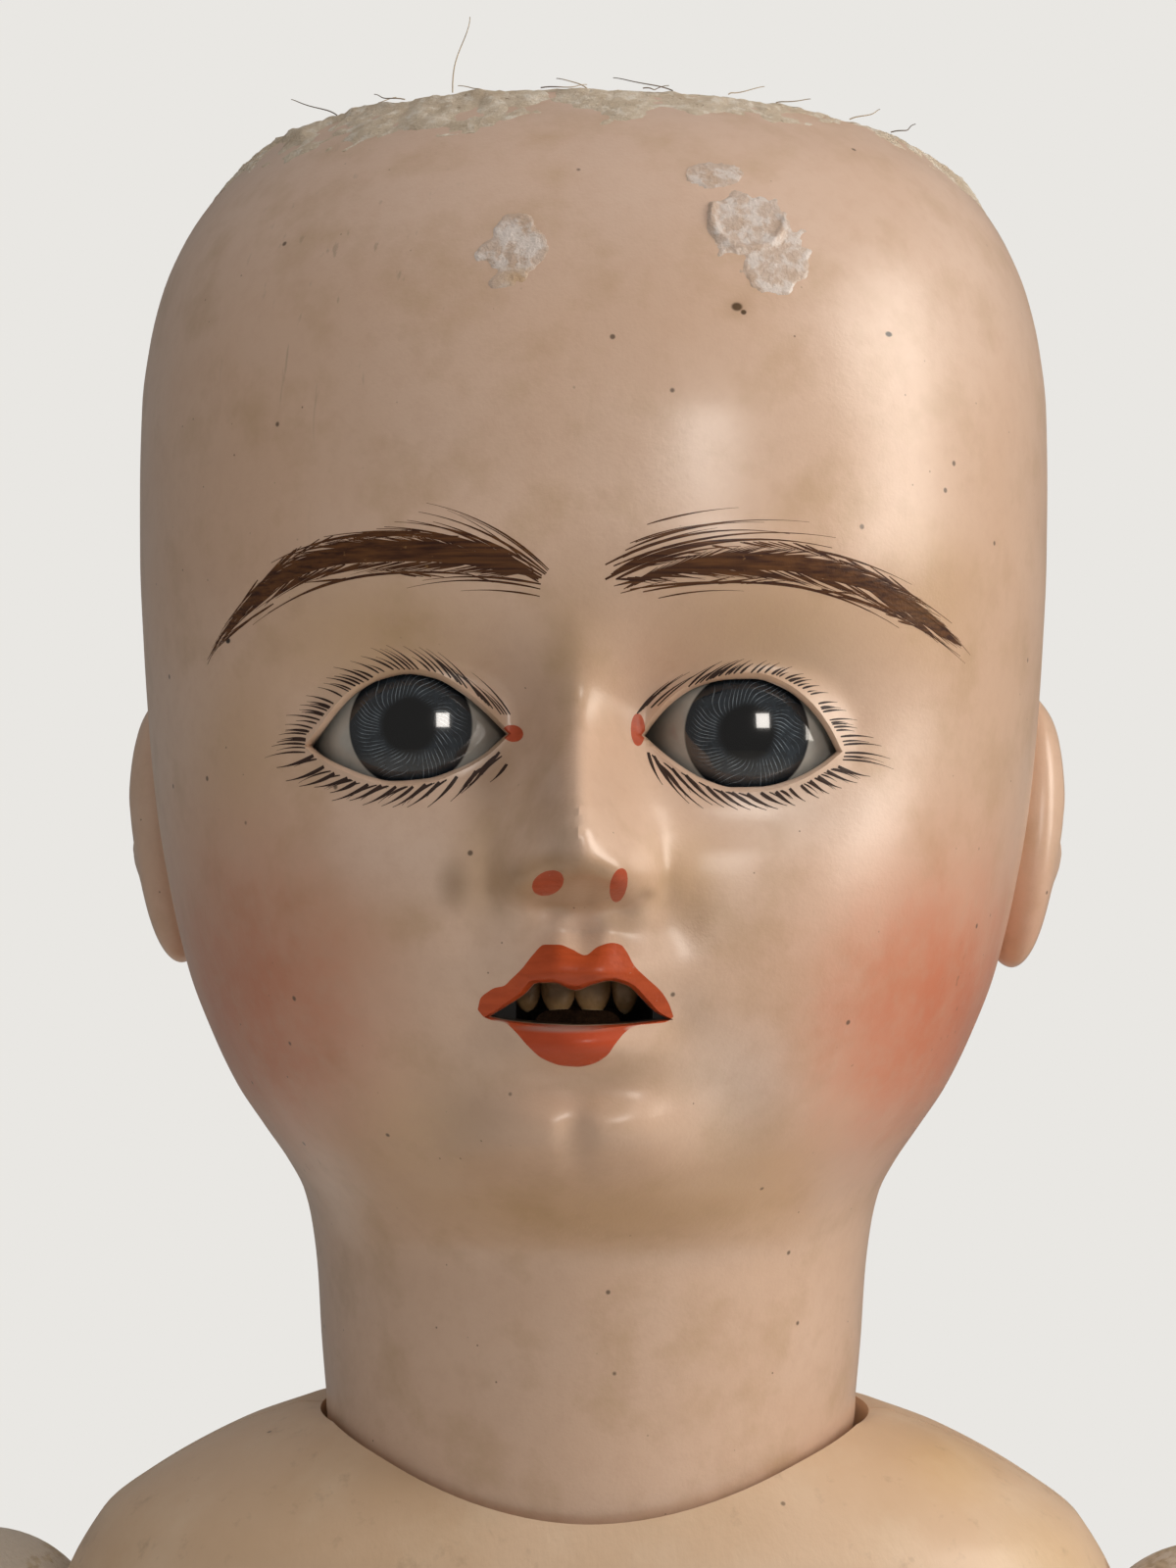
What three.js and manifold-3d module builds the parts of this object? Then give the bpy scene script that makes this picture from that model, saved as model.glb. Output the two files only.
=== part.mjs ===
// A ball-jointed doll: a hollow bisque socket head with sleeping glass eyes, strung with elastic
// on a torso of pressed wood pulp and limbs of turned wood. Millimetres, +Z up, facing -Y, with
// the soles on z = 0. Left and right are the doll's own, so its left side is at +X.
import * as THREE from "three";
import { mergeVertices } from "three/addons/utils/BufferGeometryUtils.js";
import Module from "manifold-3d";

const wasm = await Module();
wasm.setup();

// Driving sizes
const head_width = 90;
const head_wall = 3.4;
const neck_diameter = 53;
const neck_hole_diameter = 15;
const eye_diameter = 21;
const eye_glass = 1.1;
const eye_clearance = 0.35;
const eyelid_thickness = 1.7;
const plaster_thickness = 2.6;
const tooth_width = 2.8;
const rocker_wire_diameter = 1.6;
const weight_drop = 25;
const weight_diameter = 13;
const weight_thickness = 6;

const torso_height = 180;
const torso_width = 108;
const torso_depth = 66;
const torso_wall = 4.2;
const cup_wall = 3.4;
const cup_hole_diameter = 30;
const button_thickness = 7;

const hip_height = 218;
const hip_spacing = 47;
const hip_ball_diameter = 34;
const thigh_length = 103;
const thigh_diameter = 41;
const knee_diameter = 28;
const knee_ball_diameter = 25.5;
const ankle_diameter = 20;
const foot_length = 57;
const foot_width = 23;
const foot_height = 25;

const shoulder_overhang = 9;
const arm_elastic_gap = 1.09;
const shoulder_setback = 6;
const shoulder_ball_diameter = 26;
const upper_arm_length = 68;
const upper_arm_diameter = 30;
const elbow_diameter = 21.6;
const elbow_ball_diameter = 19.6;
const forearm_length = 58;
const wrist_diameter = 16.4;
const wrist_ball_diameter = 12.6;
const hand_length = 41;
const hand_width = 17;
const hand_thickness = 8.4;
const arm_splay = THREE.MathUtils.degToRad(5);

const elastic_diameter = 3;
const elastic_bore = 5.4;
const hook_wire_diameter = 2;
const running_gap = 0.3;
const ball_gap = 0.1;
const cut_overrun = 2;
const reach = 400;

// Tessellation counts
const ball_sides = 12;
const ball_rings = 7;
const limb_sides = 12;
const strand_sides = 5;

const head_half = head_width / 2;
const neck_radius = neck_diameter / 2;
const eye_radius = eye_diameter / 2;
const elastic_radius = elastic_diameter / 2;
const hook_wire_radius = hook_wire_diameter / 2;

// Materials
const bisque = new THREE.MeshStandardMaterial({ color: "#d8bfb0", roughness: 0.42 });
const tooth_porcelain = new THREE.MeshStandardMaterial({ color: "#cdbd92", roughness: 0.35 });
const glass = new THREE.MeshStandardMaterial({ color: "#8f9aa3", roughness: 0.08 });
const plaster = new THREE.MeshStandardMaterial({ color: "#e2d8c6", roughness: 0.9 });
const cork = new THREE.MeshStandardMaterial({ color: "#a47d50", roughness: 0.9 });
const steel = new THREE.MeshStandardMaterial({ color: "#77726b", roughness: 0.5, metalness: 0.9 });
const lead = new THREE.MeshStandardMaterial({ color: "#5f6166", roughness: 0.6, metalness: 0.8 });
const bare_wood = new THREE.MeshStandardMaterial({ color: "#b08a5c", roughness: 0.7 });
const painted_pulp = new THREE.MeshStandardMaterial({ color: "#d6b894", roughness: 0.4 });
const painted_wood = new THREE.MeshStandardMaterial({ color: "#d8b693", roughness: 0.42 });
const rubber = new THREE.MeshStandardMaterial({ color: "#cfc6b4", roughness: 0.8 });

// Solids from three.js geometry, and back
function solidOf(geometry) {
  const bare = geometry.clone();
  for (const name of ["normal", "uv"]) bare.deleteAttribute(name);
  const merged = mergeVertices(bare, 1e-4);
  return new wasm.Manifold(
    new wasm.Mesh({
      numProp: 3,
      vertProperties: merged.attributes.position.array,
      triVerts: new Uint32Array(merged.index.array),
    }),
  );
}

function geometryOf(solid) {
  const mesh = solid.getMesh();
  const points = new Float32Array(mesh.numVert * 3);
  for (let i = 0; i < mesh.numVert; i++) {
    points.set(mesh.vertProperties.subarray(i * mesh.numProp, i * mesh.numProp + 3), i * 3);
  }
  const geometry = new THREE.BufferGeometry();
  geometry.setAttribute("position", new THREE.BufferAttribute(points, 3));
  geometry.setIndex(new THREE.BufferAttribute(mesh.triVerts, 1));
  geometry.computeVertexNormals();
  return geometry;
}

const joined = (first, ...others) => others.reduce((whole, piece) => whole.add(piece), first);
const cut = (first, ...others) => others.reduce((whole, piece) => whole.subtract(piece), first);

// A closed skin over a stack of rings, each ring a list of points going round the same way
function skinOf(rings) {
  const sides = rings[0].length;
  const points = rings.flat();
  const faces = [];
  for (let k = 0; k + 1 < rings.length; k++) {
    for (let i = 0; i < sides; i++) {
      const a = k * sides + i;
      const b = k * sides + ((i + 1) % sides);
      faces.push(a, b, b + sides, a, b + sides, a + sides);
    }
  }
  for (const [k, flip] of [
    [0, true],
    [rings.length - 1, false],
  ]) {
    const centre = new THREE.Vector3();
    rings[k].forEach((p) => centre.addScaledVector(p, 1 / sides));
    points.push(centre);
    for (let i = 0; i < sides; i++) {
      const a = k * sides + i;
      const b = k * sides + ((i + 1) % sides);
      faces.push(...(flip ? [b, a, points.length - 1] : [a, b, points.length - 1]));
    }
  }
  const geometry = new THREE.BufferGeometry().setFromPoints(points);
  geometry.setIndex(faces);
  const solid = solidOf(geometry);
  if (solid.volume() > 0) return solid;
  geometry.setIndex(faces.map((_, i) => faces[i - (i % 3) + [0, 2, 1][i % 3]]));
  return solidOf(geometry);
}

const towards = (value, power) => Math.sign(value) * Math.abs(value) ** power;

// One level ring: half-width across, reach to the front and to the back, and squareness
function ringAt(level, across, front, back, squareness, sides, setback = 0) {
  const points = [];
  for (let i = 0; i < sides; i++) {
    const turn = (i / sides) * 2 * Math.PI;
    const x = across * towards(Math.sin(turn), 2 / squareness);
    const depth = towards(Math.cos(turn), 2 / squareness);
    points.push(new THREE.Vector3(x, setback - depth * (depth > 0 ? front : back), level));
  }
  return points;
}

// A limb that hangs from its joint's centre and starts in a dome round it. Rows of
// [drop as a share of the length, fullness from 0 at the end's radius to 1 at the start's,
// setback as a share of the start's radius]
function limb(shares, length, startRadius, endRadius) {
  const rings = [];
  const radiusAt = (fullness) => endRadius + fullness * (startRadius - endRadius);
  const domeRadius = radiusAt(shares[0][1]);
  for (const lift of [75, 48, 24]) {
    const angle = THREE.MathUtils.degToRad(lift);
    const r = domeRadius * Math.cos(angle);
    rings.push(ringAt(domeRadius * Math.sin(angle), r, r, r, 2, limb_sides));
  }
  for (const [drop, fullness, setback] of shares) {
    const r = radiusAt(fullness);
    rings.push(ringAt(-drop * length, r, r, r, 2, limb_sides, setback * startRadius));
  }
  return skinOf(rings);
}

// A ball, turned half a facet so that its corners meet the flats of its socket
function ball(radius, across = ball_sides, rings = ball_rings) {
  return solidOf(new THREE.SphereGeometry(radius, across, rings).rotateY(Math.PI / across));
}

// A sphere whose flats, not its corners, lie clear of a ball of that radius
function socketBall(radius, centre = [0, 0, 0], sides = ball_sides, rings = ball_rings, gap = ball_gap) {
  const flats = Math.cos(Math.PI / sides) * Math.cos(Math.PI / (2 * rings));
  const clear = (radius + gap) / flats;
  return solidOf(new THREE.SphereGeometry(clear, sides, rings).translate(...centre));
}

function rod(radius, from, to, sides = strand_sides) {
  const start = new THREE.Vector3(...from);
  const along = new THREE.Vector3(...to).sub(start);
  const geometry = new THREE.CylinderGeometry(radius, radius, along.length(), sides);
  const up = new THREE.Vector3(0, 1, 0);
  const turn = new THREE.Quaternion().setFromUnitVectors(up, along.clone().normalize());
  geometry.applyQuaternion(turn);
  geometry.translate(...start.addScaledVector(along, 0.5));
  return solidOf(geometry);
}

// Everything beyond the plane through a point, on the side that its normal points to
function beyond(point, normal) {
  const away = new THREE.Vector3(...normal).normalize();
  const turn = new THREE.Quaternion().setFromUnitVectors(new THREE.Vector3(0, 0, 1), away);
  const box = new THREE.BoxGeometry(reach, reach, reach).translate(0, 0, reach / 2);
  return solidOf(box.applyQuaternion(turn).translate(...point));
}

// A slot from a ball's centre outwards, swept from one direction to another in their plane,
// for the elastic to swing in
function slotFan(radius, width, fromDirection, toDirection, sweep) {
  const half = width / 2;
  const steps = 5;
  const one = new THREE.Vector3(...fromDirection).normalize();
  const three = one.clone().cross(new THREE.Vector3(...toDirection)).normalize();
  const two = three.clone().cross(one);
  const place = (angle, distance, aside) => [
    distance * Math.cos(angle) - aside * Math.sin(angle),
    distance * Math.sin(angle) + aside * Math.cos(angle),
  ];
  const fan = new THREE.Shape();
  fan.moveTo(...place(0, -half, -half));
  fan.lineTo(...place(0, radius + cut_overrun, -half));
  for (let i = 0; i <= steps; i++) {
    fan.lineTo(...place((sweep * i) / steps, radius + 2 * cut_overrun, 0));
  }
  fan.lineTo(...place(sweep, radius + cut_overrun, half));
  fan.lineTo(...place(sweep, -half, half));
  const geometry = new THREE.ExtrudeGeometry(fan, { depth: width, bevelEnabled: false });
  geometry.translate(0, 0, -half);
  return solidOf(geometry.applyMatrix4(new THREE.Matrix4().makeBasis(one, two, three)));
}

// A wire or cord of round section along a smooth curve
function wireAlong(points, diameter, steps = 16, sides = strand_sides) {
  const curve = new THREE.CatmullRomCurve3(points.map((p) => new THREE.Vector3(...p)));
  const outline = [];
  for (let i = 0; i < sides; i++) {
    const turn = (i / sides) * 2 * Math.PI;
    outline.push(new THREE.Vector2(Math.cos(turn), Math.sin(turn)).multiplyScalar(diameter / 2));
  }
  const section = new THREE.Shape(outline);
  const geometry = new THREE.ExtrudeGeometry(section, { steps, extrudePath: curve, bevelEnabled: false });
  return solidOf(geometry);
}

// A stretch of elastic: a round knuckle turns in the joint where it ends, and its other end
// stops just short of the knuckle of the stretch before it
function elastic(knuckleAt, stopsAt) {
  const start = new THREE.Vector3(...knuckleAt);
  const end = new THREE.Vector3(...stopsAt);
  const along = end.clone().sub(start).normalize();
  end.addScaledVector(along, -(elastic_radius + running_gap));
  const knuckle = new THREE.SphereGeometry(elastic_radius, strand_sides, 4).translate(...knuckleAt);
  return rod(elastic_radius, knuckleAt, end.toArray()).add(solidOf(knuckle));
}

// Smooth values between the rows of a table, by its first column
function smoothTable(rows) {
  const levels = rows.map((row) => row[0]);
  const count = rows.length;
  const columns = rows[0].slice(1).map((_, c) => {
    const values = rows.map((row) => row[c + 1]);
    const slopes = levels.slice(1).map((x, i) => (values[i + 1] - values[i]) / (x - levels[i]));
    const tangents = values.map((_, i) => {
      if (i === 0) return slopes[0];
      if (i === count - 1) return slopes[count - 2];
      const [before, after] = [slopes[i - 1], slopes[i]];
      return before * after <= 0 ? 0 : (2 * before * after) / (before + after);
    });
    return { values, tangents };
  });
  return (level) => {
    const x = Math.min(Math.max(level, levels[0]), levels[count - 1]);
    let i = 0;
    while (i < count - 2 && x > levels[i + 1]) i++;
    const width = levels[i + 1] - levels[i];
    const t = (x - levels[i]) / width;
    const [t2, t3] = [t * t, t * t * t];
    return columns.map(
      ({ values, tangents }) =>
        (2 * t3 - 3 * t2 + 1) * values[i] +
        (t3 - 2 * t2 + t) * width * tangents[i] +
        (3 * t2 - 2 * t3) * values[i + 1] +
        (t3 - t2) * width * tangents[i + 1],
    );
  };
}

const smoothStep = (low, high, value) => {
  const t = Math.min(Math.max((value - low) / (high - low), 0), 1);
  return t * t * (3 - 2 * t);
};

// Stations between two ends, packed closer where the weight is high
function packed(from, to, count, weight) {
  const samples = 400;
  const sums = [0];
  for (let i = 0; i < samples; i++) {
    sums.push(sums[i] + weight(from + ((to - from) * (i + 0.5)) / samples));
  }
  const stations = [];
  let i = 0;
  for (let k = 0; k <= count; k++) {
    const target = (sums[samples] * k) / count;
    while (i < samples - 1 && sums[i + 1] < target) i++;
    const part = (target - sums[i]) / (sums[i + 1] - sums[i]);
    stations.push(from + ((to - from) * (i + Math.min(Math.max(part, 0), 1))) / samples);
  }
  return stations;
}

// The head's tables are shares of half its width, and its level 0 is just below the eyes.
// Neck rows: [level, then half-width, front and back as shares of the neck's radius, squareness]
const neck_shares = [
  [-1.333, 1, 1, 1, 2],
  [-1.2, 1.02, 1.026, 1.02, 2],
  [-1.067, 1.034, 1.064, 1.034, 2],
];
// Head rows: [level, half-width, front, back, squareness]
const head_shares = [
  [-0.956, 0.622, 0.667, 0.62, 2.03],
  [-0.878, 0.64, 0.724, 0.633, 2.06],
  [-0.811, 0.673, 0.8, 0.653, 2.1],
  [-0.733, 0.724, 0.876, 0.68, 2.15],
  [-0.644, 0.782, 0.924, 0.724, 2.2],
  [-0.533, 0.836, 0.96, 0.796, 2.22],
  [-0.4, 0.887, 0.984, 0.889, 2.25],
  [-0.222, 0.931, 1.004, 1.011, 2.25],
  [-0.044, 0.962, 1.022, 1.102, 2.25],
  [0.133, 0.98, 1.049, 1.16, 2.25],
  [0.311, 0.991, 1.084, 1.196, 2.27],
  [0.489, 0.998, 1.109, 1.209, 2.3],
  [0.667, 1, 1.109, 1.2, 2.3],
  [0.822, 0.998, 1.089, 1.173, 2.3],
  [0.956, 0.984, 1.049, 1.129, 2.3],
  [1.067, 0.96, 1, 1.067, 2.3],
  [1.178, 0.918, 0.924, 0.978, 2.28],
  [1.267, 0.867, 0.844, 0.889, 2.25],
  [1.333, 0.818, 0.767, 0.811, 2.2],
  [1.4, 0.756, 0.667, 0.711, 2.2],
  [1.467, 0.678, 0.589, 0.6, 2.2],
];
// Soft swellings and hollows of the face: [aside, level, spread across, spread up, rise].
// The first two are the eye hollows, which the inside follows.
const face_shares = [
  [0.278, 0.133, 0.244, 0.167, -0.102],
  [0.151, 0.115, 0.093, 0.122, -0.058],
  [0.467, -0.289, 0.267, 0.244, 0.036],
  [0, -0.411, 0.244, 0.167, 0.053],
  [0, -0.347, 0.122, 0.044, 0.036],
  [0, -0.496, 0.116, 0.044, 0.042],
  [0, -0.591, 0.178, 0.049, -0.022],
  [0, -0.693, 0.167, 0.098, 0.08],
  [0, -0.702, 0.031, 0.053, -0.011],
  [0, -0.28, 0.024, 0.042, -0.011],
  [0.111, -0.169, 0.06, 0.064, 0.08],
  [0.356, 0.378, 0.267, 0.111, 0.018],
];
// The nose: [level, height of its ridge, half-width of its ridge]
const nose_shares = [
  [-0.278, 0, 0.1],
  [-0.236, 0.036, 0.104],
  [-0.204, 0.102, 0.107],
  [-0.173, 0.173, 0.107],
  [-0.138, 0.218, 0.104],
  [-0.1, 0.231, 0.1],
  [-0.056, 0.207, 0.091],
  [0, 0.156, 0.08],
  [0.067, 0.102, 0.073],
  [0.133, 0.058, 0.071],
  [0.2, 0.027, 0.067],
  [0.267, 0.009, 0.067],
  [0.333, 0, 0.067],
];
const eye_place_shares = { aside: 0.319, depth: 0.711, level: 0.093 };
const eye_opening_shares = { half_width: 0.182, half_height: 0.102 };
const mouth_shares = { level: -0.436, half_width: 0.167, arch: 0.064, sag: 0.014, depth: 0.85 };
const crown_shares = { level: 1.3, slope: 0.2 };
// The ear: its centre, its half-sizes and those of its dish and its inner hollow, and its flare
const ear_place_shares = { aside: 0.96, back: 0.15, level: -0.13 };
const ear_size_shares = [0.09, 0.185, 0.32];
const ear_dish_shares = [0.07, 0.125, 0.235];
const ear_hollow_shares = [0.08, 0.075, 0.115];
const ear_flare = THREE.MathUtils.degToRad(17);

const headProfile = smoothTable([
  ...neck_shares.map(([level, across, front, back, squareness]) => [
    level,
    (across * neck_radius) / head_half,
    (front * neck_radius) / head_half,
    (back * neck_radius) / head_half,
    squareness,
  ]),
  ...head_shares,
]);
const noseProfile = smoothTable(nose_shares);
const neck_level = neck_shares[0][0] * head_half;
const eye_centre = [
  eye_place_shares.aside * head_half,
  -eye_place_shares.depth * head_half,
  eye_place_shares.level * head_half,
];
const eyeAt = (side) => [side * eye_centre[0], eye_centre[1], eye_centre[2]];

const pairedBump = (x, z, [aside, level, across, up, rise]) =>
  rise * Math.exp(-(((Math.abs(x) - aside) / across) ** 2) - ((z - level) / up) ** 2);

// How far the face stands out in front of the plain egg of the head
function faceRelief(x, z) {
  const [ridge, width] = noseProfile(z);
  const nose = ridge * Math.exp(-((Math.abs(x) / width) ** 2.2));
  return face_shares.reduce((sum, shares) => sum + pairedBump(x, z, shares), nose);
}

// The eyelids swell over the eyeball: the larger of two depths, with a soft join
function overEyelid(depth, x, z) {
  const lid = (eye_radius + eyelid_thickness) / head_half;
  const aside = Math.abs(x) - eye_place_shares.aside;
  const inside = lid * lid - aside * aside - (z - eye_place_shares.level) ** 2;
  if (inside <= 0) return depth;
  const bulge = eye_place_shares.depth + Math.sqrt(inside);
  const blend = 0.03;
  const h = Math.max(blend - Math.abs(depth - bulge), 0) / blend;
  return Math.max(depth, bulge) + (h * h * blend) / 4;
}

// A point of the head by its turn round the head, 0 at the front, and its level; a wall other
// than 0 gives the inside, which has no nose, lips or ears
function headPoint(turn, level, wall) {
  const z = level / head_half;
  const [across, front, back, squareness] = headProfile(z);
  const thin = wall / head_half;
  const [sine, cosine] = [Math.sin(turn), Math.cos(turn)];
  const x = (across - thin) * towards(sine, 2 / squareness);
  const plain = towards(cosine, 2 / squareness);
  let y = -(back - thin) * plain;
  if (plain > 0) {
    const face = smoothStep(0.12, 0.42, cosine);
    const hollows = face_shares.slice(0, 2).reduce((sum, shares) => sum + pairedBump(x, z, shares), 0);
    const relief = wall === 0 ? faceRelief(x, z) : hollows;
    y = -((front - thin) * plain + face * relief);
    if (wall === 0) y = -overEyelid(-y, x, z);
  }
  return new THREE.Vector3(x * head_half, y * head_half, level);
}

// The head's skin, from the hole in its round neck end up to its crown
function headSkin(turnCount, levelCount, wall) {
  const atFace = (t) => 2.6 * Math.exp(-((t / 0.62) ** 2));
  const turns = packed(-Math.PI, Math.PI, turnCount, (t) => 1 + atFace(t)).slice(0, -1);
  const high = head_shares[head_shares.length - 1][0] * head_half;
  const levels = packed(neck_level, high, levelCount, (level) => {
    const z = level / head_half;
    return 1 + 2.2 * smoothStep(-0.95, -0.7, z) * smoothStep(0.6, 0.35, z);
  });
  const radius = neck_radius - wall;
  const hole = Math.asin(neck_hole_diameter / 2 / radius);
  const ballSteps = 4;
  const rings = [];
  for (let k = 0; k < ballSteps; k++) {
    const angle = hole + ((Math.PI / 2 - hole) * k) / ballSteps;
    const r = radius * Math.sin(angle);
    const level = neck_level - radius * Math.cos(angle);
    rings.push(turns.map((t) => new THREE.Vector3(r * Math.sin(t), -r * Math.cos(t), level)));
  }
  for (const level of levels) rings.push(turns.map((t) => headPoint(t, level, wall)));
  return skinOf(rings);
}

// A prism through the face, from an outline of [across, level] points
function throughFace(outline, shallow, deep) {
  const shape = new THREE.Shape(outline.map(([x, z]) => new THREE.Vector2(x, z)));
  const geometry = new THREE.ExtrudeGeometry(shape, { depth: deep - shallow, bevelEnabled: false });
  return solidOf(geometry.rotateX(Math.PI / 2).translate(0, -shallow, 0));
}

// An opening between two arcs that meet at its corners
function lens(centre, halfWidth, below, above, steps) {
  const outline = [];
  for (let i = 0; i < steps; i++) {
    const x = -1 + (2 * i) / steps;
    outline.push([x, -below * (1 - x * x) ** 0.85]);
  }
  for (let i = 0; i < steps; i++) {
    const x = 1 - (2 * i) / steps;
    outline.push([x, above * (1 - x * x) ** 0.75]);
  }
  return outline.map(([x, z]) => [centre[0] + x * halfWidth, centre[1] + z]);
}

// An ear: a flattened egg that flares out to the back, with a dish inside its rim
function ear(side) {
  const { aside, back, level } = ear_place_shares;
  const egg = ([thick, wide, high], out, along, up) => {
    const geometry = new THREE.SphereGeometry(head_half, 10, 8).scale(thick, wide, high);
    geometry.rotateX(-ear_flare / 2).rotateZ(side * ear_flare);
    const x = side * (aside + out) * head_half;
    return solidOf(geometry.translate(x, (back + along) * head_half, (level + up) * head_half));
  };
  const [thick] = ear_size_shares;
  return cut(
    egg(ear_size_shares, 0, 0, 0),
    egg(ear_dish_shares, 1.1 * thick, 0.1 * thick, thick / 3),
    egg(ear_hollow_shares, 0.95 * thick, -0.4 * thick, -thick / 4),
  );
}

function headShell() {
  const floor = neck_level - neck_radius;
  const hole = rod(
    neck_hole_diameter / 2,
    [0, 0, floor - cut_overrun],
    [0, 0, floor + 3 * head_wall],
    limb_sides,
  );
  const crown = beyond([0, 0, crown_shares.level * head_half], [0, crown_shares.slope, 1]);
  const front = 1.4 * head_half;
  const eyes = [-1, 1].flatMap((side) => {
    const centre = eyeAt(side);
    const { half_width, half_height } = eye_opening_shares;
    const [halfWidth, halfHeight] = [half_width * head_half, half_height * head_half];
    return [
      socketBall(eye_radius, centre, 14, 9, eye_clearance),
      throughFace(lens([centre[0], centre[2]], halfWidth, halfHeight, halfHeight, 7), -centre[1], front),
    ];
  });
  const { level, half_width, arch, sag, depth } = mouth_shares;
  const mouth = lens([0, level * head_half], half_width * head_half, sag * head_half, arch * head_half, 6);
  const inside = headSkin(16, 10, head_wall);
  const outside = joined(headSkin(38, 29, 0), ear(1), ear(-1));
  return cut(outside, inside, hole, crown, ...eyes, throughFace(mouth, depth * head_half, front));
}

const mouth_top = (mouth_shares.level + mouth_shares.arch) * head_half;
const tooth_depth = (mouth_shares.depth + 0.035) * head_half;

// Four upper teeth on one strip, glued behind the upper lip
function upperTeeth() {
  const strip = new THREE.BoxGeometry(4.6 * tooth_width, tooth_width, tooth_width);
  strip.translate(0, -tooth_depth + tooth_width / 2, mouth_top + 0.8 * tooth_width);
  const teeth = [-1.5, -0.5, 0.5, 1.5].map((place) => {
    const tooth = new THREE.SphereGeometry(tooth_width / 2, 6, 4).scale(0.97, 0.5, 1.9);
    const setback = 0.12 * Math.abs(place) * tooth_width;
    return solidOf(tooth.translate(place * tooth_width, -tooth_depth + setback, mouth_top));
  });
  const behindLip = headSkin(16, 10, head_wall + running_gap);
  return joined(solidOf(strip), ...teeth).intersect(behindLip);
}

// Sleeping eyes: blown-glass balls open at the back, where a plaster plug grips a bent wire
const plug_radius = eye_radius * 0.42;
const plug_back = Math.sqrt(eye_radius ** 2 - plug_radius ** 2);
const plug_length = eye_radius * 0.55;
const yoke_depth = eye_radius * 1.35;
const weight_depth = eye_radius * 0.75;

function glassEye(side) {
  const outer = new THREE.SphereGeometry(eye_radius, 14, 9).rotateX(Math.PI / 2);
  const inner = new THREE.SphereGeometry(eye_radius - eye_glass, 8, 6).rotateX(Math.PI / 2);
  const mouth = rod(plug_radius, [0, 0, 0], [0, eye_radius + cut_overrun, 0], limb_sides);
  const eye = cut(solidOf(outer), solidOf(inner), mouth);
  return solidOf(geometryOf(eye).translate(...eyeAt(side)));
}

function eyePlug(side) {
  const [aside, depth, level] = eyeAt(side);
  const from = [aside, depth + plug_back - plug_length, level];
  const to = [aside, depth + plug_back, level];
  const clear = rocker_wire_diameter / 2 + 1.5 * running_gap;
  const bore = rod(clear, [aside, from[1] - cut_overrun, level], [aside, to[1] + cut_overrun, level]);
  return rod(plug_radius - running_gap, from, to, limb_sides).subtract(bore);
}

// One wire bent from plug to plug, with a stem down to the weight
function rockerWire() {
  const [aside, depth, level] = eye_centre;
  const inPlug = depth + plug_back - plug_length / 2;
  const yoke = depth + yoke_depth;
  const corner = 2 * rocker_wire_diameter;
  const half = [
    [aside, inPlug, level],
    [aside, depth + plug_back + running_gap, level],
    [aside, yoke - corner, level],
    [aside - corner, yoke, level],
  ];
  const other = half.map(([x, y, z]) => [-x, y, z]).reverse();
  const bow = wireAlong([...half, [0, yoke, level], ...other], rocker_wire_diameter, 14);
  const stemEnd = level - weight_drop + weight_thickness / 2 + running_gap;
  const stem = wireAlong(
    [
      [0, yoke, level],
      [0, yoke, level - 0.4 * weight_drop],
      [0, depth + weight_depth, stemEnd + corner],
      [0, depth + weight_depth, stemEnd],
    ],
    rocker_wire_diameter,
    6,
  );
  return bow.add(stem);
}

// A lead slug that hangs ahead of balance, so the eyes stand open while the doll is upright
function eyeWeight() {
  const half = weight_thickness / 2;
  const radius = weight_diameter / 2;
  const chamfer = half / 3;
  const profile = [
    [0, -half],
    [radius - chamfer, -half],
    [radius, chamfer - half],
    [radius, half - chamfer],
    [radius - chamfer, half],
    [0, half],
  ].map(([r, h]) => new THREE.Vector2(r, h));
  const slug = new THREE.LatheGeometry(profile, limb_sides).rotateX(Math.PI / 2);
  return solidOf(slug.translate(0, eye_centre[1] + weight_depth, eye_centre[2] - weight_drop));
}

// Plaster run in behind each eye opening, hollowed to the ball so that the eye can turn in it
function eyePlaster(side) {
  const [aside, depth, level] = eyeAt(side);
  const outer = eye_radius + eye_clearance + plaster_thickness;
  const height = eye_radius * 0.62;
  const ring = new THREE.CylinderGeometry(outer, outer, height, 14).translate(aside, depth - height / 2, level);
  const pocket = socketBall(eye_radius, eyeAt(side), 12, 8, eye_clearance);
  const across = beyond([(side * running_gap) / 2, 0, 0], [-side, 0, 0]);
  const inside = headSkin(16, 10, head_wall + running_gap);
  return cut(solidOf(ring), pocket, across).intersect(inside);
}

// A cork block glued inside the chin stops the weight when the eyes are open
function eyeStop() {
  const front = eye_centre[1] + weight_depth - weight_diameter / 2 - running_gap;
  const height = 0.8 * weight_thickness;
  const length = head_half + front;
  const block = new THREE.BoxGeometry(weight_diameter * 0.6, length, height);
  block.translate(0, front - length / 2, eye_centre[2] - weight_drop - 0.3 * height);
  return solidOf(block).intersect(headSkin(16, 10, head_wall + running_gap));
}

// The neck's fittings: a wooden button inside the neck end, and a wire hook through it that
// carries the elastic of the legs
const button_radius = neck_radius - head_wall - 3 * running_gap;
const hook_bend = hook_wire_radius + elastic_radius + 1.3 * running_gap;
const hook_level = -(neck_radius + hook_bend / 6);
const button_top = -button_radius + button_thickness;
const hook_foot = hook_level - 2 * hook_bend;

function neckButton() {
  const round = solidOf(new THREE.SphereGeometry(button_radius, 16, 10));
  const bore = rod(hook_wire_radius + 2 * running_gap, [0, 0, -neck_radius], [0, 0, 0], 8);
  return cut(round, beyond([0, 0, button_top], [0, 0, 1]), bore);
}

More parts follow.
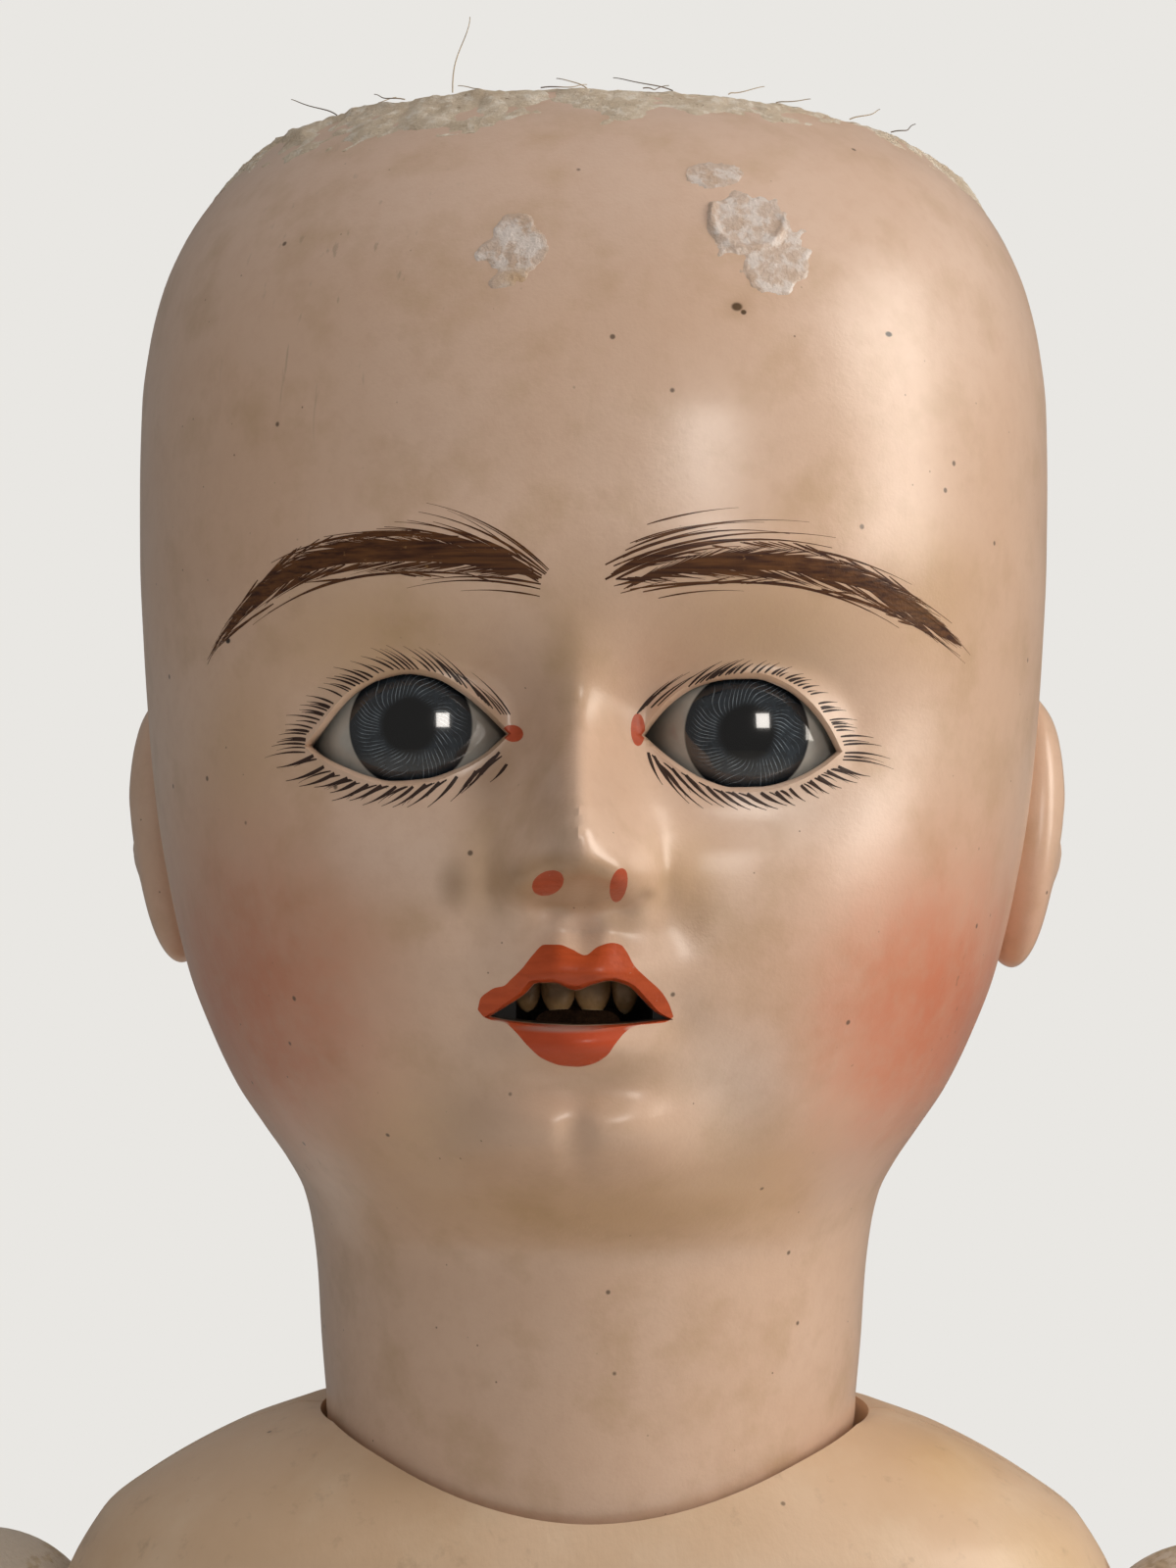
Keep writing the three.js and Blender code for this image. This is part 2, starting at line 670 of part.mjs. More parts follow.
function neckHook() {
  const above = button_top + hook_wire_radius + running_gap;
  const crook = 1.2 * hook_wire_diameter;
  const bend = [0.25, 0.5, 0.75].map((share) => {
    const turn = share * Math.PI;
    return [0, -hook_bend + hook_bend * Math.cos(turn), hook_level - hook_bend * Math.sin(turn)];
  });
  const points = [
    [0, button_radius / 2, above],
    [0, 1.6 * crook, above + crook / 2],
    [0, 0.5 * crook, above + crook],
    [0, 0, above],
    [0, 0, button_top - hook_wire_diameter],
    [0, 0, (above + hook_level) / 2],
    [0, 0, hook_level],
    ...bend,
    [0, -2 * hook_bend, hook_level],
    [0, -2 * hook_bend, hook_level + hook_bend],
  ];
  return wireAlong(points, hook_wire_diameter, 20);
}

function legElasticLoop() {
  const over = [0, 0.25, 0.5, 0.75, 1].map((share) => {
    const turn = share * Math.PI;
    return [hook_bend * Math.cos(turn), -hook_bend, hook_level - hook_bend + hook_bend * Math.sin(turn)];
  });
  const down = [hook_bend, -hook_bend, hook_foot];
  return wireAlong([down, ...over, [-down[0], down[1], down[2]]], elastic_diameter, 14);
}

// Torso. Rows of [drop as a share of its height, then half-width, front and back as shares of
// half its width and half its depth]
const torso_shares = [
  [0, 0.546, 0.576, 0.606],
  [0.0133, 0.667, 0.682, 0.712],
  [0.0411, 0.833, 0.812, 0.836],
  [0.0578, 0.904, 0.864, 0.879],
  [0.1078, 0.985, 0.964, 0.955],
  [0.1467, 1, 1, 0.982],
  [0.1911, 0.944, 1.018, 0.988],
  [0.2911, 0.83, 1, 0.933],
  [0.4244, 0.769, 0.964, 0.836],
  [0.4911, 0.765, 0.988, 0.83],
  [0.5578, 0.793, 1.036, 0.867],
  [0.6244, 0.833, 1.073, 0.939],
  [0.6911, 0.876, 1.073, 1.03],
  [0.7578, 0.904, 1.03, 1.103],
  [0.8133, 0.904, 0.958, 1.121],
  [0.8689, 0.87, 0.867, 1.091],
  [0.9133, 0.796, 0.758, 1],
  [0.98, 0.481, 0.394, 0.606],
  [0.9967, 0.259, 0.182, 0.303],
];
const torso_squareness = 2.2;
const hip_rise_share = 0.1255;
const neck_rise_share = 0.06;

const torso_top = hip_height + (1 - hip_rise_share) * torso_height;
const neck_pivot = torso_top + neck_rise_share * neck_radius;
const hip_drop = torso_top - hip_height;
// The shoulders stand out from the torso, as high as the arms' elastic passes under the neck
const shoulder_spacing = torso_width + 2 * shoulder_overhang;
const shoulder_drop = (1 - neck_rise_share) * neck_radius + elastic_radius + arm_elastic_gap;
const hip_radius = hip_ball_diameter / 2;
const shoulder_radius = shoulder_ball_diameter / 2;
const shoulderAt = (side) => [(side * shoulder_spacing) / 2, shoulder_setback, -shoulder_drop];
const hipAt = (side) => [(side * hip_spacing) / 2, 0, -hip_drop];
const neckCentre = [0, 0, neck_pivot - torso_top];

// The joint faces at a hip lean apart to the front, which lets the leg swing forward: the
// torso's face above the ball's centre and the thigh's below it, in radii of the thigh
const thigh_radius = thigh_diameter / 2;
const hip_face_shares = { torso: 0.615, thigh: -0.35, torso_lean: 0.51, thigh_lean: 0.39, side_lean: 0.3 };

function torsoSkin(inset, rows, around) {
  const shrink = 1 - (2 * inset) / torso_height;
  const rings = rows.map(([drop, across, front, back]) =>
    ringAt(
      -(0.5 + (drop - 0.5) * shrink) * torso_height,
      (across * torso_width) / 2 - inset,
      (front * torso_depth) / 2 - inset,
      (back * torso_depth) / 2 - inset,
      torso_squareness,
      around,
    ),
  );
  return skinOf(rings);
}

// The leg's elastic runs from the hip's centre up to the loop on the neck's hook
const legElasticTop = (side) => [
  side * hook_bend,
  -hook_bend,
  neckCentre[2] + hook_foot - elastic_radius,
];

function alongFrom(from, to, distance) {
  const start = new THREE.Vector3(...from);
  const direction = new THREE.Vector3(...to).sub(start).normalize();
  return start.addScaledVector(direction, distance).toArray();
}

function torsoShell() {
  const socket = (radius, centre) => socketBall(radius, centre, 14, 7);
  const thick = cup_wall + running_gap;
  const hipFace = (side, lift) => {
    const [x, y, z] = hipAt(side);
    const { torso, torso_lean, side_lean } = hip_face_shares;
    return beyond([x, y, z + torso * thigh_radius + lift], [side * side_lean, -torso_lean, -1]);
  };
  const cups = [
    socket(neck_radius + thick, neckCentre),
    ...[-1, 1].flatMap((side) => [
      socket(shoulder_radius + thick, shoulderAt(side)),
      socket(hip_radius + thick, hipAt(side)),
      hipFace(side, torso_wall),
    ]),
  ];
  const hollowRows = torso_shares.slice(2, -2).filter((_, i) => i % 2 === 0);
  const hollow = cut(torsoSkin(torso_wall, hollowRows, 14), ...cups);
  const cupFloor = neckCentre[2] - neck_radius - thick - 2 * cut_overrun;
  const holes = [-1, 1].flatMap((side) => {
    const [shoulder, hip] = [shoulderAt(side), hipAt(side)];
    const legDepth = hip_radius + thick + 2 * cut_overrun;
    return [
      rod(elastic_bore / 2, shoulder, [shoulder[0] / 2, shoulder[1], shoulder[2]], 10),
      rod(elastic_bore / 2, hip, alongFrom(hip, legElasticTop(side), legDepth), 10),
      socket(shoulder_radius, shoulder),
      socket(hip_radius, hip),
      hipFace(side, 0),
    ];
  });
  const neckHole = rod(cup_hole_diameter / 2, neckCentre, [0, 0, cupFloor], 16);
  const neckSocket = socket(neck_radius, neckCentre);
  return cut(torsoSkin(0, torso_shares, 22), hollow, neckSocket, neckHole, ...holes);
}

function armElasticAcross() {
  const [left, right] = [shoulderAt(1), shoulderAt(-1)];
  const knuckle = new THREE.SphereGeometry(elastic_radius, strand_sides, 4).translate(...right);
  return elastic(left, right).add(rod(elastic_radius, [0, ...right.slice(1)], right)).add(solidOf(knuckle));
}

function legElastic(side) {
  const top = legElasticTop(side);
  const hip = hipAt(side);
  const reachUp = new THREE.Vector3(...hip).distanceTo(new THREE.Vector3(...top));
  return elastic(hip, alongFrom(hip, top, reachUp + elastic_radius));
}

// A loose ball with a hole for the elastic that comes in, and a slot for the one that swings
function looseBall(radius, inwards, slot) {
  const far = new THREE.Vector3(...inwards).normalize().multiplyScalar(radius + cut_overrun).toArray();
  return cut(ball(radius), rod(elastic_bore / 2, [0, 0, 0], far, 8), slot);
}

const down = [0, 0, -1];
const forwards = [0, -1, 0];
const backwards = [0, 1, 0];
const right_angle = Math.PI / 2;

// Arm, hanging from the shoulder's centre
const upper_arm_shares = [
  [0, 1, 0],
  [0.16, 0.78, 0],
  [0.34, 0.4, 0.01],
  [0.58, 0.08, 0.02],
  [0.82, 0, 0],
  [1, 0, 0],
];
const forearm_shares = [
  [0, 1, 0],
  [0.2, 1.12, 0.02],
  [0.45, 0.8, 0.03],
  [0.75, 0.14, 0],
  [0.97, 0, 0],
];
const shoulder_face_share = 0.19;
const elbow_face_shares = { middle: 0.523, lean: 0.477 };

const elbow_ball_radius = elbow_ball_diameter / 2;
const elbow_radius = elbow_diameter / 2;
const wrist_ball_radius = wrist_ball_diameter / 2;

// A joint face across a limb at its ball: above the centre on the upper piece and below it on
// the lower one, leaning apart towards the side that the joint closes on
function jointFace(level, radius, { middle, lean }, upper, closesTo) {
  const way = upper ? 1 : -1;
  const point = [0, 0, level + way * middle * radius];
  return beyond(point, [0, closesTo * lean, -way]);
}

function shoulderBall(side) {
  const slot = slotFan(shoulder_radius, elastic_bore, down, [side, 0, 0], right_angle);
  return looseBall(shoulder_radius, [-side, 0, 0], slot);
}

function upperArm(side) {
  const whole = limb(upper_arm_shares, upper_arm_length, upper_arm_diameter / 2, elbow_radius);
  const faceDrop = shoulder_face_share * shoulder_radius;
  const shoulderFace = beyond([side * faceDrop * Math.SQRT1_2, 0, -faceDrop * Math.SQRT1_2], [-side, 0, 1]);
  return cut(
    whole,
    shoulderFace,
    socketBall(shoulder_radius),
    socketBall(elbow_ball_radius, [0, 0, -upper_arm_length]),
    jointFace(-upper_arm_length, elbow_radius, elbow_face_shares, true, -1),
    rod(elastic_bore / 2, [0, 0, 0], [0, 0, -upper_arm_length], 8),
  );
}

function elbowBall() {
  return looseBall(
    elbow_ball_radius,
    [0, 0, 1],
    slotFan(elbow_ball_radius, elastic_bore, down, forwards, right_angle),
  );
}

const hook_eye_radius = hook_wire_diameter * 1.1;
const knot_rise = elastic_radius + running_gap;
const wrist_hook_top = -forearm_length + wrist_ball_radius + 4 * hook_wire_diameter;

function forearm() {
  const whole = limb(forearm_shares, forearm_length, elbow_radius, wrist_diameter / 2);
  return cut(
    whole,
    socketBall(elbow_ball_radius),
    jointFace(0, elbow_radius, elbow_face_shares, false, -1),
    socketBall(wrist_ball_radius, [0, 0, -forearm_length]),
    beyond([0, 0, -forearm_length + wrist_ball_radius * 0.12], down),
    rod(elastic_bore / 2 + hook_wire_radius, [0, 0, 0], [0, 0, -forearm_length], 8),
  );
}

// A wire eye on a straight shank, for the end of an elastic
function eyeHook(top, bottom) {
  const wire = 0.3 * hook_wire_diameter;
  const ring = new THREE.TorusGeometry(hook_eye_radius - wire, wire, 4, 7);
  ring.rotateX(right_angle).translate(0, 0, top - hook_eye_radius);
  const shank = rod(wire, [0, 0, top - 2 * hook_eye_radius + wire], [0, 0, bottom]);
  return solidOf(ring).add(shank);
}

// A finger or thumb from its knuckle to its tip, bent a little
function digit(points, radius, sides = 5) {
  const widths = [1, 0.96, 0.84, 0.45];
  return skinOf(
    points.map(([x, y, z], i) => {
      const r = radius * widths[i];
      return ringAt(z, r, r, r, 2, sides).map((p) => p.add(new THREE.Vector3(x, y, 0)));
    }),
  );
}

// Hand rows: [drop as a share of its length, then width and thickness as shares of half of each]
const palm_shares = [
  [0.08, 0.62, 1.2],
  [0.2, 0.72, 1.1],
  [0.36, 0.94, 1],
  [0.52, 1, 0.9],
  [0.64, 0.93, 0.72],
];
const finger_shares = { start: 0.58, lengths: [0.34, 0.4, 0.37, 0.29], spread: 0.47, radius: 0.245 };

// The hand hangs with its palm to the body and its thumb to the front
function hand(side) {
  const [halfWidth, halfThick] = [hand_width / 2, hand_thickness / 2];
  const palm = skinOf(
    palm_shares.map(([drop, wide, thick]) =>
      ringAt(-drop * hand_length, thick * halfThick, wide * halfWidth, wide * halfWidth, 2.3, 8),
    ),
  );
  const fingers = finger_shares.lengths.map((length, i) => {
    const y = (i - 1.5) * finger_shares.spread * halfWidth;
    const curl = -side * halfThick;
    const points = [0, 0.45, 0.85, 1].map((t) => [
      curl * 0.55 * t * t,
      y * (1 + 0.1 * t),
      -(finger_shares.start + length * t) * hand_length,
    ]);
    return digit(points, finger_shares.radius * halfWidth);
  });
  const thumb = digit(
    [
      [0, -0.55 * halfWidth, -0.24 * hand_length],
      [-side * 0.25 * halfThick, -1.05 * halfWidth, -0.4 * hand_length],
      [-side * 0.45 * halfThick, -1.28 * halfWidth, -0.55 * hand_length],
      [-side * 0.5 * halfThick, -1.32 * halfWidth, -0.61 * hand_length],
    ],
    0.27 * halfWidth,
  );
  const shankHole = rod(
    hook_wire_radius * 0.6 + running_gap,
    [0, 0, wrist_ball_radius + cut_overrun],
    [0, 0, -wrist_ball_radius / 2],
  );
  return cut(joined(ball(wrist_ball_radius, 10, 6), palm, thumb, ...fingers), shankHole);
}

// Leg, hanging from the hip's centre
const thigh_shares = [
  [0, 1, 0],
  [0.18, 0.98, 0.02],
  [0.4, 0.78, 0.03],
  [0.65, 0.33, 0.01],
  [0.84, 0.06, 0],
  [1, 0, 0],
];
const shin_shares = [
  [0, 1, 0],
  [0.09, 1, 0.02],
  [0.22, 1.3, 0.12],
  [0.38, 1.35, 0.14],
  [0.55, 0.8, 0.08],
  [0.74, 0.14, 0.02],
  [0.92, 0.06, 0.05],
];
// Foot rows: [place from the ankle to the toes as a share of its length, half-width, height]
const foot_shares = [
  [-0.235, 0.34, 0.34],
  [-0.2, 0.66, 0.64],
  [-0.1, 0.78, 0.92],
  [0.06, 0.79, 0.97],
  [0.25, 0.84, 0.68],
  [0.43, 0.98, 0.5],
  [0.6, 1, 0.37],
  [0.7, 0.72, 0.25],
];
// Toes from the big one outwards: [place along, place across, radius] as shares of the foot
const toe_shares = [
  [0.7, -0.62, 0.3],
  [0.7, -0.16, 0.21],
  [0.685, 0.2, 0.2],
  [0.66, 0.52, 0.19],
  [0.625, 0.8, 0.18],
];
const knee_face_shares = { middle: 0.5, lean: 0.47 };
const knee_ball_radius = knee_ball_diameter / 2;
const knee_radius = knee_diameter / 2;
const shin_height = hip_height - thigh_length;
const shin_bore_depth = 0.42 * shin_height;
const leg_hook_top = -0.3 * shin_height;

function hipBall(side) {
  const upwards = new THREE.Vector3(...legElasticTop(side)).sub(new THREE.Vector3(...hipAt(side)));
  upwards.normalize();
  const ahead = [upwards.x, -1, upwards.y];
  const width = elastic_bore * 1.35;
  return cut(
    ball(hip_radius),
    slotFan(hip_radius, width, upwards.toArray(), ahead, right_angle),
    slotFan(hip_radius, elastic_bore, down, [side, 0, 0], right_angle / 2),
  );
}

function thigh(side) {
  const whole = limb(thigh_shares, thigh_length, thigh_radius, knee_radius);
  const { thigh: middle, thigh_lean, side_lean } = hip_face_shares;
  const hipFace = beyond([0, 0, middle * thigh_radius], [-side * side_lean, -thigh_lean, 1]);
  return cut(
    whole,
    hipFace,
    socketBall(hip_radius),
    socketBall(knee_ball_radius, [0, 0, -thigh_length]),
    jointFace(-thigh_length, knee_radius, knee_face_shares, true, 1),
    rod(elastic_bore / 2, [0, 0, 0], [0, 0, -thigh_length], 8),
  );
}

function kneeBall() {
  const slot = slotFan(knee_ball_radius, elastic_bore, down, backwards, right_angle);
  return looseBall(knee_ball_radius, [0, 0, 1], slot);
}

// The foot: cross-sections from the heel to the toes, with toes joined on
function foot(side) {
  const sections = foot_shares.map(([place, wide, high]) => {
    const [w, h] = [(wide * foot_width) / 2, high * foot_height];
    return ringAt(0, w, h * 0.66, h * 0.34 + cut_overrun, 2.5, 10).map(
      (p) => new THREE.Vector3(p.x, -place * foot_length, -shin_height + h * 0.34 - p.y),
    );
  });
  const toes = toe_shares.map(([place, across, size]) => {
    const r = (size * foot_width) / 2;
    const toe = new THREE.SphereGeometry(r, 6, 4).scale(0.95, 1.45, 1);
    return solidOf(toe.translate((side * across * foot_width) / 2, -place * foot_length, r - shin_height));
  });
  return joined(skinOf(sections), ...toes);
}

function lowerLeg(side) {
  const whole = limb(shin_shares, shin_height, knee_radius, ankle_diameter / 2);
  const shankHole = rod(
    hook_wire_radius * 0.6 + running_gap,
    [0, 0, -shin_bore_depth + cut_overrun],
    [0, 0, -shin_bore_depth - 4 * hook_wire_diameter],
  );
  return cut(
    joined(whole, foot(side)),
    beyond([0, 0, -shin_height], down),
    socketBall(knee_ball_radius),
    jointFace(0, knee_radius, knee_face_shares, false, 1),
    rod(elastic_bore / 2 + hook_wire_radius, [0, 0, 0], [0, 0, -shin_bore_depth], 8),
    shankHole,
  );
}

// Assembly
const sides = [
  [1, "left"],
  [-1, "right"],
];

function node(name, solid, material) {
  const mesh = new THREE.Mesh(geometryOf(solid), material.clone());
  mesh.name = name;
  return mesh;
}

function groupAt(place, ...children) {
  const group = new THREE.Group();
  group.position.set(...place);
  group.add(...children);
  return group;
}

function headGroup() {
  const eyes = sides.flatMap(([side, name]) => [
    node(`${name}_eye`, glassEye(side), glass),
    node(`${name}_eye_plug`, eyePlug(side), plaster),
    node(`${name}_eye_plaster`, eyePlaster(side), plaster),
  ]);
  return groupAt(
    [0, 0, neck_pivot - neck_level],
    node("head_shell", headShell(), bisque),
    node("upper_teeth", upperTeeth(), tooth_porcelain),
    ...eyes,
    node("rocker_wire", rockerWire(), steel),
    node("eye_weight", eyeWeight(), lead),
    node("eye_stop", eyeStop(), cork),
  );
}

function neckGroup() {
  return groupAt(
    [0, 0, neck_pivot],
    node("neck_button", neckButton(), bare_wood),
    node("neck_hook", neckHook(), steel),
    node("leg_elastic_loop", legElasticLoop(), rubber),
  );
}

function torsoGroup() {
  const shell = torsoShell();
  return groupAt(
    [0, 0, torso_top],
    node("torso_front", shell.subtract(beyond([0, 0, 0], backwards)), painted_pulp),
    node("torso_back", shell.subtract(beyond([0, 0, 0], forwards)), painted_pulp),
    node("arm_elastic_across", armElasticAcross(), rubber),
    node("left_leg_elastic", legElastic(1), rubber),
    node("right_leg_elastic", legElastic(-1), rubber),
  );
}

function armGroup(side, name) {
  const elbow = [0, 0, -upper_arm_length];
  const wrist = [0, 0, -forearm_length];
  const lower = groupAt(
    elbow,
    node(`${name}_elbow_ball`, elbowBall(), bare_wood),
    node(`${name}_forearm`, forearm(), painted_wood),
    node(`${name}_forearm_elastic`, elastic([0, 0, wrist_hook_top + knot_rise], [0, 0, 0]), rubber),
    node(`${name}_wrist_hook`, eyeHook(wrist_hook_top, -forearm_length), steel),
    groupAt(wrist, node(`${name}_hand`, hand(side), painted_wood)),
  );
  const [x, y, z] = shoulderAt(side);
  const arm = groupAt(
    [x, y, z + torso_top],
    node(`${name}_shoulder_ball`, shoulderBall(side), bare_wood),
    node(`${name}_upper_arm`, upperArm(side), painted_wood),
    node(`${name}_upper_arm_elastic`, elastic(elbow, [0, 0, 0]), rubber),
    lower,
  );
  arm.rotation.y = -side * arm_splay;
  return arm;
}

function legGroup(side, name) {
  const knee = [0, 0, -thigh_length];
  const lower = groupAt(
    knee,
    node(`${name}_knee_ball`, kneeBall(), bare_wood),
    node(`${name}_lower_leg`, lowerLeg(side), painted_wood),
    node(`${name}_shin_elastic`, elastic([0, 0, leg_hook_top + knot_rise], [0, 0, 0]), rubber),
    node(`${name}_leg_hook`, eyeHook(leg_hook_top, -shin_bore_depth - 3 * hook_wire_diameter), steel),
  );
  const [x, y, z] = hipAt(side);
  return groupAt(
    [x, y, z + torso_top],
    node(`${name}_hip_ball`, hipBall(side), bare_wood),
    node(`${name}_thigh`, thigh(side), painted_wood),
    node(`${name}_thigh_elastic`, elastic(knee, [0, 0, 0]), rubber),
    lower,
  );
}

const doll = new THREE.Group();
doll.add(headGroup(), neckGroup(), torsoGroup());
for (const [side, name] of sides) doll.add(armGroup(side, name), legGroup(side, name));

// The origin is under the middle of the doll
const extent = new THREE.Box3().setFromObject(doll);
doll.position.y = -(extent.min.y + extent.max.y) / 2;

export default doll;
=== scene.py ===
# %% [markdown]
# # A ball-jointed doll with a bisque head
#
# The doll has a hollow head of bisque porcelain on a body of pressed wood pulp and turned wood,
# all strung together with elastic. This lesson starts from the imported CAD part, which fixes every
# size and joint, and gives each piece the shape and finish that the eye expects of the old toy.
#
# Everything is measured in millimetres and turned into metres only when a mesh is made.

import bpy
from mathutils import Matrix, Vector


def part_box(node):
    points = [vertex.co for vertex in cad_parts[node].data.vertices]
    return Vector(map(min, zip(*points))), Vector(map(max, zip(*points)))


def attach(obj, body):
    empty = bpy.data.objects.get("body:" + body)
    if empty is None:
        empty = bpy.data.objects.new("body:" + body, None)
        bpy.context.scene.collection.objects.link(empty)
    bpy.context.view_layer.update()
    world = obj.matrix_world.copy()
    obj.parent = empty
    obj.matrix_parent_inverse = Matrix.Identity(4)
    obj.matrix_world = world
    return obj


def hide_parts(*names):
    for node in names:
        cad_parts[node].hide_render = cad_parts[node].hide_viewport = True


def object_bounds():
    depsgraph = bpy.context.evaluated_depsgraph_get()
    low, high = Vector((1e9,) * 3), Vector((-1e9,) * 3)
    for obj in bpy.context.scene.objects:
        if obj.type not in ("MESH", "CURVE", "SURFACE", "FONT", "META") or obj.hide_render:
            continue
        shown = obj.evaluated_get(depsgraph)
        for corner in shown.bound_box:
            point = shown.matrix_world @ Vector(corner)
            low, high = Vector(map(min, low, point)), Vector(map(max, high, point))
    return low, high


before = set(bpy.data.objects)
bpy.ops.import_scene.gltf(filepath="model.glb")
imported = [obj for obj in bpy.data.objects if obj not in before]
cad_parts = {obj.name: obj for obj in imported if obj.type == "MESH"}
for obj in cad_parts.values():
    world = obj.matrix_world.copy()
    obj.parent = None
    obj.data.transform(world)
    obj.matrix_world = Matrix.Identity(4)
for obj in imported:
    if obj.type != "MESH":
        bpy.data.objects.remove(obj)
cad_box = [list(corner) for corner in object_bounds()]

import math

import bmesh
import bpy
import numpy as np
from mathutils import Matrix, Vector

mm = 0.001
print("box of the part in metres:", cad_box)

# %% [markdown]
# ## Where the main joints are
#
# Blender must not move the part, so each new piece is measured from it. The plane in which the two
# torso halves meet gives the doll's middle from front to back. The eyes give the head's level 0.
# All other centres follow from the sizes that the part was drawn with.

# %% Centres of the joints
torso_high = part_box("torso_front")[1]
eye_low, eye_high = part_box("left_eye")
head_half = 45.0
eye_radius = 10.5
eye_shares = (0.319, 0.711, 0.093)
eye_aside, eye_depth, eye_level = (share * head_half for share in eye_shares)
seam_y = torso_high.y / mm
head_zero = (eye_low.z + eye_high.z) / 2 / mm - eye_level
neck_radius = 26.5
neck_pivot = head_zero - 1.333 * head_half
torso_top = neck_pivot - 0.06 * neck_radius
head_middle = (0, seam_y, head_zero)
sides = ((1, "left"), (-1, "right"))
print(f"seam y {seam_y:.2f}, head level 0 at {head_zero:.2f}, torso top at {torso_top:.2f} mm")

# %% [markdown]
# ## Small helpers
#
# A smooth table turns a few measured rows into a soft profile, the way a batten bends through
# pins. It never overshoots, so a cheek or a calf keeps its measured fullness.

# %% Smooth tables and packed stations
def smooth_table(rows):
    """Values between the rows of a table, by its first column."""
    rows = np.array(rows, float)
    levels, values = rows[:, 0], rows[:, 1:]
    slopes = np.diff(values, axis=0) / np.diff(levels)[:, None]
    product, total = slopes[:-1] * slopes[1:], slopes[:-1] + slopes[1:]
    inner = np.where(product > 0, 2 * product / np.where(product > 0, total, 1), 0)
    tangents = np.vstack([slopes[:1], inner, slopes[-1:]])

    def at(level):
        x = np.clip(np.asarray(level, float), levels[0], levels[-1])
        i = np.clip(np.searchsorted(levels, x) - 1, 0, len(levels) - 2)
        width = (levels[i + 1] - levels[i])[..., None]
        t = (x[..., None] - levels[i][..., None]) / width
        return (
            (2 * t**3 - 3 * t**2 + 1) * values[i]
            + (t**3 - 2 * t**2 + t) * width * tangents[i]
            + (3 * t**2 - 2 * t**3) * values[i + 1]
            + (t**3 - t**2) * width * tangents[i + 1]
        )

    return at


def soft_step(low, high, value):
    """0 below low, 1 above high and a soft curve between."""
    t = np.clip((value - low) / (high - low), 0, 1)
    return t * t * (3 - 2 * t)


def packed(start, end, count, weight):
    """count + 1 stations from start to end, closer together where weight is high."""
    fine = np.linspace(start, end, 2001)
    heavy = weight((fine[:-1] + fine[1:]) / 2)
    sums = np.concatenate([[0], np.cumsum(heavy)])
    return np.interp(np.linspace(0, sums[-1], count + 1), sums, fine)


def full_turn(count):
    """Angles once round, without the last one that repeats the first."""
    return np.linspace(0, 2 * np.pi, count, endpoint=False)


def xyz(x, y, z):
    """Points from three coordinates, each an array or one number."""
    return np.stack(np.broadcast_arrays(x, y, z), axis=-1)


def unit(vectors):
    """The same directions with length 1."""
    return vectors / np.linalg.norm(vectors, axis=-1, keepdims=True)


def towards(value, power):
    """A power that keeps its sign, for rounded-square outlines."""
    return np.sign(value) * np.abs(value) ** power


# %% Meshes from points in millimetres
def smoothed(piece, smooth_angle):
    """Shades a piece smoothly but for its edges that are sharper than an angle."""
    piece.data.shade_smooth()
    piece.data.set_sharp_from_angle(angle=math.radians(smooth_angle))
    return piece


def new_mesh(name, points, faces, smooth_angle=40):
    """An object whose mesh has these points in millimetres, smooth but for its sharp edges."""
    mesh = bpy.data.meshes.new(name)
    mesh.from_pydata((np.asarray(points, float) * mm).tolist(), [], [list(f) for f in faces])
    mesh.update()
    piece = bpy.data.objects.new(name, mesh)
    bpy.context.scene.collection.objects.link(piece)
    return smoothed(piece, smooth_angle)


def tube_faces(rings, sides):
    """Quads round a stack of rings that all have the same number of points."""
    k, i = np.meshgrid(np.arange(rings - 1), np.arange(sides), indexing="ij")
    a, b = k * sides + i, k * sides + (i + 1) % sides
    return np.stack([a, b, b + sides, a + sides], axis=-1).reshape(-1, 4)


def volume_of(points, triangles):
    """Volume inside closed triangles, negative where they face inwards."""
    a, b, c = (points[triangles[:, j]] for j in range(3))
    return np.einsum("ij,ij->i", a, np.cross(b, c)).sum() / 6


def ring_skin(name, rings, smooth_angle=40):
    """A closed skin over a stack of rings, with a fan of faces at each end."""
    rings = np.asarray(rings, float)
    count, sides = rings.shape[:2]
    points = np.vstack([rings.reshape(-1, 3), rings[0].mean(axis=0), rings[-1].mean(axis=0)])
    quads = tube_faces(count, sides)
    i = np.arange(sides)
    j, last = (i + 1) % sides, (count - 1) * sides
    low = np.stack([j, i, np.full(sides, count * sides)], axis=-1)
    high = np.stack([last + i, last + j, np.full(sides, count * sides + 1)], axis=-1)
    fans = np.vstack([low, high])
    if volume_of(points, np.vstack([quads[:, :3], quads[:, [0, 2, 3]], fans])) < 0:
        quads, fans = quads[:, ::-1], fans[:, ::-1]
    return new_mesh(name, points, quads.tolist() + fans.tolist(), smooth_angle)


def carve(piece, cutters, joins=()):
    """Joins solids to a piece and cuts others out of it, then drops them all."""
    for operation, others in (("UNION", joins), ("DIFFERENCE", cutters)):
        for other in others:
            step = piece.modifiers.new(operation.lower(), "BOOLEAN")
            step.operation = operation
            step.solver = "MANIFOLD"
            step.object = other
    bake(piece)
    for other in (*joins, *cutters):
        bpy.data.objects.remove(other)
    return piece


def bake(piece, smooth_angle=40):
    """Turns a piece and its modifiers into one plain mesh."""
    graph = bpy.context.evaluated_depsgraph_get()
    graph.update()
    mesh = bpy.data.meshes.new_from_object(piece.evaluated_get(graph))
    piece.modifiers.clear()
    piece.data = mesh
    return smoothed(piece, smooth_angle)


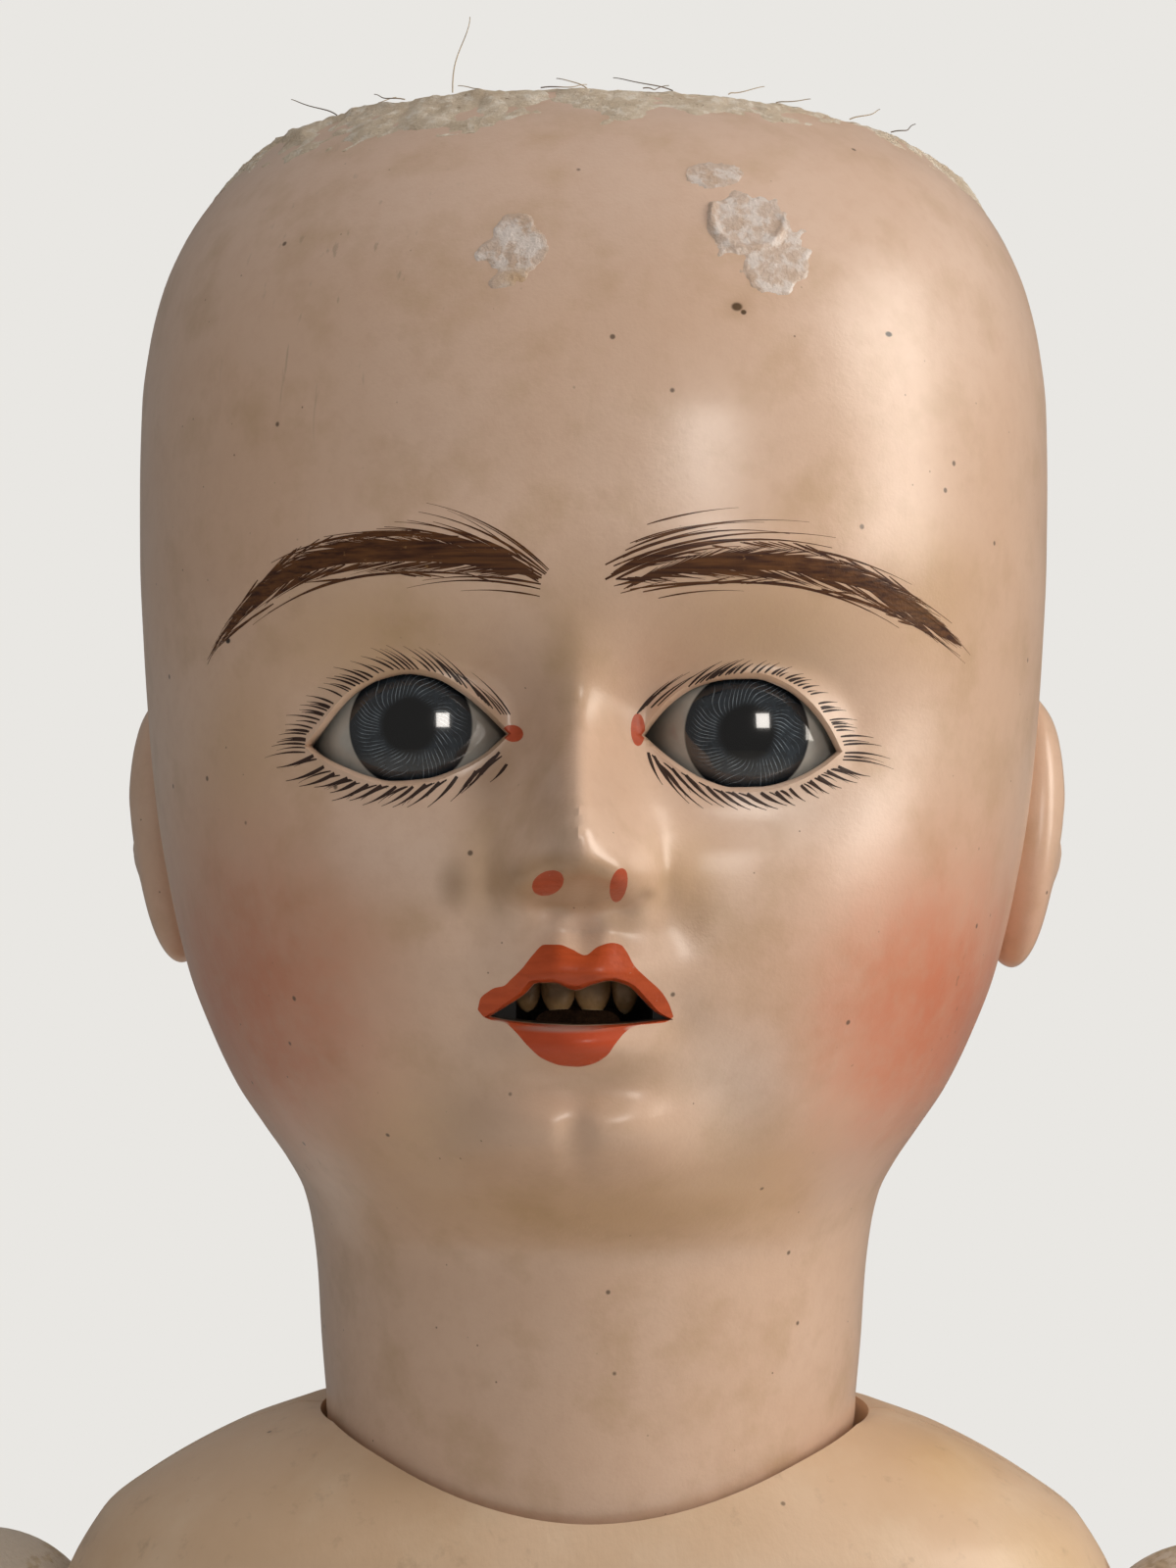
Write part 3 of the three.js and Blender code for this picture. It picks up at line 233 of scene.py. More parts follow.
def turned(points, axis, degrees):
    """Points turned about x (0), y (1) or z (2)."""
    c, s = math.cos(math.radians(degrees)), math.sin(math.radians(degrees))
    i, j = [(1, 2), (2, 0), (0, 1)][axis]
    moved = np.array(points, float)
    a, b = moved[..., i].copy(), moved[..., j].copy()
    moved[..., i], moved[..., j] = c * a - s * b, s * a + c * b
    return moved


# %% [markdown]
# ## Camera, light and floor
#
# The doll was seen from close by, a little over a forearm's length, from just below its eyes. The
# short distance makes the nose and lips large against the ears. A small window in front gives the
# sharp reflections, a tall one at the right the long highlight on nose and cheek, and three broad
# weak lamps stand for the room, its ceiling and the wall behind.

# %% Camera
def set_camera(distance, azimuth, elevation, roll, aim):
    """A camera round the middle of the head, with the long lens of a close portrait."""
    a, e = math.radians(azimuth), math.radians(elevation)
    centre = np.array([aim[0], seam_y, head_zero + aim[1]])
    back = np.array([math.sin(a) * math.cos(e), -math.cos(a) * math.cos(e), math.sin(e)])
    data = bpy.data.cameras.new("portrait_camera")
    data.lens, data.sensor_width = 68.85, 36
    data.clip_start, data.clip_end = 0.01, 50
    camera = bpy.data.objects.new("portrait_camera", data)
    camera.location = (centre + back * distance) * mm
    facing = Matrix.Rotation(a, 3, "Z") @ Matrix.Rotation(math.pi / 2 - e, 3, "X")
    camera.rotation_euler = (facing @ Matrix.Rotation(math.radians(roll), 3, "Z")).to_euler()
    bpy.context.scene.collection.objects.link(camera)
    bpy.context.scene.camera = camera
    return camera


camera = set_camera(distance=303.6, azimuth=2.0, elevation=-2.0, roll=0.3, aim=(-0.6, 0.8))
print("camera at", [round(v, 4) for v in camera.location])

# %% [markdown]
# ## Colours, nodes and light
#
# Colours are written as they look on a screen and turned to linear light. One function adds a node
# with its settings and links, so that a material reads as a recipe.

# %% Colour and node helpers
def linear(code):
    """A hex colour as linear red, green, blue and alpha."""
    values = [int(code[i : i + 2], 16) / 255 for i in (1, 3, 5)]
    return [v / 12.92 if v <= 0.04045 else ((v + 0.055) / 1.055) ** 2.4 for v in values] + [1.0]


def add(tree, kind, inputs=None, **settings):
    """Adds a node with its settings. An input takes a socket to link, a hex colour or a value."""
    node = tree.nodes.new(kind)
    for key, value in settings.items():
        setattr(node, key, value)
    for key, value in (inputs or {}).items():
        if isinstance(value, bpy.types.NodeSocket):
            tree.links.new(value, node.inputs[key])
        else:
            is_colour = isinstance(value, str) and value.startswith("#")
            node.inputs[key].default_value = linear(value) if is_colour else value
    return node


def coordinates(tree, centre):
    """Object coordinates in millimetres from a centre that is given in millimetres."""
    place = add(tree, "ShaderNodeTexCoord").outputs["Object"]
    inputs = {"Vector": place, "Location": [-v for v in centre], "Scale": (1000, 1000, 1000)}
    return add(tree, "ShaderNodeMapping", inputs).outputs[0]


def new_material(name, centre=head_middle):
    """An empty material, and the socket of its coordinates from a centre."""
    material = bpy.data.materials.new(name)
    material.use_nodes = True
    material.node_tree.nodes.clear()
    return material, coordinates(material.node_tree, centre)


# %% Window light, fill and sky
def area_light(name, away, width, height, watts, tint="#fff8f0", mirrored=False):
    """A rectangular lamp, away in millimetres from the middle of the head and turned to it."""
    data = bpy.data.lights.new(name, "AREA")
    data.shape, data.size, data.size_y = "RECTANGLE", width * mm, height * mm
    data.energy, data.color = watts, linear(tint)[:3]
    lamp = bpy.data.objects.new(name, data)
    lamp.visible_glossy = mirrored
    place = Vector([a + b for a, b in zip(away, head_middle)])
    lamp.location = place * mm
    lamp.rotation_euler = (Vector(head_middle) - place).to_track_quat("-Z", "Y").to_euler()
    bpy.context.scene.collection.objects.link(lamp)


area_light("window", (205, -550, 110), 125, 135, 0.62, mirrored=True)
area_light("side_window", (700, -180, 230), 340, 620, 3.9, "#fff5e9", True)
area_light("room_fill", (-620, -800, 120), 900, 900, 0.6)
area_light("ceiling", (60, -150, 1000), 1200, 1200, 4.0, "#fffaf4")
area_light("back_fill", (-350, 900, 100), 900, 900, 1.6)

world = bpy.data.worlds.new("pale_room")
bpy.context.scene.world = world
world.use_nodes = True
sky = world.node_tree
sky.nodes.clear()
path = add(sky, "ShaderNodeLightPath").outputs
seen = {0: path["Is Camera Ray"], 1: path["Is Transmission Ray"]}
direct = add(sky, "ShaderNodeMath", seen, operation="MAXIMUM").outputs[0]
dim = add(sky, "ShaderNodeBackground", {"Color": "#f7f3ee", "Strength": 0.19}).outputs[0]
pale = add(sky, "ShaderNodeBackground", {"Color": "#e9e7e3", "Strength": 1.0}).outputs[0]
mixed = add(sky, "ShaderNodeMixShader", {0: direct, 1: dim, 2: pale}).outputs[0]
add(sky, "ShaderNodeOutputWorld", {"Surface": mixed})
bpy.context.scene.view_settings.view_transform = "Standard"
print("five lamps and a pale sky")

# %% [markdown]
# ## The head
#
# The real head was cast: liquid porcelain clay filled a plaster mould, dried against its walls and
# was poured out again, which left an even hollow shell. It could be sculpted by hand here, but the
# CAD part already has the head as a table of rings with soft swellings on it. The same tables are
# sampled far more finely, and the small forms that a mould gives are added: lids, nostrils, the
# groove over the lip and the cleft in the chin.

# %% The head's measured shares
# Level, half-width, front, back and squareness, as shares of half the head's width
neck_share = neck_radius / head_half
head_profile = smooth_table([
    [-1.333, neck_share, neck_share, neck_share, 2],
    [-1.2, 1.02 * neck_share, 1.026 * neck_share, 1.02 * neck_share, 2],
    [-1.067, 1.034 * neck_share, 1.064 * neck_share, 1.034 * neck_share, 2],
    [-0.956, 0.622, 0.667, 0.62, 2.03], [-0.878, 0.64, 0.724, 0.633, 2.06],
    [-0.811, 0.673, 0.8, 0.653, 2.1], [-0.733, 0.724, 0.876, 0.68, 2.15],
    [-0.644, 0.782, 0.924, 0.724, 2.2], [-0.533, 0.836, 0.96, 0.796, 2.22],
    [-0.4, 0.887, 0.984, 0.889, 2.25], [-0.222, 0.931, 1.004, 1.011, 2.25],
    [-0.044, 0.962, 1.022, 1.102, 2.25], [0.133, 0.98, 1.049, 1.16, 2.25],
    [0.311, 0.991, 1.084, 1.196, 2.27], [0.489, 0.998, 1.109, 1.209, 2.3],
    [0.667, 1, 1.109, 1.2, 2.3], [0.822, 0.998, 1.089, 1.173, 2.3],
    [0.956, 0.984, 1.049, 1.129, 2.3], [1.067, 0.96, 1, 1.067, 2.3],
    [1.178, 0.918, 0.924, 0.978, 2.28], [1.267, 0.867, 0.844, 0.889, 2.25],
    [1.333, 0.818, 0.767, 0.811, 2.2], [1.4, 0.756, 0.667, 0.711, 2.2],
    [1.467, 0.678, 0.589, 0.6, 2.2],
])
# Level, height of the nose's ridge and half-width of the ridge
nose_profile = smooth_table([
    [-0.296, 0, 0.1], [-0.254, 0.036, 0.104], [-0.222, 0.102, 0.107], [-0.191, 0.173, 0.107],
    [-0.156, 0.218, 0.104], [-0.118, 0.231, 0.1], [-0.074, 0.207, 0.091], [-0.018, 0.156, 0.08],
    [0.049, 0.102, 0.073], [0.115, 0.058, 0.071], [0.182, 0.027, 0.067], [0.249, 0.009, 0.067],
    [0.315, 0, 0.067],
])
# Paired swellings and hollows: aside, level, spread across, spread up, rise
main_forms = [
    (0.278, 0.133, 0.244, 0.167, -0.102), (0.151, 0.115, 0.093, 0.122, -0.058),
    (0.467, -0.289, 0.267, 0.244, 0.036), (0, -0.425, 0.244, 0.167, 0.053),
    (0, -0.367, 0.122, 0.044, 0.036), (0, -0.514, 0.116, 0.044, 0.042),
    (0, -0.604, 0.178, 0.049, -0.022), (0, -0.697, 0.167, 0.098, 0.08),
    (0, -0.702, 0.031, 0.053, -0.011), (0.356, 0.378, 0.267, 0.111, 0.018),
]
# Forms of the nose and the lip below it, in mm. They were pressed a little to one side in the mould
nose_aside = 0.8
nose_forms = [
    (3.2, -11.3, 1.5, 1.0, -1.1), (0, -13.6, 1.1, 2.0, -0.5), (2.1, -14.4, 1.0, 2.2, 0.35),
]
# Small forms that only a close look shows, in millimetres: the lip's rolled edges, the hollows
# beside the nose and mouth, the fold under each eye and the swellings of the chin
close_forms = [
    (4.6, -8.9, 2.4, 2.7, 3.3), (7.7, -8.9, 1.1, 3.0, -0.7), (2.6, -17.2, 1.8, 0.8, 0.35),
    (0, -23.3, 4.6, 1.3, 0.55), (9.4, -21.3, 2.2, 2.6, -0.6), (9.2, -13.0, 2.2, 3.6, -0.45),
    (14.6, -4.0, 7.0, 1.6, -0.35), (6.2, -30.6, 3.6, 4.2, 1.15), (0, -32.2, 1.4, 2.8, -0.6),
    (13.8, -29.0, 4.0, 6.0, -0.95), (9.0, -43.8, 16, 2.4, -0.8), (9.0, -38.6, 14, 2.8, 0.6),
]


# %% The face as a depth over its width and height
def paired_bump(x, z, form):
    """A soft swelling that appears on both sides of the middle."""
    aside, level, across, up, rise = form
    # A softened |x| leaves no crease between the two swellings
    away = np.sqrt(x * x + (0.3 * aside) ** 2)
    return rise * np.exp(-(((away - aside) / across) ** 2) - ((z - level) / up) ** 2)


def face_relief(x, z):
    """How far the face stands out from the plain egg of the head, in shares."""
    ridge, width = np.moveaxis(nose_profile(z), -1, 0)
    beside = x - nose_aside / head_half * np.exp(-(((z * head_half + 9) / 10) ** 2))
    relief = ridge * np.exp(-(np.abs(beside / width) ** 1.75))
    in_mm = head_half
    for forms, aside, scale in ((nose_forms, beside, in_mm), (main_forms, x, 1), (close_forms, x, in_mm)):
        for form in forms:
            relief = relief + paired_bump(aside * scale, z * scale, form) / scale
    return relief


def over_eyelid(depth, x, z):
    """The lids swell over the eyeball: the larger of two depths with a soft join."""
    lid = (eye_radius + 1.7) / head_half
    inside = lid**2 - (np.abs(x) - eye_shares[0]) ** 2 - (z - eye_shares[2]) ** 2
    bulge = eye_shares[1] + np.sqrt(np.maximum(inside, 0))
    blend = 0.03
    h = np.maximum(blend - np.abs(depth - bulge), 0) / blend
    return np.where(inside > 0, np.maximum(depth, bulge) + h * h * blend / 4, depth)


def head_point(turn, level, wall=0.0):
    """Points of the head by their turn round it, 0 at the front, and their level, in mm."""
    z = level / head_half
    across, front, back, square = np.moveaxis(head_profile(z), -1, 0)
    thin = wall / head_half
    x = (across - thin) * towards(np.sin(turn), 2 / square)
    plain = towards(np.cos(turn), 2 / square)
    face = soft_step(0.12, 0.42, np.cos(turn))
    if wall:
        relief = sum(paired_bump(x, z, form) for form in main_forms[:2])
    else:
        relief = face_relief(x, z)
    ahead = (front - thin) * plain + face * relief
    if not wall:
        ahead = over_eyelid(ahead, x, z)
    y = np.where(plain > 0, -ahead, -(back - thin) * plain)
    return xyz(x * head_half, y * head_half, level + 0 * x)


def on_face(x, z):
    """The front of the head over a place (x, z) in mm, as points."""
    across, _, _, square = np.moveaxis(head_profile(np.asarray(z) / head_half), -1, 0)
    sine = np.clip(np.abs(np.asarray(x) / head_half / across), 0, 0.9999) ** (square / 2)
    return head_point(np.sign(x) * np.arcsin(sine), np.asarray(z, float))


def face_normal(x, z):
    """Outward directions of the face over places (x, z) in mm."""
    step = 0.15
    dx = on_face(x + step, z) - on_face(x - step, z)
    dz = on_face(x, z + step) - on_face(x, z - step)
    return unit(np.cross(dx, dz))


def to_doll(points):
    """Points of the head moved to their place in the doll, in mm."""
    return np.asarray(points, float) + [0, seam_y, head_zero]


# %% Skins of the head
def head_skin(name, around, up, wall):
    """The head from its round neck end up to the crown, closed at both ends."""
    turns = packed(-np.pi, np.pi, around, lambda t: 1 + 3.2 * np.exp(-((t / 0.62) ** 2)))[:-1]

    def face_share(level):
        share = level / head_half
        return 1 + 2.6 * soft_step(-0.95, -0.7, share) * soft_step(0.6, 0.35, share)

    levels = packed(-1.333 * head_half, 1.467 * head_half, up, face_share)
    radius = neck_radius - wall
    hole = math.asin(7.5 / radius)
    rings = []
    for angle in np.linspace(hole, np.pi / 2, max(up // 10, 6))[:-1]:
        r, z = radius * math.sin(angle), -1.333 * head_half - radius * math.cos(angle)
        rings.append(xyz(r * np.sin(turns), -r * np.cos(turns), z))
    for level in levels:
        rings.append(head_point(turns, np.full_like(turns, level), wall))
    return ring_skin(name, to_doll(rings))


def unit_ball(around, up, end=0.4995):
    """Rings of points on a ball of radius 1, from just over one pole to just under the other."""
    turn = full_turn(around)[None, :]
    rise = np.linspace(-end, end, up)[:, None] * np.pi
    return xyz(np.cos(rise) * np.cos(turn), np.cos(rise) * np.sin(turn), np.sin(rise) + 0 * turn)


def ear(side):
    """An ear: a flat egg that stands out at the back, with a rim, a fold, a bowl and a lobe."""
    out, along, tall = np.moveaxis(unit_ball(72, 56, 0.4999), -1, 0)
    thick, wide, high = 0.09 * head_half, 0.185 * head_half, 0.32 * head_half
    reach = np.sqrt((along / (0.93 + 0.14 * tall)) ** 2 + tall**2)
    face = np.clip(out, 0, 1)
    rim = np.exp(-(((reach - 0.87) / 0.11) ** 2)) * soft_step(-0.75, -0.2, tall + 0.5 * along)
    groove = np.exp(-(((reach - 0.66) / 0.1) ** 2)) * soft_step(-0.6, 0.0, tall + 0.4 * along)
    fold = np.exp(-(((reach - 0.47) / 0.1) ** 2)) * soft_step(-0.3, 0.3, tall + along)
    bowl = np.exp(-(((along + 0.12) / 0.33) ** 2) - ((tall + 0.16) / 0.34) ** 2)
    notch = np.exp(-(((along + 0.46) / 0.16) ** 2) - ((tall + 0.2) / 0.2) ** 2)
    carved = 0.25 * rim - 0.45 * groove + 0.12 * fold - 0.95 * bowl + 0.5 * notch - 0.12
    egg = xyz(thick * (out + face * carved), wide * along, high * tall)
    egg[..., 1] *= 0.93 + 0.14 * tall
    for axis, degrees in enumerate((-8.5, 5.0, 17.0)):
        egg = turned(egg, axis, degrees)
    egg = egg + np.array([0.96, 0.15, -0.075]) * head_half
    egg[..., 0] *= side
    return ring_skin(f"ear_{side}", to_doll(egg))


def opening(outline, widths, name):
    """A cutter for an opening in the face, flared so that the edge of the wall is rounded."""
    outline = np.asarray(outline, float)
    away = unit(outline - outline.mean(axis=0))
    rings = []
    for depth, wider in widths:
        edge = outline + away * wider
        skin = on_face(edge[:, 0], edge[:, 1])
        skin[:, 1] += depth
        rings.append(skin)
    return ring_skin(name, to_doll(rings))


eyelid_lines = {
    -1: (
        [[-23.84, 2.74], [-22.66, 3.96], [-21.29, 5.56], [-19.46, 7.29], [-17.4, 8.4], [-14.86, 8.9],
         [-12.6, 8.52], [-10.34, 7.29], [-8.36, 5.69], [-6.39, 3.74]],
        [[-23.84, 2.74], [-22.67, 1.82], [-20.49, 0.76], [-18.38, -0.02], [-16.31, -0.48], [-13.28, -0.27],
         [-10.3, 0.76], [-8.34, 1.92], [-6.39, 3.74]],
    ),
    1: (
        [[5.74, 3.65], [6.87, 5.16], [8.38, 6.64], [10.38, 7.86], [12.87, 8.47], [15.37, 8.55],
         [17.87, 7.74], [19.89, 6.27], [21.43, 4.44], [22.61, 2.36]],
        [[5.74, 3.65], [7.14, 2.38], [9.15, 0.84], [10.91, -0.17], [13.41, -0.91], [15.9, -0.85],
         [18.41, -0.24], [20.94, 1.05], [22.61, 2.36]],
    ),
}


def between_lines(upper, lower, steps):
    """A closed outline between an upper and a lower line, both rows of [x, z] in mm."""
    start, end = upper[0][0], upper[-1][0]
    x = start + (end - start) * (1 - np.cos(np.linspace(0, np.pi, steps))) / 2
    low = np.stack([x, smooth_table(lower)(x)[:, 0]], axis=-1)
    high = np.stack([x, smooth_table(upper)(x)[:, 0]], axis=-1)[::-1]
    return np.vstack([low, high[1:-1]])


mouth_upper = [
    [-7.5, -20.9], [-6.06, -20.02], [-4.35, -18.89], [-3.23, -17.86], [-1.79, -17.85], [0.04, -18.51],
    [1.55, -17.99], [2.97, -17.65], [4.47, -18.08], [5.72, -19.26], [6.81, -20.37], [7.98, -21],
]
mouth_lower = [
    [-7.5, -20.9], [-5.63, -21.2], [-3.04, -21.4], [0.34, -21.5], [3.65, -21.4], [6.14, -21.2],
    [7.98, -21],
]


def ball_solid(name, radius, centre, around=64, up=40):
    """A ball in mm, for a piece or for a socket."""
    return ring_skin(name, unit_ball(around, up) * radius + np.asarray(centre, float))


def beyond(name, point, normal, size=420):
    """A big block that starts at a plane and fills the side that its normal points to."""
    away = Vector(normal).normalized()
    turn = away.to_track_quat("Z", "Y").to_matrix()
    square = np.array([[-1, -1], [1, -1], [1, 1], [-1, 1]]) * size / 2
    rings = []
    for lift in (0, size):
        flat = np.hstack([square, np.full((4, 1), lift)])
        rings.append(flat @ np.array(turn.transposed()) + np.asarray(point, float))
    return ring_skin(name, rings)


def rod(name, radius, start, end, sides=32):
    """A round bar in mm, for a bore or a pin."""
    start, end = np.asarray(start, float), np.asarray(end, float)
    turn = Vector(end - start).normalized().to_track_quat("Z", "Y").to_matrix()
    angles = full_turn(sides)
    circle = xyz(np.cos(angles), np.sin(angles), 0) * radius @ np.array(turn.transposed())
    return ring_skin(name, [circle + start, circle + end])


# %% Cast the head and open it
# The crown's cut falls to the back and a little to the doll's left
crown_level, crown_slope, crown_lean = 1.285 * head_half, 0.2, 0.02
eye_centres = {side: np.array([side * eye_aside, -eye_depth, eye_level]) for side in (1, -1)}
head_shell = head_skin("bisque_head", 300, 236, 0.0)
lid_edge = [(-6, 0.75), (-0.6, 0.75), (-0.05, 0.5), (0.35, 0.2), (0.9, 0.0), (9, 0.0)]
lip_edge = [(-6, 0.7), (-0.5, 0.7), (0.0, 0.45), (0.5, 0.15), (1.1, 0.0), (7, 0.0)]
cutters = [
    head_skin("inside", 90, 70, 3.4),
    rod("neck_hole", 7.5, (0, seam_y, neck_pivot - 30), (0, seam_y, neck_pivot - 14)),
    beyond("crown", (0, seam_y, head_zero + crown_level), (crown_lean, crown_slope, 1)),
    opening(between_lines(mouth_upper, mouth_lower, 60), lip_edge, "mouth_opening"),
]
for side, centre in eye_centres.items():
    cutters.append(ball_solid("eye_pocket", eye_radius + 0.35, to_doll(centre)))
    cutters.append(opening(between_lines(*eyelid_lines[side], 48), lid_edge, "eye_opening"))
carve(head_shell, cutters, joins=[ear(1), ear(-1)])


def mark_inside(piece):
    """Stores 1 on the points of a head's inner wall, for the dust and the painted shade there."""
    mesh = piece.data
    place = np.array([v.co for v in mesh.vertices]) / mm - [0, seam_y, head_zero]
    normal = np.array([v.vector for v in mesh.vertex_normals])
    across, front, back, square = np.moveaxis(head_profile(place[:, 2] / head_half), -1, 0)
    depth = np.where(place[:, 1] < 0, front, back) * head_half
    fullness = (np.abs(place[:, 0]) / across / head_half) ** square + (np.abs(place[:, 1]) / depth) ** square
    facing = (normal[:, :2] * place[:, :2]).sum(axis=1) / np.linalg.norm(place[:, :2], axis=1)
    inside = ((facing < -0.1) & (fullness < 0.92)).astype(np.float32)
    mesh.attributes.new("inner_wall", "FLOAT", "POINT").data.foreach_set("value", inside)
    return inside.sum()


print("points on the inner wall:", mark_inside(head_shell))
print("bisque_head:", len(head_shell.data.polygons), "faces")

# %% [markdown]
# ## Tinted bisque
#
# Bisque is porcelain fired without a glaze. Its skin tone is fired in, so it looks like soft stone
# with a satin sheen. The cheeks are blushed with dabbed china paint. A century of handling has left
# yellow stains in the hollows, a rubbed shine, fine scratches and dark specks. Some marks are painted
# light: painted shade under the chin, under and beside the nose, in the mouth and inside the head,
# and painted highlights that make the right temple, the cheeks and the chin paler. All of these are
# masks over Object coordinates, measured in millimetres from the middle of the head. A socket knows
# its node tree as id_data, so masks and tints are built from sockets alone.

# %% Masks, tints and the dressing of a piece
def overlap(mask, *others):
    """Where masks overlap: their product. Each is a socket or a number."""
    for other in others:
        both = {0: mask, 1: other}
        mask = add(mask.id_data, "ShaderNodeMath", both, operation="MULTIPLY", use_clamp=True).outputs[0]
    return mask


def band(value, *edges, smooth=False):
    """1 where a value has passed each pair of edges, from its first to its second, and 0 before."""
    kind, masks = "SMOOTHSTEP" if smooth else "LINEAR", []
    for start, end in edges:
        inputs = {"Value": value, "From Min": start, "From Max": end}
        masks.append(add(value.id_data, "ShaderNodeMapRange", inputs, interpolation_type=kind).outputs[0])
    return overlap(*masks)


def spot(place, centre, radii, hard=0.0):
    """1 at a centre and 0 beyond its radii in millimetres, soft between."""
    tree = place.id_data
    offset = add(tree, "ShaderNodeVectorMath", {0: place, 1: centre}, operation="SUBTRACT").outputs[0]
    shares = add(tree, "ShaderNodeVectorMath", {0: offset, 1: radii}, operation="DIVIDE").outputs[0]
    reach = add(tree, "ShaderNodeVectorMath", {0: shares}, operation="LENGTH").outputs["Value"]
    inputs = {"Value": reach, "From Min": 1.0, "From Max": hard, "To Min": 0.0, "To Max": 1.0}
    return add(tree, "ShaderNodeMapRange", inputs, interpolation_type="SMOOTHSTEP").outputs[0]


def noise(place, size, detail=3.0, rough=0.55, low=0.35, high=0.65):
    """Smooth random patches of a size in millimetres, as values from 0 to 1."""
    inputs = {"Vector": place, "Scale": 1.0 / size, "Detail": detail, "Roughness": rough}
    cloud = add(place.id_data, "ShaderNodeTexNoise", inputs, noise_dimensions="3D").outputs[0]
    return band(cloud, (low, high))


def specked(place, size, edges, rare, channel=0):
    """Dots in the rarer cells of a size in millimetres, by the distance from each cell's middle."""
    inputs = {"Vector": place, "Scale": 1 / size, "Randomness": 1.0}
    tree = place.id_data
    cells = add(tree, "ShaderNodeTexVoronoi", inputs).outputs
    draw = add(tree, "ShaderNodeSeparateColor", {0: cells["Color"]}).outputs[channel]
    chosen = add(tree, "ShaderNodeMath", {0: draw, 1: rare}, operation="GREATER_THAN", use_clamp=True)
    return overlap(band(cells["Distance"], edges), chosen.outputs[0])


def tinted(colour, *coats):
    """A colour, a socket or a hex code, under coats of (tint, mask) or (tint, mask, strength)."""
    for tint, mask, *strength in coats:
        inputs = {0: overlap(mask, *strength), 6: colour, 7: tint}
        colour = add(mask.id_data, "ShaderNodeMix", inputs, data_type="RGBA").outputs[2]
    return colour


def stained(place, colour, *marks):
    """A colour with soft marks of (centre, radii, tint, strength) and perhaps a hardness."""
    for centre, radii, tint, strength, *hard in marks:
        coat = (tint, spot(place, centre, radii, *hard), strength)
        colour = tinted(colour, coat if strength else coat[:2])
    return colour


def surface(colour, roughness, height=None, depth=0.1, **values):
    """A principled shader with a colour, a roughness and a bump whose depth is in millimetres."""
    tree = colour.id_data
    inputs = {"Base Color": colour, "Roughness": roughness}
    inputs.update({key.replace("_", " "): value for key, value in values.items()})
    if height is not None:
        bump = {"Height": height, "Strength": 1.0, "Distance": depth * mm}
        inputs["Normal"] = add(tree, "ShaderNodeBump", bump).outputs[0]
    shader = add(tree, "ShaderNodeBsdfPrincipled", inputs).outputs[0]
    return add(tree, "ShaderNodeOutputMaterial", {"Surface": shader})


def dress(piece, material, body, slot, *nodes):
    """Gives a piece its material and the body it moves with, and hides the CAD parts it stands for; slot is
    not used.
    """
    piece.data.materials.clear()
    piece.data.materials.append(material)
    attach(piece, body)
    if nodes:
        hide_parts(*nodes)
    print(f"{piece.name}: {len(piece.data.polygons)} faces, rides on {body}")


# %% Material: tinted bisque
# Marks on the skin: centre, radii, tint and strength. The first are shellac and grease that have
# yellowed in the hollows round the eyes, beside the nose and at the jaw; the broad yellow-brown band
# under the chin is painted shade
yellow = "#c09a68"
yellow_stain_and_chin_shade_marks = [
    ((-17, -24, 12), (15, 20, 9), yellow, 0.62), ((17, -24, 13), (15, 20, 8), yellow, 0.5),
    ((9.5, -24, -9), (6, 20, 7), yellow, 0.5), ((-8, -24, -8), (5, 20, 7), yellow, 0.45),
    ((31, -20, 16), (8, 20, 10), yellow, 0.45), ((0, -24, 12), (6, 20, 9), yellow, 0.3),
    # The broad band under the chin, at (3, -22, -39), is painted shade
    ((-15, -22, -31), (11, 20, 11), yellow, 0.42), ((3, -22, -39), (28, 20, 6), yellow, 0.55),
    ((16, -22, -34), (9, 20, 8), yellow, 0.35), ((-30, -20, 2), (8, 20, 12), yellow, 0.35),
]
# Painted highlights: the right temple, both cheeks and the right of the chin are painted paler where light
# falls
pale = "#ead9cd"
painted_highlight_marks = [
    ((34, -18, 46), (22, 25, 26), pale, 0.15), ((14, -26, -27), (9, 20, 8), pale, 0.4),
    ((20, -26, -3), (12, 20, 6), pale, 0.4), ((-17, -26, -7), (11, 20, 7), pale, 0.3),
]
# Dabbed blush, strongest low on the outside of each cheek
blushes = [
    ((-30, -14, -19), (24, 40, 24), "#cb8262", 0.75), ((-29, -18, -22), (17, 34, 18), "#c8704a", 0.5),
    ((33, -12, -21), (25, 40, 26), "#cf8260", 0.85), ((32, -18, -22), (17, 34, 18), "#cf6a42", 0.6),
]
# Painted shade: the underside of the nose is painted tan, and the left side of the nose and the creases by
# the wings darker
nose_shade = "#7c5f3f"
nose_shade_marks = [
    ((-0.3, -28, -9.2), (7.6, 14, 3.4), "#a98258", 0.6, 0.55),
    ((-7.5, -24, 1), (4.0, 20, 9), nose_shade, 0.5), ((6.2, -24, -10.2), (1.3, 20, 1.0), nose_shade, 0.5),
    ((-10.6, -24, -9.5), (2.2, 20, 3.4), nose_shade, 0.5),
]
# A pit through to dark clay with its halo, and nicks
clay = ("#2a1c14", None, 0.55)
pit_marks = [
    ((13.63, -24, 40.27), (0.62, 20, 0.5), *clay), ((14.2, -24, 39.8), (0.32, 20, 0.3), *clay),
    ((27.0, -24, 38.9), (0.38, 20, 0.3), *clay), ((-31.6, -20, 12.2), (0.3, 20, 0.3), *clay),
    ((13.8, -24, 40.2), (2.0, 20, 1.7), "#9a7447", 0.35),
]


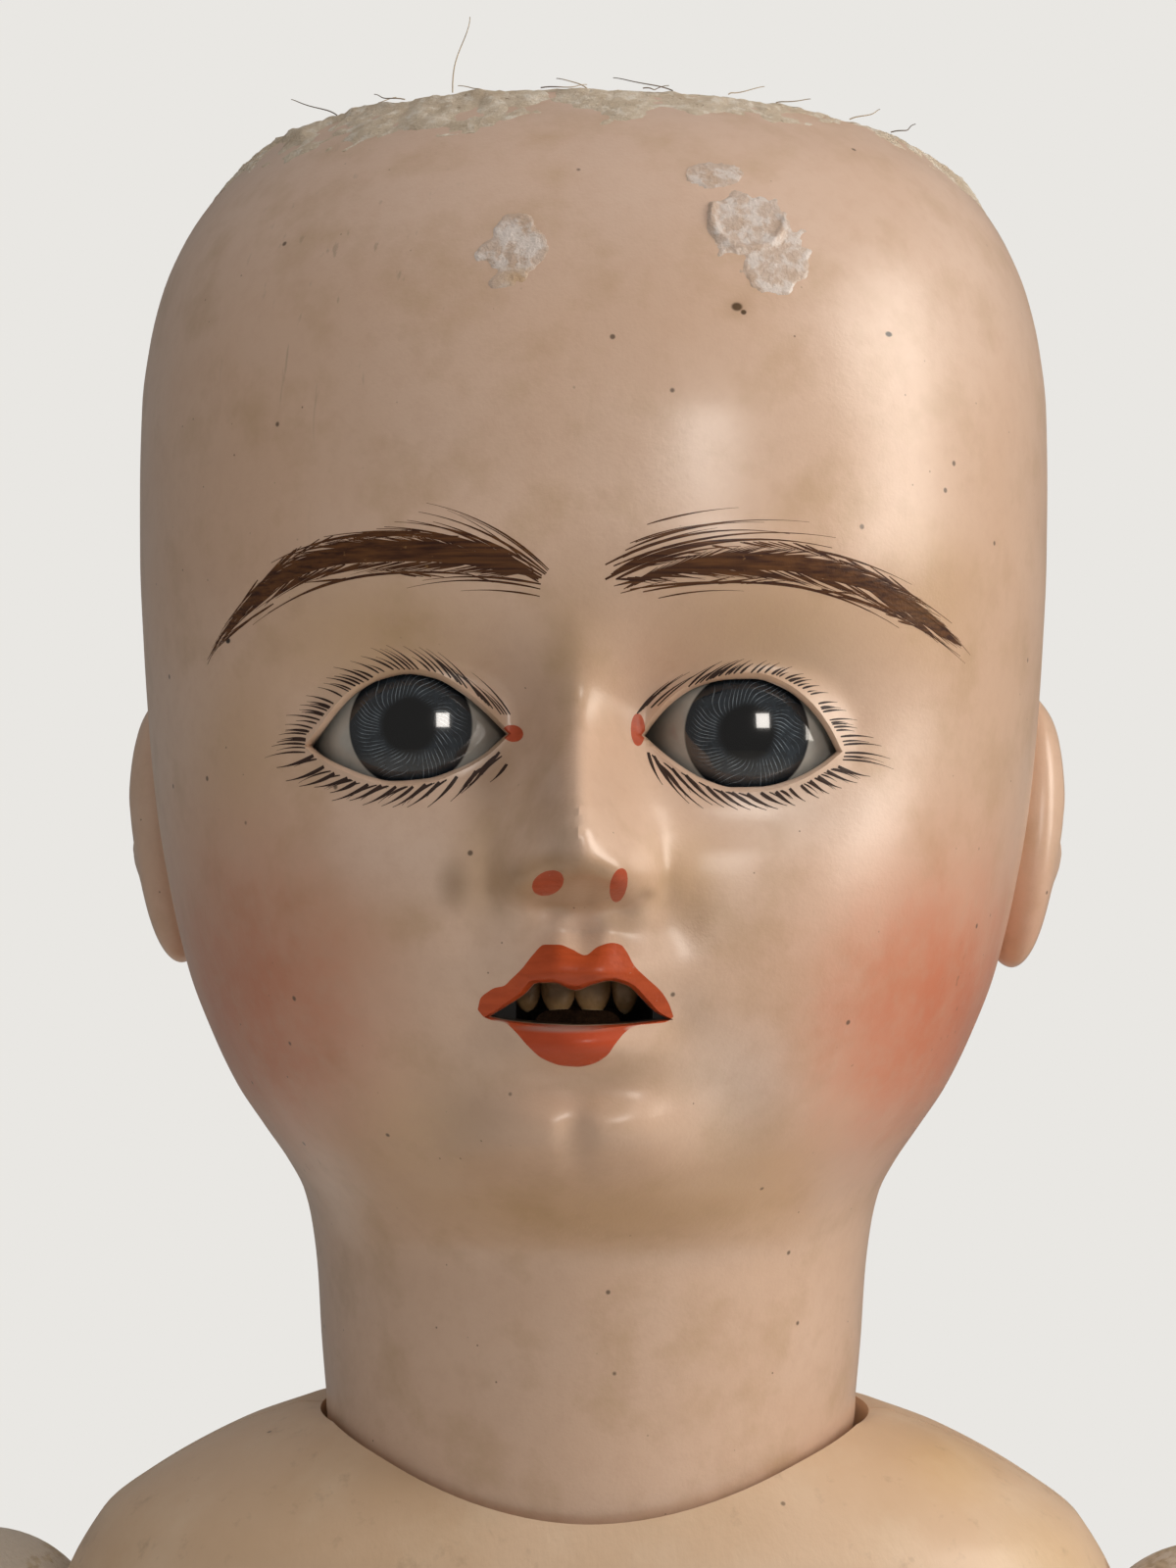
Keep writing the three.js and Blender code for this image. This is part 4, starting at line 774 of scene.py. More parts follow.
def tinted_bisque():
    """Unglazed porcelain: satin, warm, blushed at the cheeks, stained and specked by age, with painted shade
    and painted highlights.
    """
    material, place = new_material("tinted_bisque_porcelain")
    tree = place.id_data
    flat = add(tree, "ShaderNodeVectorMath", {0: place, 1: (1, 0.6, 1)}, operation="MULTIPLY").outputs[0]
    # Kiln tone: rosy grey over the forehead, creamier below
    colour = tinted("#dec0aa", ("#d4b196", noise(place, 26, 3), 0.7),
                    ("#cdb4a6", spot(flat, (0, -20, 62), (60, 40, 44)), 0.45))
    colour = stained(flat, colour, *yellow_stain_and_chin_shade_marks)
    blotch = overlap(noise(place, 7, 4, 0.6, 0.5, 0.72), 0.42)
    # Painted highlights where light falls on the temple, cheeks and chin
    colour = stained(flat, tinted(colour, ("#b5946c", blotch)), *painted_highlight_marks)
    uneven = {0: overlap(noise(place, 5, 3), 0.25), 1: 0.78}
    dab = add(tree, "ShaderNodeMath", uneven, operation="ADD", use_clamp=True).outputs[0]
    for centre, radii, tint, strength in blushes:
        mask = overlap(spot(flat, centre, radii), dab)
        colour = tinted(colour, (tint, mask, strength))
    # Mottled skin, a few millimetres to a patch
    colour = tinted(colour, ("#c9a48c", noise(place, 1.6, 4, 0.65, 0.45, 0.7), 0.22))
    # Painted shade under and beside the nose
    colour = stained(flat, colour, *nose_shade_marks)
    # Dark specks: iron grains in the clay and knocks, each a fraction of a millimetre
    dust = specked(place, 1.7, (0.07, 0.04), 0.76, 1)
    dust_and_shade = overlap(dust, noise(place, 12, 3, 0.5, 0.36, 0.52))
    colour = tinted(colour, ("#4a3626", specked(place, 4.2, (0.07, 0.04), 0.55), 0.8),
                    ("#6b5140", dust_and_shade, 0.8))
    # Fine grime in streaks and hair scratches on the forehead, drawn 0.12 mm wide so they show
    tall = add(tree, "ShaderNodeMapping", {"Vector": place, "Scale": (0.9, 0.9, 0.045)}).outputs[0]
    streak = add(tree, "ShaderNodeTexNoise", {"Vector": tall, "Scale": 0.9, "Detail": 4.0}).outputs[0]
    where = spot(flat, (-20, -20, 40), (17, 40, 26))
    streaks = overlap(band(streak, (0.655, 0.70)), where)
    colour = stained(flat, tinted(colour, ("#8f7c68", streaks, 0.5)), *pit_marks)
    # Pitted knocks through the blush show the darker clay
    chips = noise(place, 0.9, 2, 0.5, 0.69, 0.72)
    for centre, radii in (((34.5, -14, -21), (3.5, 30, 8)), ((25, -20, -24.5), (3.2, 20, 3)),
                          ((-26, -20, -36), (3.2, 20, 3.2))):
        worn = overlap(chips, spot(flat, centre, radii))
        colour = tinted(colour, ("#8a5a3c", worn, 0.8))
    # Painted shade: the cut walls behind the lips are painted near black, so the mouth looks deep. The inner
    # wall is dark brown, partly dust and partly painted shade, and darker towards the bottom as painted shade
    inner = add(tree, "ShaderNodeAttribute", attribute_name="inner_wall").outputs["Fac"]
    dust_and_shade = tinted("#5b4a3c", ("#3f3026", noise(place, 9, 4)))
    deep = overlap(inner, spot(place, (0, 0, -45), (60, 60, 60), 0.6))
    colour = tinted(colour, ("#1d120b", spot(place, (0, -36, -20), (12, 9.9, 8), 0.85)),
                    (dust_and_shade, inner), ("#1b130d", deep, 0.9))
    grain, waves = noise(place, 0.35, 3, 0.6, 0.2, 0.8), noise(place, 5.0, 2, 0.5, 0.2, 0.8)
    heights = {0: overlap(grain, 0.18), 1: overlap(waves, 0.5)}
    relief = add(tree, "ShaderNodeMath", heights, operation="ADD", use_clamp=True).outputs[0]
    rubbed = {0: overlap(noise(place, 9, 3), 0.1), 1: 0.33}
    roughness = add(tree, "ShaderNodeMath", rubbed, operation="ADD", use_clamp=True).outputs[0]
    surface(colour, roughness, relief, 0.08, Coat_Weight=0.6, Coat_Roughness=0.27)
    return material


bisque = tinted_bisque()

# %% [markdown]
# ## Painted features
#
# Lips, the red dots at the eyes and nostrils, and the bodies of the brows are flat, crisp areas of
# china paint. A colour mask would blur their edges, so each is split off the head's surface along
# a measured outline as a thin inlay, flush with the bisque round it.

# %% Split an inlay off the face
def paint_mould(name, upper, lower, depth, stations=72, across=9):
    """A block over the face between two lines, reaching a depth in mm under its skin."""
    top, low = smooth_table(upper), smooth_table(lower)
    start, end = upper[0][0], upper[-1][0]
    rings = []
    for x in start + (end - start) * (1 - np.cos(np.linspace(0, np.pi, stations))) / 2:
        high, bottom = float(top(x)[0]), float(low(x)[0])
        middle, half = (high + bottom) / 2, max((high - bottom) / 2, 0.03)
        z = np.linspace(middle - half, middle + half, across)
        skin = on_face(np.full_like(z, x), z)
        rings.append(np.vstack([skin + [0, depth, 0], (skin - [0, 3, 0])[::-1]]))
    return ring_skin(name, to_doll(np.array(rings)))


def as_one(name, pieces):
    """Several closed solids that don't touch, in one object."""
    points, faces = [], []
    for piece in pieces:
        faces += [tuple(len(points) + i for i in f.vertices) for f in piece.data.polygons]
        points += [tuple(v.co / mm) for v in piece.data.vertices]
        bpy.data.objects.remove(piece)
    return new_mesh(name, points, faces)


def split_off(whole, mould, name):
    """Takes what lies inside a mould out of a piece, as a piece of its own."""
    inlay = bpy.data.objects.new(name, whole.data.copy())
    bpy.context.scene.collection.objects.link(inlay)
    for piece, operation in ((inlay, "INTERSECT"), (whole, "DIFFERENCE")):
        step = piece.modifiers.new("split", "BOOLEAN")
        step.operation, step.solver, step.object = operation, "MANIFOLD", mould
        bake(piece)
    bpy.data.objects.remove(mould)
    return inlay


def disc_lines(x, z, across, up, lean=0.0):
    """The upper and lower line of a leaning oval, for a small dot."""
    turn = np.linspace(0, np.pi, 9)
    aside, rise = -across * np.cos(turn), up * np.sin(turn)
    upper = [[x + a, z + lean * a + r] for a, r in zip(aside, rise)]
    lower = [[x + a, z + lean * a - r] for a, r in zip(aside, rise)]
    return upper, lower


def slimmed(upper, lower, above=0.2, below=0.24):
    """Two lines drawn in towards each other by shares of the space between them."""
    top, low = smooth_table(upper), smooth_table(lower)
    high = [[x, z - above * (z - float(low(x)[0]))] for x, z in upper]
    return high, [[x, z + below * (float(top(x)[0]) - z)] for x, z in lower]


# %% Lips, dots and brows
lips_upper = [
    [-8.45, -20.2], [-8.2, -19.3], [-7.6, -18.75], [-6.91, -18.34], [-6.1, -18.15], [-5.5, -17.6],
    [-4.48, -16.61], [-3.62, -15.51], [-2.62, -14.58], [-1.36, -14.57], [-0.35, -14.9], [0.91, -15.46],
    [1.98, -14.72], [3.2, -14.4], [3.9, -14.55], [4.47, -15.22], [5.05, -16.3], [6.14, -17.4],
    [7.39, -18.6], [8.06, -19.71], [8.4, -20.7],
]
lips_lower = [
    [-8.45, -20.3], [-7.9, -20.9], [-7, -21.2], [-6.06, -21.35], [-5.19, -22.02], [-3.93, -23.36],
    [-2.71, -24.41], [-1.04, -25.01], [0.23, -25.09], [1.5, -24.82], [2.79, -24.01], [3.48, -23.03],
    [4.48, -21.9], [5.4, -21.45], [6.6, -21.35], [7.7, -21.25], [8.4, -20.8],
]
brow_lines = {
    -1: (
        [[-33.93, 10.74], [-32.1, 13.18], [-29.91, 15.3], [-26.94, 17.7], [-24.13, 19.21], [-21.43, 19.91],
         [-18.02, 20.11], [-14.44, 20.11], [-10.68, 19.66], [-7.46, 18.78], [-4.52, 17.57], [-2.92, 16.73]],
        [[-33.93, 10.64], [-31.17, 13.51], [-28.46, 14.93], [-25.57, 16.22], [-22.27, 17.13],
         [-19.09, 17.47], [-15.99, 17.48], [-12.96, 17.41], [-9.96, 17.25], [-6.99, 16.87], [-2.92, 16.5]],
    ),
    1: (
        [[3.23, 16], [5.92, 17], [9.1, 18.22], [12.04, 18.87], [14.74, 19.18], [17.71, 19.28],
         [20.21, 19.03], [22.74, 18.32], [25.32, 17.63], [27.97, 16.48], [30.69, 15.1], [32.38, 13.75],
         [34, 12.2]],
        [[3.23, 15.9], [5.92, 16.24], [9.11, 16.68], [12.05, 16.84], [14.76, 16.9], [17.73, 16.87],
         [20.24, 16.5], [22.78, 16.14], [24.84, 15.78], [26.95, 14.81], [29.36, 13.75], [32.42, 12.24],
         [34, 12]],
    ),
}
lip_mould = paint_mould("lips", lips_upper, lips_lower, 1.0, 110, 15)
painted_lips = split_off(head_shell, lip_mould, "painted_lips")
dots = [(-5.75, 3.75, 0.95, 0.75, -0.1), (5.2, 4.1, 0.62, 1.45, -0.1)]
nostrils = [(-2.12, -9.35, 1.38, 1.02, 0.25), (3.83, -9.5, 0.78, 1.32, 0.7)]
moulds = [paint_mould("dot", *disc_lines(*dot), 0.3, 40, 7) for dot in dots + nostrils]
painted_dots = split_off(head_shell, as_one("dots", moulds), "painted_red_dots")
moulds = [paint_mould("brow", *slimmed(*lines), 0.3, 90, 5) for lines in brow_lines.values()]
painted_brows = split_off(head_shell, as_one("brows", moulds), "painted_brows")


# %% Material: china paint
def china_paint(name, base, deep, worn, roughness, wear, streaks=(0.35, 1, 1.6), marks=()):
    """Fired enamel paint: flat colour with brush streaks, deeper where it pooled, worn in spots."""
    material, place = new_material(name)
    tree = place.id_data
    brushed = add(tree, "ShaderNodeMapping", {"Vector": place, "Scale": streaks}).outputs[0]
    colour = tinted(base, (deep, noise(brushed, 0.9, 3), 0.55),
                    (worn, noise(place, 0.7, 4, 0.6, wear, wear + 0.05), 0.8))
    colour = stained(place, colour, *marks)
    relief, coat = noise(place, 0.4, 3, 0.6, 0.2, 0.8), {"Coat_Weight": 0.1, "Coat_Roughness": 0.2}
    surface(colour, roughness, relief, 0.02, Specular_IOR_Level=0.3, **coat)
    return material


# The upper lip is browner and darkens towards the opening. The lower is brighter, worn at its edge
lip_marks = [
    ((0, -46, -23.4), (9, 12, 3.0), "#bf4c2b", 0.8, 0.3), ((0, -46, -17.6), (6.5, 12, 1.7), "#8c3418", 0.35),
    ((0.2, -44.6, -20.2), (7.8, 2.7, 2.5), "#4d1a0d", 0.7, 0.35),
    ((-1.0, -47, -21.75), (5.2, 8, 0.45), "#a58a80", 0.7, 0.2),
    ((-6.6, -45, -21.5), (1.1, 8, 0.55), "#cdb7a6", 0.9, 0.4),
    ((5.6, -45, -21.75), (1.6, 8, 0.4), "#e3cfc2", 0.8, 0.3),
]
brow_marks = [((29, -24, 15.2), (9, 20, 3.5), "#8f6a38", 0.75), ((-31, -20, 14), (5, 20, 3), "#5f4330", 0.5)]
lip_red = china_paint("lip_red_china_paint", "#c2542c", "#a9441f", "#b9826c", 0.34, 0.68, marks=lip_marks)
dot_red = china_paint("dot_red_china_paint", "#bd5636", "#a5452a", "#c58f76", 0.4, 0.68)
brow_brown = china_paint(
    "brow_brown_china_paint", "#3a1c0e", "#7d5129", "#8a6540", 0.45, 0.66, (0.08, 1, 3.0), brow_marks
)
lash_brown = china_paint("lash_brown_china_paint", "#33231d", "#453028", "#6d5546", 0.5, 0.72)
dress(painted_lips, lip_red, "head", "bisque")
dress(painted_dots, dot_red, "head", "bisque")
dress(painted_brows, brow_brown, "head", "bisque")
dress(head_shell, bisque, "head", "bisque", "head_shell")

# %% [markdown]
# ## Brush strokes
#
# Lashes and brow hairs are single strokes of a fine brush, thick where the brush lands and thin
# where it lifts. Each stroke is a short line on the skin. A Geometry Nodes tree turns all lines
# into flat, tapered ribbons of paint at once. Two attributes on the points steer it: how broad the
# stroke is there, and which way the skin faces.

# %% A tree that turns lines into strokes
def stroke_tree(name, sides):
    """Lines with a breadth and a skin normal become closed strokes of paint or hairs."""
    tree = bpy.data.node_groups.new(name, "GeometryNodeTree")
    tree.interface.new_socket("Geometry", in_out="INPUT", socket_type="NodeSocketGeometry")
    flatness = tree.interface.new_socket("Flatness", in_out="INPUT", socket_type="NodeSocketFloat")
    flatness.default_value = 1.0
    tree.interface.new_socket("Finish", in_out="INPUT", socket_type="NodeSocketMaterial")
    tree.interface.new_socket("Geometry", in_out="OUTPUT", socket_type="NodeSocketGeometry")
    given = add(tree, "NodeGroupInput")
    lines = add(tree, "GeometryNodeMeshToCurve", {"Mesh": given.outputs["Geometry"]})
    named = "GeometryNodeInputNamedAttribute"
    facing = add(tree, named, {"Name": "skin_normal"}, data_type="FLOAT_VECTOR").outputs["Attribute"]
    breadth = add(tree, named, {"Name": "breadth"}).outputs["Attribute"]
    aim = {"Curve": lines.outputs[0], "Normal": facing}
    aimed = add(tree, "GeometryNodeSetCurveNormal", aim, mode="FREE").outputs[0]
    sized = add(tree, "GeometryNodeSetCurveRadius", {"Curve": aimed, "Radius": breadth}).outputs[0]
    circle = add(tree, "GeometryNodeCurvePrimitiveCircle", {"Resolution": sides, "Radius": 0.5}).outputs[0]
    scale = add(tree, "ShaderNodeCombineXYZ", {0: given.outputs["Flatness"], 1: 1.0, 2: 1.0}).outputs[0]
    flat = add(tree, "GeometryNodeTransform", {"Geometry": circle, "Scale": scale}).outputs[0]
    sweep = {"Curve": sized, "Profile Curve": flat, "Scale": breadth, "Fill Caps": True}
    swept = add(tree, "GeometryNodeCurveToMesh", sweep)
    whole = add(tree, "GeometryNodeRealizeInstances", {"Geometry": swept.outputs[0]})
    finish = {"Geometry": whole.outputs[0], "Material": given.outputs["Finish"]}
    add(tree, "NodeGroupOutput", {0: add(tree, "GeometryNodeSetMaterial", finish).outputs[0]})
    return tree


stroke_maker = stroke_tree("paint_strokes", 6)
hair_maker = stroke_tree("round_hairs", 5)


def sweep_lines(name, lines, breadths, normals, maker, flatness, finish):
    """Runs the tree over many lines, each an array of points in mm, and keeps a plain mesh."""
    points = np.vstack(lines)
    edges, first = [], 0
    for line in lines:
        edges += [(first + i, first + i + 1) for i in range(len(line) - 1)]
        first += len(line)
    mesh = bpy.data.meshes.new(name)
    mesh.from_pydata((points * mm).tolist(), edges, [])
    width = mesh.attributes.new("breadth", "FLOAT", "POINT")
    width.data.foreach_set("value", (np.concatenate(breadths) * mm).astype(np.float32))
    facing = mesh.attributes.new("skin_normal", "FLOAT_VECTOR", "POINT")
    facing.data.foreach_set("vector", np.vstack(normals).astype(np.float32).ravel())
    piece = bpy.data.objects.new(name, mesh)
    bpy.context.scene.collection.objects.link(piece)
    step = piece.modifiers.new("strokes", "NODES")
    step.node_group = maker
    for item in maker.interface.items_tree:
        if item.in_out == "INPUT" and item.name == "Flatness":
            step[item.identifier] = flatness
        if item.in_out == "INPUT" and item.name == "Finish":
            step[item.identifier] = finish
    return bake(piece, 60)


# %% Strokes on the face
stroke_random = np.random.default_rng(12)


def face_stroke(start, end, width, bend=0.0, points=8, root=0.55):
    """A stroke between two places on the face, bent sideways by a share of its length."""
    start, end = np.array(start, float), np.array(end, float)
    t = np.linspace(0, 1, points)
    along = end - start
    side = np.array([-along[1], along[0]])
    path = start + t[:, None] * along + (4 * t * (1 - t) * bend)[:, None] * side
    line = on_face(path[:, 0], path[:, 1])
    normal = face_normal(path[:, 0], path[:, 1])
    if normal[0, 1] > 0:
        normal = -normal
    taper = root + (1 - root) * np.clip(t / 0.22, 0, 1)
    taper = taper * (1 - soft_step(0.15, 1.0, t)) + 0.16
    return to_doll(line + normal * 0.012), width * taper, normal


upper_lashes = {
    -1: [
        [-24.2, 2.1, -28.1, 1.7], [-24.2, 2.8, -27.4, 2.7], [-24.1, 3.7, -26.7, 3.7],
        [-23.5, 4.2, -26.1, 4.6], [-22.8, 4.9, -26, 5.4], [-22.1, 5.7, -24.7, 6.3],
        [-21.5, 6.3, -24.1, 7.1], [-20.7, 6.9, -23, 7.8], [-19.5, 7.8, -22.2, 8.6],
        [-18.3, 8.3, -21.5, 9.5], [-17.4, 8.9, -20, 10], [-16.1, 9.2, -19, 10.4],
        [-15.1, 9.2, -18.1, 11.1], [-13.9, 9.2, -16.7, 11.3], [-12.4, 9, -15.2, 11.2],
        [-11.1, 8.5, -13.8, 11.1], [-9.7, 7.6, -13.2, 11], [-8.7, 6.9, -12.2, 10.7],
        [-7.8, 6.1, -11.1, 9.2], [-6.8, 5.4, -10, 8.7], [-6, 5.4, -9.3, 9],
    ],
    1: [
        [23.1, 1.6, 27.7, 0.9], [23.3, 2.2, 27.4, 1.8], [23.2, 2.9, 26.6, 2.9], [22.9, 3.6, 25.9, 3.6],
        [22.3, 4.4, 24.4, 4.4], [21.9, 5, 24.4, 5.1], [21.3, 5.7, 23.4, 5.9], [20.9, 6.4, 22.6, 6.6],
        [20.2, 7.2, 21.8, 7.4], [19.5, 7.7, 21, 8], [18.7, 8.1, 20.3, 8.5], [18, 8.5, 19.6, 9],
        [17.2, 8.8, 18.6, 9.6], [16.2, 9, 17.5, 9.9], [15, 9, 16.4, 10.1], [13.5, 8.9, 15, 10.1],
        [12.2, 8.7, 14.4, 10.2], [11.1, 8.3, 13.9, 10.1], [9.6, 7.8, 12.5, 10], [6.9, 6.2, 12.1, 9.8],
        [5.4, 5.8, 9.7, 9.1], [5.1, 5.5, 7.9, 8.3], [5.9, 6.2, 9.1, 8.9],
    ],
}
lower_lashes = {
    -1: [
        [-23.4, 1.8, -26.9, 0.8], [-22.4, 0.8, -26, -0.4], [-21.4, 0.2, -24.7, -0.9],
        [-20.2, -0.2, -23.3, -1], [-19.4, -0.6, -21.8, -1.5], [-18.3, -0.8, -21.6, -2.2],
        [-17.1, -0.9, -20, -2.2], [-15.8, -1, -18.8, -2.6], [-14.3, -1, -17.1, -2.7],
        [-13.2, -0.8, -16.1, -2.8], [-12, -0.6, -14.8, -2.8], [-10.5, -0.1, -13, -2.8],
        [-8.9, 0.4, -11, -2.3], [-8, 0.9, -10.1, -1.6], [-7.4, 1.6, -9.6, -1], [-6.9, 2.1, -9, 0],
        [-6.2, 1, -7.6, -0.6],
    ],
    1: [
        [22.7, 1, 25.6, 0.2], [21.7, 0.6, 24.4, -0.4], [20.9, 0.1, 23, -0.9], [20.2, -0.3, 21.9, -1.4],
        [19.4, -0.7, 21, -1.8], [18.4, -1, 19.8, -2.1], [17.2, -1.3, 18.9, -2.5], [15.9, -1.4, 18.2, -2.5],
        [14.7, -1.5, 17.4, -2.8], [13.4, -1.4, 16.4, -2.9], [12.4, -1.3, 15, -2.9],
        [11.2, -0.9, 13.9, -2.9], [9.4, 0.1, 12.7, -2.7], [8.2, 0.7, 11.7, -2.5], [6.6, 1.8, 9.7, -2.4],
        [6.1, 2.1, 7.4, -0.8], [7.7, 0.5, 10.9, -2.8],
    ],
}
strokes = []
for side in (-1, 1):
    for x0, z0, x1, z1 in upper_lashes[side]:
        width = stroke_random.uniform(0.17, 0.23) / max(math.hypot(x1 - x0, z1 - z0) / 4, 1)
        strokes.append(face_stroke((x0, z0), (x1, z1), width, side * 0.05))
    for x0, z0, x1, z1 in lower_lashes[side]:
        width = stroke_random.uniform(0.28, 0.36)
        strokes.append(face_stroke((x0, z0), (x1, z1), width, -side * 0.05, root=0.8))
    # A few thinner hairs between the broad ones
    for table, count in ((upper_lashes[side], 40), (lower_lashes[side], 26)):
        for _ in range(count):
            k, f = stroke_random.integers(0, len(table) - 1), stroke_random.uniform(0.3, 0.7)
            a, b = np.array(table[k]), np.array(table[k + 1])
            if np.abs(a[:2] - b[:2]).max() > 2.2:
                continue
            c = a * (1 - f) + b * f
            tip = c[:2] + (c[2:] - c[:2]) * stroke_random.uniform(0.55, 0.95)
            strokes.append(face_stroke(c[:2], tip, stroke_random.uniform(0.13, 0.2), side * 0.05))
painted_lashes = sweep_lines("painted_lashes", *zip(*strokes), stroke_maker, 0.22, lash_brown)
dress(painted_lashes, lash_brown, "head", "bisque")

# %% Brow hairs
brow_hairs = {
    -1: [
        [-2.3, 17.3, -12.84, 23.05, 0.1, 0.18], [-2.5, 17, -13.5, 22.3, 0.09, 0.24],
        [-2.6, 16.9, -15.6, 21.5, 0.1, 0.26], [-2.9, 16.8, -17.2, 20.95, 0.1, 0.3],
        [-3, 16.6, -18.5, 20.75, 0.11, 0.34], [-3.2, 16.5, -21.97, 20.5, 0.12, 0.36],
        [-14, 20.2, -27, 18.6, 0.1, 0.34], [-19, 19.8, -26.2, 18.9, 0.05, 0.24],
        [-3.05, 15.7, -14.6, 15.9, 0.08, 0.2], [-3.1, 15.1, -9.9, 15.6, 0.05, 0.16],
        [-3, 16.1, -13.2, 16.5, 0.06, 0.26], [-9, 16.9, -20, 16.7, 0.05, 0.2],
        [-12.5, 17.1, -24.5, 15.6, 0.07, 0.22], [-16.5, 17.2, -27.5, 14.3, 0.07, 0.22],
        [-20, 16.9, -29, 13.4, 0.06, 0.2], [-24, 19, -32.4, 12.9, 0.1, 0.26],
        [-26, 17.8, -33.9, 10.3, 0.1, 0.34], [-4.5, 17.6, -12.2, 21.4, 0.07, 0.3],
        [-5.5, 18, -14.5, 21.6, 0.08, 0.26], [-7, 18.6, -16.5, 21.1, 0.07, 0.3],
        [-2.4, 17.2, -9.9, 22, 0.07, 0.14], [-3.6, 17.3, -11, 22.4, 0.07, 0.12],
    ],
    1: [
        [6.04, 21.1, 13.8, 22.7, -0.04, 0.16], [5.07, 19.6, 19.9, 21.7, -0.07, 0.16],
        [4.2, 18.9, 16, 21.5, -0.08, 0.2], [2.5, 17.7, 18.2, 20.6, -0.11, 0.28],
        [3.2, 17.6, 22.2, 20.5, -0.09, 0.24], [2.5, 16.5, 21.9, 19.6, -0.12, 0.4],
        [3, 16.9, 17, 20, -0.1, 0.34], [3.4, 16.5, 14, 19.4, -0.08, 0.34],
        [19.5, 19.4, 29.1, 17, -0.05, 0.22], [22.5, 18.6, 33, 14, -0.05, 0.3],
        [5.7, 15.5, 25.4, 14.8, -0.09, 0.24], [7, 15, 14.3, 15.7, -0.05, 0.14],
        [4.6, 15.7, 17.5, 16.3, -0.04, 0.2], [16, 16.5, 28, 13.2, -0.08, 0.26],
        [21, 16.1, 33.9, 11.2, -0.06, 0.26], [25, 15.6, 34.4, 10.6, -0.05, 0.22],
        [28.5, 16, 34.9, 11.4, -0.05, 0.24], [4, 18.3, 12, 20.9, -0.06, 0.16],
        [3.2, 17.1, 10.4, 19.9, -0.07, 0.2], [4.6, 19.5, 11, 21.2, -0.05, 0.12],
    ],
}
strokes = []
for side, rows in brow_hairs.items():
    for x0, z0, x1, z1, bend, width in rows:
        strokes.append(face_stroke((x0, z0), (x1, z1), width, -bend * 0.7, 14, 0.35))
    top, low = (smooth_table(lines) for lines in brow_lines[side])
    start, end = brow_lines[side][0][0][0], brow_lines[side][0][-1][0]
    # Fine hairs that fray the edges of the brow's body
    for _ in range(240):
        x = stroke_random.uniform(start, end)
        x_end = x - stroke_random.uniform(2.2, 5.5) if side < 0 else x + stroke_random.uniform(2.2, 5.5)
        if not start < x_end < end:
            continue
        edge = top if stroke_random.random() < 0.55 else low
        out = stroke_random.uniform(-0.05, 0.32) * (1 if edge is top else -1)
        z0, z1 = float(edge(x)[0]) - 0.6 * np.sign(out), float(edge(x_end)[0]) + out
        strokes.append(face_stroke((x, z0), (x_end, z1), stroke_random.uniform(0.11, 0.22), 0.0, 7, 0.4))
painted_brow_hairs = sweep_lines("painted_brow_hairs", *zip(*strokes), stroke_maker, 0.2, brow_brown)
dress(painted_brow_hairs, brow_brown, "head", "bisque")

# %% [markdown]
# ## The crown's rough edge
#
# The crown was left open in the mould so that the eyes could be set from inside, and a pate and a
# wig were glued over it. Both are gone. What is left is a crust of plaster and old hide glue round
# the edge, thick over the left brow and thin over the right, with shreds of wig cap glued to the
# forehead. The crust is a skin lifted off the bisque by layered random lumps, which dips under the
# surface where the crust ends, so its edge comes out ragged.

# %% Random lumps for modelled surfaces
def lumps(points, size, seed):
    """Smooth random values from 0 to 1 at points in mm, with lumps of about a size."""
    table = np.random.default_rng(seed).random((32, 32, 32))
    q = np.asarray(points, float) / size
    low = np.floor(q).astype(int)
    f = q - low
    f = f * f * (3 - 2 * f)
    total = 0.0
    for corner in range(8):
        step = [(corner >> k) & 1 for k in range(3)]
        weight = 1.0
        for k in range(3):
            weight = weight * (f[..., k] if step[k] else 1 - f[..., k])
        total = total + weight * table[tuple((low[..., k] + step[k]) % 32 for k in range(3))]
    return total


def rough_lumps(points, size, seed):
    """Lumps on lumps, each layer half the size and height of the one before."""
    layers = [lumps(points, size / 2**k, seed + k) * 0.5**k for k in range(4)]
    return sum(layers) / 1.875


def grid_slab(name, top, bottom, keep, wrap=False):
    """A closed slab between two grids of points, in the cells that are kept."""
    rows, columns = top.shape[:2]
    index = -np.ones((rows, columns), int)
    cells = []
    last = columns if wrap else columns - 1
    for i in range(rows - 1):
        for j in range(last):
            k = (j + 1) % columns
            if keep[i, j] or keep[i + 1, j] or keep[i, k] or keep[i + 1, k]:
                cells.append(((i, j), (i, k), (i + 1, k), (i + 1, j)))
    used = sorted({corner for cell in cells for corner in cell})
    for n, (i, j) in enumerate(used):
        index[i, j] = n
    count = len(used)
    picks = tuple(np.array(used).T)
    points = np.vstack([top[picks], bottom[picks]])
    faces, edges = [], {}
    for cell in cells:
        ids = [index[c] for c in cell]
        faces.append(tuple(ids))
        faces.append(tuple(count + v for v in reversed(ids)))
        for a, b in zip(ids, ids[1:] + ids[:1]):
            edges[(a, b)] = edges.get((a, b), 0) + 1
    for a, b in edges:
        if (b, a) not in edges:
            faces.append((b, a, count + a, count + b))
    piece = new_mesh(name, points, faces, 50)
    fix = bmesh.new()
    fix.from_mesh(piece.data)
    bmesh.ops.recalc_face_normals(fix, faces=fix.faces)
    fix.to_mesh(piece.data)
    fix.free()
    return smoothed(piece, 50)


def skin_frames(turn, level):
    """Points and outward directions of the head's skin."""
    step = 0.004
    here = head_point(turn, level)
    across = head_point(turn + step, level) - head_point(turn - step, level)
    up = head_point(turn, level + 0.1) - head_point(turn, level - 0.1)
    return here, unit(np.cross(across, up))


# %% The crust round the crown
def crown_plane(points):
    """The level of the crown's cut over points of the head."""
    return crown_level - crown_lean * points[..., 0] - crown_slope * points[..., 1]


